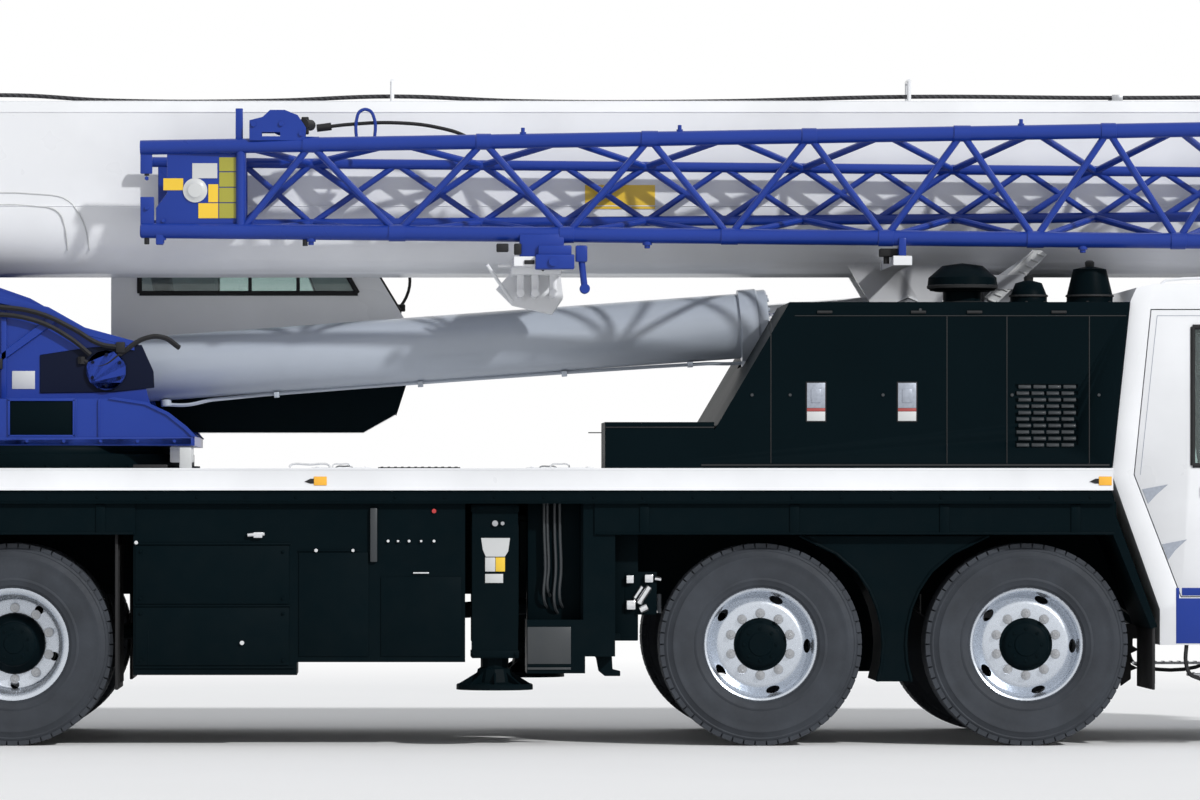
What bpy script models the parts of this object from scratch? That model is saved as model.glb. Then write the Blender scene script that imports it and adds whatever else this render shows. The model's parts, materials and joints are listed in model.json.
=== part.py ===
"""Four-axle truck crane, stowed for the road, with a telescopic boom and a lattice jib.

Units are metres, +X is forward, +Y is the vehicle's left and +Z is up. Lengths along the vehicle are
measured from the slewing axis, as on a crane's own drawing, and every object is moved by SLEW_X at the end
so that the origin lies on the ground under the middle of the whole machine.
"""

import math

import bmesh
import bpy
from mathutils import Matrix, Vector

# Overall size
REAR_END = -3.65
BOOM_TIP = 9.25
SLEW_X = -(REAR_END + BOOM_TIP) / 2
HALF_WIDTH = 1.375
SEAT = 0.0003
RUNNING = 0.006
BURIED = 0.01

# Wheels
TYRE_RADIUS = 0.542
TYRE_WIDTH = 0.300
BEAD_RADIUS = 0.288
RIM_FLANGE_RADIUS = 0.304
RIM_HALF_WIDTH = 0.116
FLANGE = 0.006
WHEEL_TRACK = 1.100
TWIN_SPACING = 0.350
WHEEL_SEGMENTS = 20
KINGPIN_Y = 0.920
BOSS_HALF = 0.075
LUG_THICK = 0.060
SPINDLE_END = 1.020
REAR_HUB_END = 0.500
HUB_RADIUS = 0.110
# Pockets round a rim: how many, their radius from the hub, their own radius
FRONT_POCKETS = (5, 0.248, 0.024)
REAR_POCKETS = (5, 0.192, 0.018)
# Axle name, distance ahead of the slewing axis, steered or driven
AXLES = (
    ("1", 5.374, "steered"),
    ("2", 3.952, "steered"),
    ("3", -0.051, "driven"),
    ("4", -1.401, "driven"),
)
# Side name and the sign of Y on that side
SIDES = (("right", -1), ("left", 1))

# Chassis
RAIL_INNER = 0.300
RAIL_OUTER = 0.450
RAIL_BOTTOM = 0.800
RAIL_TOP = 1.360
NOSE_BOTTOM = 0.620
NOSE_TOP = 0.9497
NOSE_END = 7.740
FRAME_REAR = -3.600
GEARBOX_REAR = 3.450
SHAFT_Z = 0.770
CROSS_MEMBER = 0.120
CROSS_MEMBERS = (-2.300, 0.950, 1.900, 3.300, 6.600, 7.600)

# Deck
DECK_TOP = 1.484
DECK_SKIN = 0.040
DECK_EDGE_BOTTOM = 1.366
DECK_EDGE = 0.030
DECK_FRONT = 5.820
SKIRT_BOTTOM = 1.130
SKIRT_OUTER = 1.330
SKIRT_INNER = SKIRT_OUTER - 0.050
DECK_RIB = 0.060
DECK_RIBS = (-3.300, -2.300, -1.300, -0.400, 0.500, 1.400, 2.250, 3.200, 3.850, 5.700)

# Outriggers
BEAM_WIDE = 0.200
BEAM_TALL = 0.240
BEAM_BOTTOM = 0.960
BEAM_PITCH = 0.240
BEAM_INNER_END = 1.050
HOUSING_WALL = 0.024
SLEEVE_INNER = 1.045
SLEEVE_OUTER = 1.290
SLEEVE_TOP = 1.290
SLEEVE_BOTTOM = 0.470
LEG_RADIUS = 0.075
FLOAT_RADIUS = 0.205
FLOAT_BOTTOM = 0.300
FLOAT_THICK = 0.040
# Pair name and the place of its right-hand beam
OUTRIGGERS = (("front", 2.530), ("rear", -3.080))

# Slewing ring and superstructure
RING_RADIUS = 0.885
RING_BORE = 0.640
RING_TOP = 1.610
SIDE_PLATE_INNER = 0.400
SIDE_PLATE_OUTER = 0.440
PLATFORM_HALF = 0.760
PLATFORM_REAR = -2.750
PLATFORM_FRONT = 0.910
COUNTERWEIGHT_RADIUS = 3.250
COUNTERWEIGHT_HALF = 1.200
COUNTERWEIGHT_BOTTOM = 1.820
COUNTERWEIGHT_TOP = 2.700

# Boom
FOOT_X = -1.390
FOOT_Z = 2.750
FOOT_PIN_RADIUS = 0.090
BOOM_HALF = 0.330
BOOM_TOP = 3.510
BOOM_BOTTOM = 2.550
BOOM_FLANK_Z = 2.930
BOOM_CORNER = 0.060
BOOM_WALL = 0.018
BOOM_GAP = 0.018
BOOM_FLANK_STEPS = 5
BOOM_BASE_FRONT = 7.950
BOOM_BASE_REAR = -0.950
COLLAR = 0.022
ROPE_GUIDES = (1.983, 4.848)
GUIDE_TOP = 3.640
GUIDE_HALF = 0.070
GUIDE_RADIUS = 0.010
# Section name, how far its front and its rear stand ahead of the base section's
SECTIONS = (
    ("boom_section_2", 0.160, 0.350),
    ("boom_section_3", 0.320, 0.500),
    ("boom_section_4", 0.480, 0.650),
)
HEAD_SHEAVE_X = 8.980
HEAD_SHEAVE_Z = 2.470
HEAD_SHEAVE_RADIUS = 0.210
SHEAVE_SEGMENTS = 16
SHEAVE_Y = 0.090
ROPE_RADIUS = 0.010
HOOK_DROP = 0.520
HOOK_SHEAVE_RADIUS = 0.180

# Lift cylinder, along its own axis from the pin on the superstructure
LIFT_BASE_X = 0.416
LIFT_BASE_Z = 2.026
LIFT_ROD_X = 4.832
LIFT_ROD_Z = 2.348
BARREL_RADIUS = 0.180
ROD_RADIUS = 0.110
ROD_CLEARANCE = SEAT
BARREL_END = 3.660
ROD_START = 0.450
EAR_INNER = 0.135
EAR_OUTER = 0.175

# Lattice jib on the boom's right-hand side
JIB_TIP_X = 0.615
JIB_ROOT_X = 7.900
# Chord name, its Y and Z at the tip, its Y and Z at the root, its radius
JIB_CHORDS = {
    "outer_top": (-0.750, 3.228, -1.130, 3.330, 0.040),
    "outer_bottom": (-0.750, 2.778, -1.130, 2.688, 0.042),
    "inner_top": (-0.450, 3.167, -0.450, 3.097, 0.028),
    "inner_bottom": (-0.450, 2.820, -0.450, 2.878, 0.028),
}
JIB_LACE_RADIUS = 0.019
JIB_FRAME_X = 1.160
JIB_FIRST_NODE = 1.541
JIB_FIRST_BAY = 0.935
JIB_BAY_STEP = 0.038
JIB_NODES = 8
# Two chords that a face of the lattice laces together: the first holds the nodes, the second the midpoints
JIB_FACES = (
    ("outer_top", "outer_bottom"),
    ("inner_top", "outer_top"),
    ("inner_top", "inner_bottom"),
    ("inner_bottom", "outer_bottom"),
)
JIB_SQUARE = ("outer_top", "outer_bottom", "inner_bottom", "inner_top")
# Where the boom carries the jib, and how long each carrier is
JIB_BRACKETS = ((2.790, 0.300), (4.730, 0.100), (6.900, 0.240))
JIB_SEAT_Z = 2.630
JIB_ARM = 0.050
JIB_PINS = (2.689, 3.535, 5.369, 6.700)
JIB_FEET = (0.730, 1.542, 3.360, 5.700)

# Carrier cab
CAB_HALF = 1.250
CAB_FRONT = 7.840
CAB_WALL = 0.050
CAB_FLOOR = 0.950
CAB_TOP = 2.470
WINDSCREEN_LOW = (7.800, 1.520)
WINDSCREEN_HIGH = (7.360, 2.470)
DOOR_HINGE_X = 7.220
HINGE_RADIUS = 0.014
HINGE_STAND = 0.018
GLASS = 0.008

# Operator's cab
OPERATOR_INNER = 0.500
OPERATOR_OUTER = 1.350
OPERATOR_WALL = 0.040
OPERATOR_BOTTOM = 1.700
OPERATOR_TOP = 3.350
SLIDE_DOOR_REAR = 0.900
SLIDE_DOOR_FRONT = 1.640

# Material name, colour, roughness, metallic
FINISHES = {
    "white_paint": ((0.83, 0.84, 0.86), 0.35, 0.0),
    "blue_paint": ((0.03, 0.08, 0.34), 0.35, 0.0),
    "black_paint": ((0.01, 0.014, 0.016), 0.5, 0.0),
    "grey_paint": ((0.36, 0.38, 0.42), 0.4, 0.0),
    "tyre_rubber": ((0.03, 0.03, 0.032), 0.85, 0.0),
    "rim_silver": ((0.55, 0.57, 0.6), 0.35, 0.8),
    "steel": ((0.45, 0.46, 0.48), 0.35, 0.9),
    "glass": ((0.5, 0.6, 0.6), 0.05, 0.0),
    "trim": ((0.05, 0.05, 0.055), 0.7, 0.0),
}


# Meshes


def clear_scene():
    for item in list(bpy.data.objects):
        bpy.data.objects.remove(item, do_unlink=True)


def finish_mesh(bm):
    bmesh.ops.recalc_face_normals(bm, faces=bm.faces)
    mesh = bpy.data.meshes.new("shape")
    bm.to_mesh(mesh)
    bm.free()
    return mesh


def spread(axis, a, b, along):
    """The point whose place in the outline is (a, b) and whose place along the axis is along."""
    if axis == "x":
        return Vector((along, a, b))
    if axis == "y":
        return Vector((a, along, b))
    return Vector((a, b, along))


def prism(axis, outline, low, high):
    """An outline swept along an axis. Its pairs are (y, z), (x, z) or (x, y)."""
    bm = bmesh.new()
    ends = [[bm.verts.new(spread(axis, a, b, at)) for a, b in outline] for at in (low, high)]
    bm.faces.new(ends[0])
    bm.faces.new(ends[1])
    count = len(outline)
    for i in range(count):
        j = (i + 1) % count
        bm.faces.new((ends[0][i], ends[0][j], ends[1][j], ends[1][i]))
    return finish_mesh(bm)


def sided(side, axis, outline, inner, outer):
    """A prism along Y from inner to outer on one side of the machine, side being -1 or 1."""
    low, high = sorted((side * inner, side * outer))
    return prism(axis, outline, low, high)


def box(x, y, z):
    return prism("x", rectangle(y, z), *x)


def rectangle(a, b):
    return [(a[0], b[0]), (a[1], b[0]), (a[1], b[1]), (a[0], b[1])]


def lathe(axis, centre, profile, segments=16, flat_down=False):
    """A closed profile of (radius, along) turned about an axis. A radius of 0 is a point on the axis."""
    bm = bmesh.new()
    turn = math.tau / segments
    start = -math.pi / 2 + (turn / 2 if flat_down else 0.0)
    rings = []
    for radius, along in profile:
        if radius == 0:
            rings.append([bm.verts.new(centre + spread(axis, 0, 0, along))] * segments)
            continue
        ring = []
        for step in range(segments):
            angle = start + turn * step
            place = spread(axis, radius * math.cos(angle), radius * math.sin(angle), along)
            ring.append(bm.verts.new(centre + place))
        rings.append(ring)
    for i in range(len(rings)):
        first, second = rings[i], rings[(i + 1) % len(rings)]
        if first[0] is first[1] and second[0] is second[1]:
            continue
        for step in range(segments):
            after = (step + 1) % segments
            corners = [first[step], first[after], second[after], second[step]]
            bm.faces.new(list(dict.fromkeys(corners)))
    return finish_mesh(bm)


def drum(axis, centre, radius, low, high, segments=16):
    """A plain solid cylinder from low to high along its axis, about a centre point."""
    profile = [(0, low), (radius, low), (radius, high), (0, high)]
    return lathe(axis, Vector(centre), profile, segments)


def bar(start, end, radius, sides=6):
    """A round bar between two points."""
    start, end = Vector(start), Vector(end)
    line = end - start
    bm = bmesh.new()
    turn = line.to_track_quat("Z", "Y").to_matrix().to_4x4()
    bmesh.ops.create_cone(
        bm,
        cap_ends=True,
        segments=sides,
        radius1=radius,
        radius2=radius,
        depth=line.length,
        matrix=Matrix.Translation((start + end) / 2) @ turn,
    )
    return finish_mesh(bm)


def arc(centre, radius, start, end, steps):
    """Points along an arc, angles in degrees."""
    points = []
    for i in range(steps + 1):
        angle = math.radians(start + (end - start) * i / steps)
        points.append((centre[0] + radius * math.cos(angle), centre[1] + radius * math.sin(angle)))
    return points


def area_of(outline):
    following = outline[1:] + outline[:1]
    return sum(a[0] * b[1] - b[0] * a[1] for a, b in zip(outline, following)) / 2


def inset(outline, depth):
    """The outline with every side moved inwards by depth, corners kept sharp."""
    turn = 1 if area_of(outline) > 0 else -1
    points = [Vector(p) for p in outline]
    moved = []
    for i, point in enumerate(points):
        before = (point - points[i - 1]).normalized()
        after = (points[(i + 1) % len(points)] - point).normalized()
        normal_before = Vector((-before.y, before.x)) * turn
        normal_after = Vector((-after.y, after.x)) * turn
        mitre = normal_before + normal_after
        moved.append(tuple(point + mitre * (depth / (1 + normal_before.dot(normal_after)))))
    return moved


def mesh_object(mesh):
    item = bpy.data.objects.new("shape", mesh)
    bpy.context.scene.collection.objects.link(item)
    return item


def combine(base, meshes, operation):
    """One closed mesh: base with all the meshes joined to it or cut from it."""
    if not meshes:
        return base
    carrier = mesh_object(base)
    group = bpy.data.collections.new("operands")
    bpy.context.scene.collection.children.link(group)
    for mesh in meshes:
        group.objects.link(bpy.data.objects.new("operand", mesh))
    modifier = carrier.modifiers.new("boolean", "BOOLEAN")
    modifier.operation = operation
    modifier.operand_type = "COLLECTION"
    modifier.collection = group
    modifier.solver = "EXACT"
    graph = bpy.context.evaluated_depsgraph_get()
    result = bpy.data.meshes.new_from_object(carrier.evaluated_get(graph))
    for item in list(group.objects) + [carrier]:
        bpy.data.objects.remove(item, do_unlink=True)
    bpy.data.collections.remove(group)
    return result


def finish_of(name):
    material = bpy.data.materials.get(name)
    if material:
        return material
    colour, roughness, metallic = FINISHES[name]
    material = bpy.data.materials.new(name)
    material.use_nodes = True
    shader = material.node_tree.nodes["Principled BSDF"]
    shader.inputs["Base Color"].default_value = (*colour, 1.0)
    shader.inputs["Roughness"].default_value = roughness
    shader.inputs["Metallic"].default_value = metallic
    return material


def piece(name, finish, meshes, cuts=(), pivot=(0.0, 0.0, 0.0), turned=False):
    """One named piece of the crane: meshes joined, cuts taken away, its origin on the pivot."""
    mesh = combine(meshes[0], list(meshes[1:]), "UNION")
    mesh = combine(mesh, list(cuts), "DIFFERENCE")
    mesh.name = name
    mesh.transform(Matrix.Translation(-Vector(pivot)))
    mesh.materials.clear()
    mesh.materials.append(finish_of(finish))
    if turned:
        mesh.shade_smooth()
        mesh.set_sharp_from_angle(angle=math.radians(35))
    item = bpy.data.objects.new(name, mesh)
    item.location = Vector(pivot) + Vector((SLEW_X, 0, 0))
    bpy.context.scene.collection.objects.link(item)
    return item


# Wheels, hubs and axles


def tyre_profile(middle, width=TYRE_WIDTH):
    """One tyre's section as (radius, along), from its outer bead round the tread to its inner bead."""
    tread = TYRE_RADIUS / math.cos(math.pi / WHEEL_SEGMENTS)
    half = width / 2
    return [
        (RIM_FLANGE_RADIUS, middle + half - 0.030),
        (0.435, middle + half),
        (tread, middle + half - 0.040),
        (tread, middle - half + 0.040),
        (0.435, middle - half),
        (RIM_FLANGE_RADIUS, middle - half + 0.030),
    ]


def turned_about_axle(side, x, profile):
    mirrored = [(radius, side * along) for radius, along in profile]
    return lathe("y", Vector((x, 0, TYRE_RADIUS)), mirrored, WHEEL_SEGMENTS, flat_down=True)


def rim_pockets(x, side, pockets, inner, outer):
    """Blind hand holes cut into a rim's face, evenly round the hub."""
    count, reach, radius = pockets
    low, high = sorted((side * inner, side * outer))
    cuts = []
    for index in range(count):
        angle = math.radians(70) + math.tau * index / count
        centre = (x + reach * math.cos(angle), 0, TYRE_RADIUS + reach * math.sin(angle))
        cuts.append(drum("y", centre, radius, low, high, 8))
    return cuts


def front_wheel(name, x, side_name, side):
    bead = BEAD_RADIUS
    half = RIM_HALF_WIDTH
    tyre = tyre_profile(WHEEL_TRACK)
    flange = WHEEL_TRACK + half - FLANGE
    tyre[:1] = [(bead, flange - SEAT), (RIM_FLANGE_RADIUS + 0.004, flange - SEAT)]
    tyre[-1] = (bead, WHEEL_TRACK - half + SEAT)
    pivot = (x, side * WHEEL_TRACK, TYRE_RADIUS)
    tyre_name = f"wheel_{name}_{side_name}_tyre"
    piece(tyre_name, "tyre_rubber", [turned_about_axle(side, x, tyre)], pivot=pivot, turned=True)
    rim = [
        (0, WHEEL_TRACK + 0.130),
        (0.105, WHEEL_TRACK + 0.130),
        (0.140, WHEEL_TRACK + 0.088),
        (0.225, WHEEL_TRACK + 0.084),
        (0.272, flange + 2 * FLANGE),
        (RIM_FLANGE_RADIUS, flange + 2 * FLANGE),
        (RIM_FLANGE_RADIUS, flange),
        (bead - SEAT, flange),
        (bead - SEAT, WHEEL_TRACK - half),
        (0.262, WHEEL_TRACK - half),
        (0.205, WHEEL_TRACK + 0.050),
        (HUB_RADIUS, WHEEL_TRACK + 0.050),
        (HUB_RADIUS, SPINDLE_END + SEAT),
        (0, SPINDLE_END + SEAT),
    ]
    rim_name = f"wheel_{name}_{side_name}_rim"
    pockets = rim_pockets(x, side, FRONT_POCKETS, WHEEL_TRACK + 0.060, WHEEL_TRACK + half)
    piece(rim_name, "rim_silver", [turned_about_axle(side, x, rim)], pockets, pivot=pivot, turned=True)


def twin_wheel(name, x, side_name, side):
    """Two tyres on one hub, as one turned body."""
    outer, inner = WHEEL_TRACK, WHEEL_TRACK - TWIN_SPACING
    half = RIM_HALF_WIDTH
    profile = [
        (0, outer + 0.020),
        (0.120, outer + 0.020),
        (0.140, outer - 0.105),
        (0.235, outer - 0.105),
        (0.270, outer + half + 0.004),
        (RIM_FLANGE_RADIUS, outer + half + 0.004),
    ]
    profile += tyre_profile(outer)
    profile += [(BEAD_RADIUS, outer - half), (BEAD_RADIUS, inner + half)]
    profile += tyre_profile(inner)
    profile += [
        (0.262, inner - half),
        (HUB_RADIUS, inner + half),
        (HUB_RADIUS, REAR_HUB_END + SEAT),
        (0, REAR_HUB_END + SEAT),
    ]
    pivot = (x, side * (outer + inner) / 2, TYRE_RADIUS)
    node = f"wheel_{name}_{side_name}_twin"
    pockets = rim_pockets(x, side, REAR_POCKETS, outer - 0.125, outer - 0.050)
    piece(node, "tyre_rubber", [turned_about_axle(side, x, profile)], pockets, pivot=pivot, turned=True)


def knuckle(name, x, side_name, side):
    """A steering knuckle: lugs above and below the beam's boss, and the hub's spindle."""
    z = TYRE_RADIUS
    lug = [
        (x - 0.060, side * (KINGPIN_Y - 0.050)),
        (x + 0.060, side * (KINGPIN_Y - 0.050)),
        (x + 0.060, side * 1.000),
        (x - 0.060, side * 1.000),
    ]
    reach = BOSS_HALF + LUG_THICK
    upright = rectangle((x - 0.060, x + 0.060), (z - reach, z + reach))
    meshes = [
        sided(side, "y", upright, 0.985, SPINDLE_END - 0.010),
        prism("z", lug, z + BOSS_HALF + SEAT, z + reach),
        prism("z", lug, z - reach, z - BOSS_HALF - SEAT),
        drum("y", (x, 0, z), 0.080, *sorted((side * 0.990, side * SPINDLE_END)), segments=12),
    ]
    piece(f"knuckle_{name}_{side_name}", "steel", meshes, pivot=(x, side * KINGPIN_Y, z))


def front_axle(name, x):
    """A forged beam that drops between its kingpin bosses, and its leaf springs."""
    z = TYRE_RADIUS
    beam = [
        (-KINGPIN_Y, z - 0.060),
        (-0.740, z - 0.060),
        (-0.620, z - 0.130),
        (0.620, z - 0.130),
        (0.740, z - 0.060),
        (KINGPIN_Y, z - 0.060),
        (KINGPIN_Y, z + 0.060),
        (0.760, z + 0.060),
        (0.600, z - 0.020),
        (-0.600, z - 0.020),
        (-0.760, z + 0.060),
        (-KINGPIN_Y, z + 0.060),
    ]
    meshes = [prism("x", beam, x - 0.045, x + 0.045)]
    spring = arc((x, z + 0.860), 0.840, -90 - 36, -90 + 36, 8)
    spring += arc((x, z + 0.860), 0.780, -90 + 36, -90 - 36, 8)
    for side_name, side in SIDES:
        meshes.append(drum("z", (x, side * KINGPIN_Y, 0), 0.050, z - BOSS_HALF, z + BOSS_HALF, 10))
        meshes.append(sided(side, "y", spring, RAIL_INNER + 0.030, RAIL_OUTER - 0.030))
        meshes.append(
            box(
                (x - 0.060, x + 0.060),
                sorted((side * (RAIL_INNER + 0.020), side * (RAIL_OUTER - 0.020))),
                (z - 0.060, z + 0.110),
            )
        )
        for end in (-1, 1):
            across = sorted((x + end * 0.400, x + end * 0.490))
            deep = sorted((side * (RAIL_INNER + 0.030), side * (RAIL_OUTER - 0.030)))
            meshes.append(box(across, deep, (z + 0.150, RAIL_BOTTOM - SEAT)))
    piece(f"axle_{name}_beam", "black_paint", meshes)


def rear_bogie():
    """The two driven axle housings, the springs that rock on a trunnion, and the propeller shaft."""
    z = TYRE_RADIUS
    driven = [x for _, x, kind in AXLES if kind == "driven"]
    middle = sum(driven) / 2
    meshes = []
    for x in driven:
        housing = [
            (0, -REAR_HUB_END),
            (HUB_RADIUS, -REAR_HUB_END),
            (HUB_RADIUS, -0.260),
            (0.220, -0.130),
            (0.220, 0.130),
            (HUB_RADIUS, 0.260),
            (HUB_RADIUS, REAR_HUB_END),
            (0, REAR_HUB_END),
        ]
        meshes.append(lathe("y", Vector((x, 0, z)), housing, 12))
    low, high = min(driven), max(driven)
    spring = [
        (low - 0.100, z + 0.060),
        (middle, z - 0.020),
        (high + 0.100, z + 0.060),
        (high + 0.100, z + 0.120),
        (middle, z + 0.160),
        (low - 0.100, z + 0.120),
    ]
    for _, side in SIDES:
        meshes.append(sided(side, "y", spring, RAIL_INNER + 0.030, RAIL_OUTER - 0.030))
        deep = sorted((side * (RAIL_INNER + 0.010), side * (RAIL_OUTER - 0.010)))
        meshes.append(box((middle - 0.120, middle + 0.120), deep, (z + 0.080, RAIL_BOTTOM - SEAT)))
    meshes.append(box((low + 0.150, high - 0.150), (-0.060, 0.060), (z - 0.060, z + 0.060)))
    meshes.append(box((middle - 0.050, middle + 0.050), (-0.350, 0.350), (z + 0.020, z + 0.120)))
    meshes.append(bar((high + 0.150, 0, z + 0.018), (GEARBOX_REAR - 0.020, 0, SHAFT_Z), 0.045, 10))
    meshes.append(drum("x", (0, 0, SHAFT_Z), 0.070, GEARBOX_REAR - 0.050, GEARBOX_REAR - SEAT, 12))
    piece("rear_axles", "black_paint", meshes)


# Chassis, deck and what stands on it


def outrigger_places(pair_x):
    """The beam's centre on each side: the left-hand one lies ahead of the right-hand one."""
    return {"right": pair_x, "left": pair_x + BEAM_PITCH}


def chassis_frame():
    rail = [
        (FRAME_REAR, RAIL_BOTTOM),
        (5.880, RAIL_BOTTOM),
        (6.120, NOSE_BOTTOM),
        (NOSE_END, NOSE_BOTTOM),
        (NOSE_END, NOSE_TOP),
        (5.950, NOSE_TOP),
        (5.700, RAIL_TOP),
        (FRAME_REAR, RAIL_TOP),
    ]
    meshes = []
    for _, side in SIDES:
        meshes.append(sided(side, "y", rail, RAIL_INNER, RAIL_OUTER))
    for x in CROSS_MEMBERS:
        low, high = (NOSE_BOTTOM, NOSE_TOP) if x > 6 else (RAIL_BOTTOM, RAIL_TOP)
        wide = (-RAIL_INNER - BURIED, RAIL_INNER + BURIED)
        meshes.append(box((x, x + CROSS_MEMBER), wide, (low + 0.050, high - 0.050)))
    end_half = HALF_WIDTH - 0.125
    meshes.append(box((FRAME_REAR, FRAME_REAR + 0.100), (-end_half, end_half), (1.000, 1.350)))
    meshes.append(box((-0.850, 0.800), (-0.560, 0.560), (1.150, RAIL_TOP)))
    guard_half = HALF_WIDTH - 0.175
    guard = (-guard_half, guard_half)
    meshes.append(box((FRAME_REAR, FRAME_REAR + 0.090), guard, (0.460, 0.560)))
    for _, side in SIDES:
        hanger = [(FRAME_REAR + 0.020, 0.500), (FRAME_REAR + 0.080, 0.500), (FRAME_REAR + 0.200, 0.850)]
        hanger += [(FRAME_REAR + 0.020, 0.850)]
        meshes.append(sided(side, "y", hanger, RAIL_INNER + 0.020, RAIL_OUTER - 0.020))
        lamp = rectangle((FRAME_REAR - 0.030, FRAME_REAR + 0.020), (1.040, 1.150))
        meshes.append(sided(side, "y", lamp, end_half - 0.390, end_half - 0.020))
        tank_y = side * (RAIL_OUTER + 0.150)
        meshes.append(drum("x", (0, tank_y, 1.050), 0.125, -2.620, -2.060, 14))
        for x in (-2.540, -2.200):
            strap = rectangle((x, x + 0.060), (0.980, 1.120))
            meshes.append(sided(side, "y", strap, RAIL_OUTER - BURIED, RAIL_OUTER + 0.150))
    cuts = []
    housing_half = SLEEVE_INNER - BURIED
    for _, pair_x in OUTRIGGERS:
        places = outrigger_places(pair_x)
        half = BEAM_WIDE / 2 + RUNNING
        low, high = BEAM_BOTTOM - SEAT, BEAM_BOTTOM + BEAM_TALL + RUNNING
        outside = (min(places.values()) - half - HOUSING_WALL, max(places.values()) + half + HOUSING_WALL)
        tall = (low - HOUSING_WALL, high + HOUSING_WALL)
        meshes.append(box(outside, (-housing_half, housing_half), tall))
        for x in places.values():
            cuts.append(box((x - half, x + half), (-HALF_WIDTH, HALF_WIDTH), (low, high)))
    piece("chassis_frame", "black_paint", meshes, cuts)


def deck():
    across = (-HALF_WIDTH, HALF_WIDTH)
    meshes = [box((REAR_END, DECK_FRONT), across, (DECK_TOP - DECK_SKIN, DECK_TOP))]
    for _, side in SIDES:
        edge = sorted((side * (HALF_WIDTH - DECK_EDGE), side * HALF_WIDTH))
        meshes.append(box((REAR_END, DECK_FRONT), edge, (DECK_EDGE_BOTTOM, DECK_TOP - BURIED)))
    inner = (BURIED - SKIRT_INNER, SKIRT_INNER - BURIED)
    for x in DECK_RIBS:
        meshes.append(box((x, x + DECK_RIB), inner, (RAIL_TOP + SEAT, DECK_TOP - BURIED)))
    engine_well = box((4.050, 5.550), (-0.500, 0.500), (RAIL_TOP - 0.100, DECK_TOP + 0.100))
    piece("deck", "white_paint", meshes, [engine_well])


def engine_block():
    """One plain block for the closed-in engine and its gearbox, on its feet on the rails."""
    section = [
        (-0.270, 0.820),
        (0.270, 0.820),
        (0.270, RAIL_TOP + SEAT),
        (0.400, RAIL_TOP + SEAT),
        (0.400, RAIL_TOP + 0.060),
        (0.340, 1.500),
        (0.340, 1.850),
        (0.240, 1.950),
        (-0.240, 1.950),
        (-0.340, 1.850),
        (-0.340, 1.500),
        (-0.400, RAIL_TOP + 0.060),
        (-0.400, RAIL_TOP + SEAT),
        (-0.270, RAIL_TOP + SEAT),
    ]
    gearbox_section = [(-0.170, 0.690), (0.170, 0.690), (0.200, 1.240), (-0.200, 1.240)]
    gearbox = prism("x", gearbox_section, GEARBOX_REAR, 4.160)
    piece("engine_block", "grey_paint", [prism("x", section, 4.150, 5.350), gearbox])


HOOD_BASE = DECK_TOP + SEAT
HOOD_TOP = 2.372
HOOD_HALF = CAB_HALF + 0.040
HOOD_WALL = 0.030
TROUGH_HALF = 0.270
TROUGH_BOTTOM = 2.050
INTAKE_X = 5.076
INTAKE_Y = 0.530 - HOOD_HALF
DOME_Y = 0.490 - HOOD_HALF
# Place, radius and top of each black dome on the hood
HOOD_DOMES = ((5.431, 0.100, 2.510), (5.762, 0.125, 2.585))
LOUVRES = 9
LOUVRE_X = (5.306, 5.642)
LOUVRE_BOTTOM = 1.610
LOUVRE_PITCH = 0.038
LOUVRE_DEPTH = 0.010
HOOD_PROFILE = [
    (3.581, HOOD_BASE),
    (5.823, HOOD_BASE),
    (5.919, HOOD_TOP),
    (4.104, HOOD_TOP),
]


def engine_hood():
    """A black hood with a trough along its middle, in which the lift cylinder lies."""
    outer = prism("y", HOOD_PROFILE, -HOOD_HALF, HOOD_HALF)
    hollow = prism("y", inset(HOOD_PROFILE, HOOD_WALL), -HOOD_HALF + HOOD_WALL, HOOD_HALF - HOOD_WALL)
    inner = HOOD_HALF - 0.100
    floor = box((3.680, 5.740), (-inner, inner), (HOOD_BASE - 0.100, HOOD_BASE + 0.060))
    trough_wall = TROUGH_HALF + HOOD_WALL
    around = box((3.0, 6.3), (-trough_wall, trough_wall), (TROUGH_BOTTOM - HOOD_WALL, HOOD_TOP + 0.2))
    trough = box((3.0, 6.3), (-TROUGH_HALF, TROUGH_HALF), (TROUGH_BOTTOM, HOOD_TOP + 0.2))
    hollow = combine(hollow, [floor], "UNION")
    hollow = combine(hollow, [around], "DIFFERENCE")
    deck_box = box((3.117, 3.700), (-HOOD_HALF, 0.540 - HOOD_HALF), (HOOD_BASE, 1.731))
    snorkel = drum("z", (INTAKE_X, INTAKE_Y, 0), 0.105, HOOD_TOP - BURIED, 2.460, 12)
    cap_profile = [(0, 2.440), (0.175, 2.450), (0.190, 2.475), (0.185, 2.520), (0.110, 2.585), (0, 2.600)]
    cap = lathe("z", Vector((INTAKE_X, INTAKE_Y, 0)), cap_profile, 18)
    meshes = [outer, deck_box, snorkel, cap]
    for x, radius, dome_top in HOOD_DOMES:
        low = HOOD_TOP - BURIED
        dome = [(0, low), (radius, low), (radius, HOOD_TOP + 0.050)]
        dome += [(radius * 0.72, dome_top - 0.020), (0, dome_top)]
        meshes.append(lathe("z", Vector((x, DOME_Y, 0)), dome, 14))
    cuts = [hollow, trough]
    rear, front = LOUVRE_X
    for index in range(LOUVRES):
        z = LOUVRE_BOTTOM + index * LOUVRE_PITCH
        slot = rectangle((rear, front), (z, z + LOUVRE_PITCH / 2))
        for _, side in SIDES:
            cuts.append(sided(side, "y", slot, HOOD_HALF - LOUVRE_DEPTH, HOOD_HALF + 0.100))
    piece("engine_hood", "black_paint", meshes, cuts)


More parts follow.
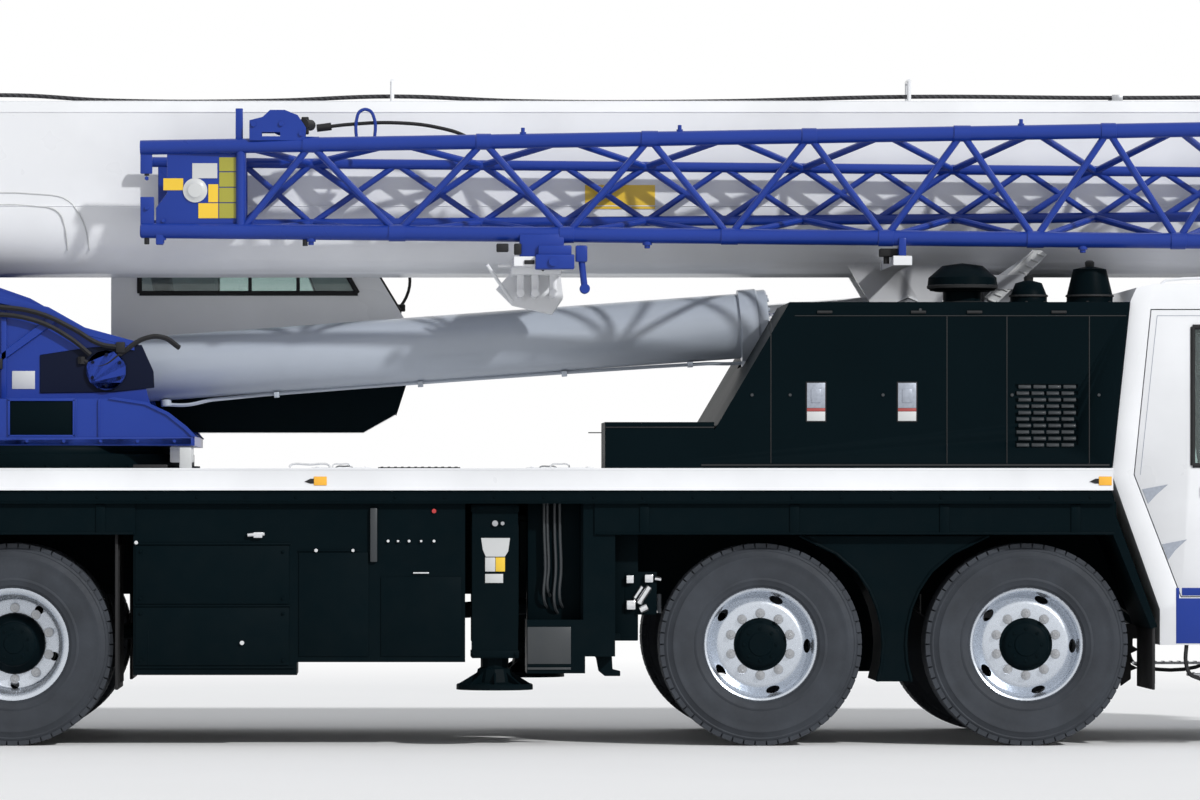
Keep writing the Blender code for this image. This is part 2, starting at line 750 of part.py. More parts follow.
def boom_rest():
    """The cradle that the boom lies in on the road: a saddle on two legs that straddle the trough."""
    x = (5.200, 5.460)
    meshes = [box(x, (-0.420, 0.420), (2.470, BOOM_BOTTOM - SEAT))]
    for _, side in SIDES:
        leg = sorted((side * 0.290, side * 0.410))
        meshes.append(box((5.230, 5.430), leg, (HOOD_TOP + SEAT, 2.500)))
        cheek = [(5.240, 2.500), (5.420, 2.500), (5.560, 2.680), (5.500, 2.680)]
        meshes.append(sided(side, "y", cheek, BOOM_HALF + 0.020, BOOM_HALF + 0.060))
    piece("boom_rest", "grey_paint", meshes)


HANGER_TOP = DECK_EDGE_BOTTOM - SEAT
HANGER_BOTTOM = SLEEVE_TOP + RUNNING
# Box name, its rear and front, its bottom and top, how far in it reaches
SIDE_BOXES = {
    "right": (
        ("toolbox", 0.600, 1.473, 0.381, HANGER_TOP, 0.750),
        ("locker", 1.463, 2.370, 0.450, HANGER_TOP, 0.750),
        ("step_box", 2.700, 3.010, 0.390, 0.675, 0.900),
        ("step_hanger", 3.000, 3.170, 0.480, HANGER_TOP, SKIRT_OUTER - 0.150),
        ("rear_locker", -2.660, -2.100, 0.600, HANGER_TOP, 0.800),
    ),
    "left": (
        ("fuel_tank", 0.600, 1.560, 0.420, HANGER_TOP, 0.750),
        ("battery_box", 1.550, 2.370, 0.520, HANGER_TOP, 0.750),
        ("step_hanger", 3.000, 3.170, 0.480, HANGER_TOP, SKIRT_OUTER - 0.150),
        ("rear_locker", -2.660, -2.100, 0.600, HANGER_TOP, 0.800),
    ),
}


def side_gear(side_name, side):
    """Boxes and skirts hung along one side under the deck, joined by the rail that carries them."""
    along = [(-2.660, HANGER_BOTTOM), (5.830, HANGER_BOTTOM), (5.815, HANGER_TOP), (-2.660, HANGER_TOP)]
    meshes = [sided(side, "y", along, SKIRT_INNER, HALF_WIDTH - 0.015)]
    for _, rear, front, bottom, top, reach in SIDE_BOXES[side_name]:
        deep = sorted((side * reach, side * (SKIRT_OUTER - 0.010)))
        meshes.append(box((rear, front), deep, (bottom, min(top, HANGER_BOTTOM + BURIED))))
    for rear, front in ((-2.110, 0.610), (3.060, 5.840)):
        skirt = rectangle((rear, front), (SKIRT_BOTTOM, HANGER_BOTTOM + BURIED))
        meshes.append(sided(side, "y", skirt, SKIRT_INNER, SKIRT_OUTER))
    wheelhouse = [(5.800, 1.340), (6.060, 0.640), (6.028, 0.628), (5.740, 1.340)]
    meshes.append(sided(side, "y", wheelhouse, RAIL_OUTER + 0.110, SKIRT_OUTER))
    piece(f"side_gear_{side_name}", "black_paint", meshes)


def outrigger(pair, side_name, side, x):
    """A beam that slides out of its housing, with a jack sleeve on its end and a leg in the sleeve."""
    half = BEAM_WIDE / 2
    tall = (BEAM_BOTTOM, BEAM_BOTTOM + BEAM_TALL)
    middle = side * (SLEEVE_INNER + SLEEVE_OUTER) / 2
    sleeve_half = (SLEEVE_OUTER - SLEEVE_INNER) / 2
    ends = sorted((-side * BEAM_INNER_END, side * (SLEEVE_INNER + BURIED)))
    beam = box((x - half, x + half), ends, tall)
    sleeve = box(
        (x - sleeve_half, x + sleeve_half),
        sorted((side * SLEEVE_INNER, side * SLEEVE_OUTER)),
        (SLEEVE_BOTTOM, SLEEVE_TOP),
    )
    bore = drum("z", (x, middle, 0), LEG_RADIUS + SEAT, SLEEVE_BOTTOM - 0.1, SLEEVE_TOP - 0.050, 12)
    piece(f"outrigger_{pair}_{side_name}_beam", "black_paint", [beam, sleeve], [bore])
    leg = [
        (0, FLOAT_BOTTOM),
        (FLOAT_RADIUS, FLOAT_BOTTOM),
        (FLOAT_RADIUS, FLOAT_BOTTOM + FLOAT_THICK / 2),
        (0.110, FLOAT_BOTTOM + FLOAT_THICK),
        (0.090, FLOAT_BOTTOM + 0.110),
        (LEG_RADIUS, FLOAT_BOTTOM + 0.120),
        (LEG_RADIUS, SLEEVE_TOP - 0.060),
        (0, SLEEVE_TOP - 0.060),
    ]
    turned = lathe("z", Vector((x, middle, 0)), leg, 12)
    node = f"outrigger_{pair}_{side_name}_jack"
    piece(node, "black_paint", [turned], pivot=(x, middle, FLOAT_BOTTOM), turned=True)


def slew_ring():
    profile = [
        (RING_BORE, DECK_TOP + SEAT),
        (RING_RADIUS, DECK_TOP + SEAT),
        (RING_RADIUS, RING_TOP - 0.045),
        (RING_RADIUS - 0.030, RING_TOP - 0.040),
        (RING_RADIUS - 0.030, RING_TOP - SEAT),
        (RING_BORE, RING_TOP - SEAT),
    ]
    piece("slew_ring", "black_paint", [lathe("z", Vector((0, 0, 0)), profile, 28)], turned=True)


# Carrier cab

CAB_PROFILE = [
    (6.085, 0.540),
    (7.790, 0.540),
    (CAB_FRONT, 0.620),
    (CAB_FRONT, 1.420),
    WINDSCREEN_LOW,
    WINDSCREEN_HIGH,
    (7.250, CAB_TOP + 0.010),
    (6.050, CAB_TOP),
    (5.960, CAB_TOP - 0.020),
    (5.928, CAB_TOP - 0.090),
    (5.829, 1.450),
    (6.085, 0.730),
]
DOOR_OUTLINE = [
    (6.200, 0.800),
    (7.200, 0.800),
    (7.200, 1.520),
    (6.960, 2.330),
    (6.040, 2.330),
    (5.950, 1.450),
]
DOOR_WINDOW = [
    (6.260, 1.500),
    (7.080, 1.500),
    (6.900, 2.240),
    (6.260, 2.240),
]


def along_windscreen(distance, depth):
    """A point at a distance up the windscreen from its foot, and a depth in from the outer face."""
    low, high = Vector(WINDSCREEN_LOW), Vector(WINDSCREEN_HIGH)
    up = (high - low).normalized()
    inwards = Vector((-up.y, up.x))
    return tuple(low + up * distance + inwards * depth)


def windscreen_outline(margin, outer, inner):
    length = (Vector(WINDSCREEN_HIGH) - Vector(WINDSCREEN_LOW)).length
    low, high = 0.080 + margin, length - 0.090 - margin
    return [
        along_windscreen(low, outer),
        along_windscreen(high, outer),
        along_windscreen(high, inner),
        along_windscreen(low, inner),
    ]


WINDSCREEN_HALF = CAB_HALF - 0.150


def door_hinges(side, z_places, tall):
    """Hinge barrels on the door's axis, one mesh for each place."""
    axis_y = side * (CAB_HALF + HINGE_STAND)
    meshes = []
    for z in z_places:
        meshes.append(drum("z", (DOOR_HINGE_X, axis_y, 0), HINGE_RADIUS, z, z + tall, 8))
    return meshes


HINGE_PLACES = (0.950, 1.400)
HINGE_TALL = 0.060


GRILLE_SLOTS = 5
GRILLE_BOTTOM = 0.960
GRILLE_PITCH = 0.075
GRILLE_HALF = 0.560
GRILLE_DEPTH = 0.012
MIRROR_STAND = 0.050
MIRROR_HALF = 0.065


def mirror_shapes(side):
    """A mirror's arm from the windscreen's corner, and its head."""
    middle = CAB_HALF + MIRROR_STAND
    elbow = (7.660, side * middle, 2.310)
    head = rectangle((7.630, 7.690), (1.860, 2.250))
    return [
        bar((7.410, side * (CAB_HALF - 0.060), 2.280), elbow, 0.016, 6),
        bar(elbow, (7.660, side * middle, 2.200), 0.016, 6),
        sided(side, "y", head, middle - MIRROR_HALF, middle + MIRROR_HALF),
    ]


def carrier_cab():
    inner = inset(CAB_PROFILE, CAB_WALL)
    outer = prism("y", CAB_PROFILE, -CAB_HALF, CAB_HALF)
    hollow = prism("y", inner, -CAB_HALF + CAB_WALL, CAB_HALF - CAB_WALL)
    floor = box((5.7, 7.9), (-CAB_HALF, CAB_HALF), (CAB_FLOOR, CAB_FLOOR + 0.040))
    hollow = combine(hollow, [floor], "DIFFERENCE")
    under = box((6.160, 7.750), (-CAB_HALF + CAB_WALL, CAB_HALF - CAB_WALL), (0.4, 0.700))
    tunnel = box((5.7, 7.760), (-RAIL_OUTER - 0.020, RAIL_OUTER + 0.020), (0.4, CAB_FLOOR))
    windscreen = prism("y", windscreen_outline(0, -0.1, 0.1), -WINDSCREEN_HALF, WINDSCREEN_HALF)
    cuts = [hollow, under, tunnel, windscreen]
    door_gap = inset(DOOR_OUTLINE, -RUNNING)
    meshes = [outer]
    for _, side in SIDES:
        cuts.append(sided(side, "y", door_gap, CAB_HALF - 0.2, CAB_HALF + 0.2))
        below = [z - HINGE_TALL - SEAT for z in HINGE_PLACES]
        meshes += door_hinges(side, below, HINGE_TALL)
        for z in below:
            leaf = rectangle((DOOR_HINGE_X, DOOR_HINGE_X + 0.040), (z, z + HINGE_TALL))
            meshes.append(sided(side, "y", leaf, CAB_HALF - BURIED, CAB_HALF + HINGE_STAND))
    window_half = CAB_HALF - 0.450
    rear_window = box((5.7, 6.1), (-window_half, window_half), (1.750, 2.200))
    cuts.append(rear_window)
    for index in range(GRILLE_SLOTS):
        z = GRILLE_BOTTOM + index * GRILLE_PITCH
        along = (CAB_FRONT - GRILLE_DEPTH, CAB_FRONT + 0.1)
        cuts.append(box(along, (-GRILLE_HALF, GRILLE_HALF), (z, z + GRILLE_PITCH * 0.6)))
    for _, side in SIDES:
        meshes += mirror_shapes(side)
    visor = [(7.350, 2.455), (7.560, 2.395), (7.570, 2.415)]
    visor += [(7.340, 2.495), (7.260, 2.495), (7.260, 2.470)]
    meshes.append(prism("y", visor, 0.050 - WINDSCREEN_HALF, WINDSCREEN_HALF - 0.050))
    piece("carrier_cab", "white_paint", meshes, cuts)
    half = WINDSCREEN_HALF - SEAT
    pane = prism("y", windscreen_outline(SEAT, 0.020, 0.020 + GLASS), -half, half)
    piece("carrier_windscreen", "glass", [pane])


def carrier_door(side_name, side):
    pivot = (DOOR_HINGE_X, side * (CAB_HALF + HINGE_STAND), 0.0)
    panel = sided(side, "y", DOOR_OUTLINE, CAB_HALF - CAB_WALL, CAB_HALF)
    window = sided(side, "y", DOOR_WINDOW, CAB_HALF - 0.2, CAB_HALF + 0.2)
    meshes = [panel] + door_hinges(side, HINGE_PLACES, HINGE_TALL)
    for z in HINGE_PLACES:
        root = rectangle((DOOR_HINGE_X - 0.060, DOOR_HINGE_X - 0.025), (z, z + HINGE_TALL))
        leaf = rectangle((DOOR_HINGE_X - 0.060, DOOR_HINGE_X), (z, z + HINGE_TALL))
        meshes.append(sided(side, "y", root, CAB_HALF - BURIED, CAB_HALF + HINGE_STAND))
        meshes.append(sided(side, "y", leaf, CAB_HALF + 0.003, CAB_HALF + HINGE_STAND))
    piece(f"carrier_door_{side_name}", "white_paint", meshes, [window], pivot=pivot)
    outline = inset(DOOR_WINDOW, SEAT)
    pane = sided(side, "y", outline, CAB_HALF - 0.030, CAB_HALF - 0.030 + GLASS)
    piece(f"carrier_door_{side_name}_glass", "glass", [pane], pivot=pivot)


def carrier_interior():
    """Two seats on one plinth, the dashboard and the steering wheel, as they show through the glass."""
    floor = CAB_FLOOR + 0.040 + SEAT
    reach = CAB_HALF - 0.150
    middle = CAB_HALF - 0.580
    meshes = [box((6.350, 7.650), (0.020 - reach, reach - 0.020), (floor, floor + 0.060))]
    for _, side in SIDES:
        seat = [(6.450, floor), (6.950, floor), (6.980, 1.330), (6.940, 1.400), (6.560, 1.370)]
        seat += [(6.420, 2.050), (6.330, 2.060), (6.350, 1.300)]
        meshes.append(sided(side, "y", seat, middle - 0.250, middle + 0.250))
    dash = [(7.300, floor), (7.650, floor), (7.700, 1.400), (7.640, 1.500), (7.350, 1.480), (7.280, 1.350)]
    meshes.append(prism("y", dash, -reach, reach))
    hub = Vector((7.190, middle, 1.560))
    meshes.append(bar(hub + Vector((0.160, 0, -0.140)), hub, 0.025))
    ring = lathe("z", Vector((0, 0, 0)), [(0, -0.012), (0.215, -0.012), (0.215, 0.012), (0, 0.012)], 14)
    tilt = Matrix.Translation(hub) @ Matrix.Rotation(math.radians(-49), 4, "Y")
    ring.transform(tilt)
    meshes.append(ring)
    piece("carrier_interior", "trim", meshes)


def bumper():
    back, face = CAB_FRONT + SEAT, CAB_FRONT + 0.090
    section = [(back, 0.560), (face - 0.030, 0.480), (face, 0.520), (face, 0.760), (back, 0.820)]
    meshes = [prism("y", section, -CAB_HALF, CAB_HALF)]
    outer, inner = CAB_HALF - 0.250, CAB_HALF - 0.470
    for y in (-outer, -inner, inner, outer):
        lamp = [(0, face - 0.020), (0.090, face - 0.020), (0.085, face + 0.014), (0, face + 0.022)]
        meshes.append(lathe("x", Vector((0, y, 0.640)), lamp, 14))
    piece("bumper", "black_paint", meshes)


# Superstructure


WINCH_X = -2.200
WINCH_Z = 2.110
# Rear and front of each opening in the platform's sides
PLATFORM_POCKETS = ((-1.100, -0.620), (-0.092, 0.248))
# Place, height, radius and outer face of the covers over the boom's and the cylinder's pins
PIN_COVERS = ((FOOT_X, FOOT_Z, 0.130, 0.478), (LIFT_BASE_X, LIFT_BASE_Z, 0.110, 0.470))


def superstructure():
    """The slewing platform: a wide base, two tall plates for boom and cylinder, and cross plates."""
    base = [
        (PLATFORM_REAR, RING_TOP),
        (PLATFORM_FRONT, RING_TOP),
        (PLATFORM_FRONT, RING_TOP + 0.050),
        (0.860, 1.700),
        (0.760, 1.780),
        (0.640, 1.840),
        (0.440, 1.865),
        (PLATFORM_REAR, 1.865),
    ]
    plate = [
        (PLATFORM_REAR, 1.700),
        (0.700, 1.700),
        (0.640, 1.900),
        (0.590, 2.180),
        (0.300, 2.250),
        (0.000, 2.420),
        (-0.400, 2.560),
        (-1.000, 2.700),
    ]
    plate += arc((FOOT_X, FOOT_Z), 0.210, 20, 180, 6)
    plate += [(-1.900, 2.350), (PLATFORM_REAR, 2.300)]
    meshes = [prism("y", base, -PLATFORM_HALF, PLATFORM_HALF)]
    for _, side in SIDES:
        meshes.append(sided(side, "y", plate, SIDE_PLATE_INNER, SIDE_PLATE_OUTER))
    across = (-SIDE_PLATE_INNER - BURIED, SIDE_PLATE_INNER + BURIED)
    meshes.append(box((PLATFORM_REAR, PLATFORM_REAR + 0.050), across, (1.800, 2.290)))
    meshes.append(box((-1.050, -1.000), across, (1.800, 2.300)))
    cab_bracket = box((0.450, 0.880), (PLATFORM_HALF - BURIED, 1.250), (1.640, OPERATOR_BOTTOM - SEAT))
    meshes.append(cab_bracket)
    cab_room = box((0.380, 1.000), (OPERATOR_INNER - 0.010, 1.400), (OPERATOR_BOTTOM - SEAT, 2.600))
    cuts = [cab_room]
    for _, side in SIDES:
        flange = rectangle((PLATFORM_REAR, PLATFORM_FRONT - 0.020), (RING_TOP + 0.002, RING_TOP + 0.040))
        meshes.append(sided(side, "y", flange, PLATFORM_HALF - BURIED, PLATFORM_HALF + 0.012))
        for x, z, radius, reach in PIN_COVERS:
            low, high = sorted((side * reach, side * SIDE_PLATE_OUTER))
            meshes.append(drum("y", (x, 0, z), radius, low, high, 14))
        edge = [(-1.050, 2.680), (-0.400, 2.540), (0.000, 2.400), (0.300, 2.235), (0.570, 2.170)]
        edge += [(x, z - 0.036) for x, z in reversed(edge)]
        meshes.append(sided(side, "y", edge, SIDE_PLATE_OUTER - BURIED, SIDE_PLATE_OUTER + 0.020))
        for rear, front in PLATFORM_POCKETS:
            pocket = rectangle((rear, front), (1.670, 1.850))
            cuts.append(sided(side, "y", pocket, PLATFORM_HALF - 0.060, PLATFORM_HALF + 0.1))
    meshes.append(drum("y", (WINCH_X, 0, WINCH_Z), 0.120, SIDE_PLATE_OUTER - BURIED, 0.560, 14))
    meshes.append(drum("y", (WINCH_X, 0, WINCH_Z), 0.075, 0.550, 0.680, 12))
    piece("superstructure", "blue_paint", meshes, cuts)


LIFT_EYE_X = -2.960


def counterweight():
    outline = []
    edge = math.degrees(math.asin(COUNTERWEIGHT_HALF / COUNTERWEIGHT_RADIUS))
    outline += arc((0, 0), COUNTERWEIGHT_RADIUS, 180 - edge, 180 + edge, 8)
    outline += [(PLATFORM_REAR - SEAT, -COUNTERWEIGHT_HALF), (PLATFORM_REAR - SEAT, COUNTERWEIGHT_HALF)]
    meshes = [prism("z", outline, COUNTERWEIGHT_BOTTOM, COUNTERWEIGHT_TOP)]
    for y in (-0.900, 0.900):
        low, high = COUNTERWEIGHT_TOP - BURIED, COUNTERWEIGHT_TOP + 0.090
        loop = [(y - 0.045, low), (y - 0.045, high), (y + 0.045, high), (y + 0.045, low)]
        for start, end in zip(loop, loop[1:]):
            meshes.append(bar((LIFT_EYE_X, *start), (LIFT_EYE_X, *end), 0.012, 6))
    piece("counterweight", "blue_paint", meshes)


def winch():
    """The hoist drum between the side plates, behind the boom foot."""
    half = SIDE_PLATE_INNER - SEAT
    profile = [
        (0, -half),
        (0.090, -half),
        (0.090, -0.330),
        (0.230, -0.330),
        (0.230, -0.300),
        (0.170, -0.300),
        (0.170, 0.300),
        (0.230, 0.300),
        (0.230, 0.330),
        (0.090, 0.330),
        (0.090, half),
        (0, half),
    ]
    piece("winch", "steel", [lathe("y", Vector((WINCH_X, 0, WINCH_Z)), profile, 16)], turned=True)


OPERATOR_PROFILE = [
    (0.400, OPERATOR_BOTTOM),
    (1.820, OPERATOR_BOTTOM),
    (2.000, 1.800),
    (2.057, 1.970),
    (2.057, 2.330),
    (1.480, 3.280),
    (1.420, OPERATOR_TOP),
    (0.460, OPERATOR_TOP),
    (0.400, 3.280),
]
OPERATOR_SIDE_WINDOW = [(0.560, 2.480), (1.790, 2.480), (1.380, 3.200), (0.560, 3.200)]
SCREEN_LOW = (2.057, 2.330)
SCREEN_HIGH = (1.480, 3.280)


def operator_screen(margin, outer, inner):
    low, high = Vector(SCREEN_LOW), Vector(SCREEN_HIGH)
    up = (high - low).normalized()
    inwards = Vector((-up.y, up.x))
    start, end = low + up * (0.060 + margin), high - up * (0.060 + margin)
    near, far = inwards * outer, inwards * inner
    corners = (start + near, end + near, end + far, start + far)
    return [tuple(corner) for corner in corners]


SLIDE_DOOR_LOW = 1.800
SLIDE_DOOR_HIGH = 3.240
DOOR_PANEL = 0.036


def slide_door_outline():
    return [
        (SLIDE_DOOR_REAR, SLIDE_DOOR_LOW),
        (SLIDE_DOOR_FRONT, SLIDE_DOOR_LOW),
        (SLIDE_DOOR_FRONT, 2.480),
        (1.340, SLIDE_DOOR_HIGH),
        (SLIDE_DOOR_REAR, SLIDE_DOOR_HIGH),
    ]


def operator_cab():
    """A hollow cab whose outer wall is set back behind the sliding door."""
    wall_y = OPERATOR_OUTER - DOOR_PANEL - RUNNING
    shell = prism("y", OPERATOR_PROFILE, OPERATOR_INNER, wall_y)
    hollow = prism(
        "y",
        inset(OPERATOR_PROFILE, OPERATOR_WALL),
        OPERATOR_INNER + OPERATOR_WALL,
        wall_y - OPERATOR_WALL,
    )
    meshes = [shell]
    below = (SLIDE_DOOR_LOW - 0.040, SLIDE_DOOR_LOW - SEAT)
    above = (SLIDE_DOOR_HIGH + SEAT, SLIDE_DOOR_HIGH + 0.030)
    for rail in (below, above):
        meshes.append(box((0.420, SLIDE_DOOR_FRONT - 0.300), (wall_y - BURIED, OPERATOR_OUTER), rail))
    opening = inset(slide_door_outline(), 0.060)
    cuts = [
        hollow,
        prism("y", OPERATOR_SIDE_WINDOW, OPERATOR_INNER - 0.1, OPERATOR_INNER + 0.1),
        prism("y", opening, wall_y - 0.1, wall_y + 0.1),
        prism("y", operator_screen(0, -0.1, 0.1), OPERATOR_INNER + 0.060, wall_y - 0.060),
        box((0.3, 0.5), (OPERATOR_INNER + 0.080, wall_y - 0.080), (2.480, 3.200)),
    ]
    piece("operator_cab", "white_paint", meshes, cuts)
    screen = operator_screen(SEAT, 0.012, 0.012 + GLASS)
    glass = prism("y", screen, OPERATOR_INNER + 0.060 + SEAT, wall_y - 0.060 - SEAT)
    piece("operator_windscreen", "glass", [glass])
    side_glass = inset(OPERATOR_SIDE_WINDOW, SEAT)
    pane = prism("y", side_glass, OPERATOR_INNER + 0.012, OPERATOR_INNER + 0.012 + GLASS)
    piece("operator_side_glass", "glass", [pane])


def operator_door():
    outline = slide_door_outline()
    panel = prism("y", outline, OPERATOR_OUTER - DOOR_PANEL, OPERATOR_OUTER)
    window = [(SLIDE_DOOR_REAR + 0.080, 2.150), (1.560, 2.150), (1.560, 2.480), (1.300, 3.160)]
    window += [(SLIDE_DOOR_REAR + 0.080, 3.160)]
    cut = prism("y", window, OPERATOR_OUTER - 0.2, OPERATOR_OUTER + 0.2)
    piece("operator_door", "white_paint", [panel], [cut])


def operator_seat():
    floor = OPERATOR_BOTTOM + OPERATOR_WALL + SEAT
    seat = [(0.700, floor), (1.150, floor), (1.150, 2.020), (1.240, 2.080), (1.240, 2.180), (0.860, 2.160)]
    seat += [(0.740, 2.860), (0.640, 2.860), (0.680, 2.100)]
    inner, outer = OPERATOR_INNER + 0.190, OPERATOR_OUTER - 0.190
    meshes = [prism("y", seat, inner, outer)]
    console = [(1.140, floor), (1.700, floor), (1.760, 2.150)]
    console += [(1.640, 2.300), (1.600, 2.100), (1.150, 1.900)]
    meshes.append(prism("y", console, inner + 0.030, outer - 0.030))
    piece("operator_seat", "trim", meshes)


# Boom, cylinder, jib and hook


def boom_outline(depth):
    """The boom's section as (y, z), every wall moved in by depth: flat top, sheer sides, rounded belly."""
    half = BOOM_HALF - depth
    top = BOOM_TOP - depth
    belly = BOOM_FLANK_Z - BOOM_BOTTOM - depth
    corner = BOOM_CORNER
    points = [(half, top - corner), (half - corner, top), (corner - half, top), (-half, top - corner)]
    steps = 2 * BOOM_FLANK_STEPS
    for step in range(steps + 1):
        angle = math.pi + math.pi * step / steps
        points.append((half * math.cos(angle), BOOM_FLANK_Z + belly * math.sin(angle)))
    return points


def boom_half_at(z):
    """How far out the base section's skin stands at a height on its belly."""
    share = (BOOM_FLANK_Z - z) / (BOOM_FLANK_Z - BOOM_BOTTOM)
    return BOOM_HALF * math.sqrt(max(0.0, 1 - share * share))


def chord_at(chord, x):
    y_tip, z_tip, y_root, z_root, _ = JIB_CHORDS[chord]
    share = (x - JIB_TIP_X) / (JIB_ROOT_X - JIB_TIP_X)
    return Vector((x, y_tip + (y_root - y_tip) * share, z_tip + (z_root - z_tip) * share))


def boom_base():
    """The base section with its foot, the ears for the lift cylinder and the arms that carry the jib."""
    foot = [(BOOM_BASE_REAR + 0.100, 2.640)]
    foot += arc((FOOT_X, FOOT_Z), 0.170, 280, 90, 8)
    foot += [(BOOM_BASE_REAR + 0.100, 3.300)]
    meshes = [prism("x", boom_outline(0), BOOM_BASE_REAR, BOOM_BASE_FRONT)]
    cheek_inner = BOOM_HALF - 0.100
    for _, side in SIDES:
        meshes.append(sided(side, "y", foot, cheek_inner, BOOM_HALF))
        ear = [(4.480, 2.640), (LIFT_ROD_X - 0.150, LIFT_ROD_Z - 0.040)]
        ear += arc((LIFT_ROD_X, LIFT_ROD_Z), 0.150, 200, 340, 5)
        ear += [(5.120, 2.640)]
        meshes.append(sided(side, "y", ear, EAR_INNER, EAR_OUTER))
    reach = SIDE_PLATE_INNER - SEAT
    meshes.append(drum("y", (FOOT_X, 0, FOOT_Z), FOOT_PIN_RADIUS, -reach, reach, 14))
    meshes.append(prism("x", boom_outline(-COLLAR), BOOM_BASE_FRONT - 0.140, BOOM_BASE_FRONT))
    for x in ROPE_GUIDES:
        high = [(x, -GUIDE_HALF, GUIDE_TOP), (x, GUIDE_HALF, GUIDE_TOP)]
        low = [(x, -GUIDE_HALF, BOOM_TOP - BURIED), (x, GUIDE_HALF, BOOM_TOP - BURIED)]
        for start, end in ((low[0], high[0]), (high[0], high[1]), (high[1], low[1])):
            meshes.append(bar(start, end, GUIDE_RADIUS, 6))
    for x, length in JIB_BRACKETS:
        top = JIB_SEAT_Z - SEAT
        start = boom_half_at(top - JIB_ARM) - BURIED
        end = -chord_at("outer_bottom", x).y + 0.060
        along = (x - length / 2, x + length / 2)
        meshes.append(box(along, (-end, -start), (top - JIB_ARM, top)))
    web = [(2.650, 2.380), (2.860, 2.340), (2.920, 2.430), (2.900, 2.590), (2.660, 2.590), (2.560, 2.480)]
    meshes.append(prism("y", web, -0.430, -0.400))
    along = (BOOM_BASE_FRONT - 0.120, BOOM_BASE_FRONT - 0.020)
    for y in (-0.200, 0.200):
        cover = (BOOM_TOP + COLLAR - 0.004, BOOM_TOP + COLLAR + 0.010)
        meshes.append(box(along, (y - 0.060, y + 0.060), cover))
    bore = prism("x", boom_outline(BOOM_WALL), BOOM_BASE_REAR - 0.1, BOOM_BASE_FRONT + 0.1)
    foot_bore = box((BOOM_BASE_REAR - 0.2, BOOM_BASE_REAR + 0.11), (-0.229, 0.229), (2.900, 3.300))
    pin_space = [bore, foot_bore]
    piece("boom_base", "white_paint", meshes, pin_space, pivot=(FOOT_X, 0, FOOT_Z))


def boom_section(index, name, front_lead, rear_lead):
    """An inner section: a tube with a collar in front and a shoe behind, inside the next one."""
    depth = index * (BOOM_WALL + BOOM_GAP)
    front = BOOM_BASE_FRONT + front_lead
    rear = BOOM_BASE_REAR + rear_lead
    shoe = depth - BOOM_GAP + SEAT
    meshes = [
        prism("x", boom_outline(depth), rear, front),
        prism("x", boom_outline(shoe), rear, rear + 0.300),
        prism("x", boom_outline(shoe - COLLAR), front - 0.130, front),
    ]
    cuts = [prism("x", boom_outline(depth + BOOM_WALL), rear - 0.1, front + 0.1)]
    if index == len(SECTIONS):
        inner_half = BOOM_HALF - depth - BOOM_WALL
        plate = [
            (front - 0.100, 2.720),
            (8.700, 2.520),
            (8.860, 2.350),
            (9.100, 2.350),
            (9.230, 2.480),
            (BOOM_TIP, 2.640),
            (9.180, 2.960),
            (8.760, 3.440),
            (8.620, 3.490),
            (front - 0.100, 3.380),
        ]
        for _, side in SIDES:
            meshes.append(sided(side, "y", plate, inner_half - 0.030, inner_half + BOOM_WALL))
        wide = inner_half - 0.020
        for x, z, radius in ((HEAD_SHEAVE_X, HEAD_SHEAVE_Z, HEAD_SHEAVE_RADIUS), (8.640, 3.400, 0.120)):
            meshes.append(drum("y", (x, 0, z), 0.050, -wide, wide, 10))
            for y in (-SHEAVE_Y, SHEAVE_Y):
                meshes.append(drum("y", (x, y, z), radius, -0.028, 0.028, SHEAVE_SEGMENTS))
    piece(name, "white_paint", meshes, cuts)


def lift_axis():
    base = Vector((LIFT_BASE_X, 0, LIFT_BASE_Z))
    rod = Vector((LIFT_ROD_X, 0, LIFT_ROD_Z))
    return base, rod, (rod - base).normalized()


def along_lift(profile, segments):
    """A profile of (radius, distance) turned about the lift cylinder's axis."""
    base, _, direction = lift_axis()
    mesh = lathe("z", Vector((0, 0, 0)), profile, segments)
    turn = direction.to_track_quat("Z", "Y").to_matrix().to_4x4()
    mesh.transform(Matrix.Translation(base) @ turn)
    return mesh


def lift_cylinder():
    base, rod, direction = lift_axis()
    bore = ROD_RADIUS + ROD_CLEARANCE
    barrel = [
        (0, 0.060),
        (0.120, 0.060),
        (BARREL_RADIUS, 0.180),
        (BARREL_RADIUS, BARREL_END - 0.160),
        (BARREL_RADIUS + 0.020, BARREL_END - 0.160),
        (BARREL_RADIUS + 0.020, BARREL_END),
        (bore, BARREL_END),
        (bore, ROD_START - 0.020),
        (0, ROD_START - 0.020),
    ]
    half = SIDE_PLATE_INNER - SEAT
    meshes = [along_lift(barrel, 18)]
    meshes.append(drum("y", (LIFT_BASE_X, 0, LIFT_BASE_Z), 0.150, -0.150, 0.150, 14))
    meshes.append(drum("y", (LIFT_BASE_X, 0, LIFT_BASE_Z), 0.080, -half, half, 12))
    piece("lift_barrel", "grey_paint", meshes, pivot=tuple(base), turned=True)
    length = (rod - base).length
    shaft = [(0, ROD_START), (ROD_RADIUS, ROD_START), (ROD_RADIUS, length), (0, length)]
    eye = drum("y", tuple(rod), 0.130, -EAR_INNER + RUNNING, EAR_INNER - RUNNING, 14)
    piece("lift_rod", "steel", [along_lift(shaft, 18), eye], pivot=tuple(base), turned=True)


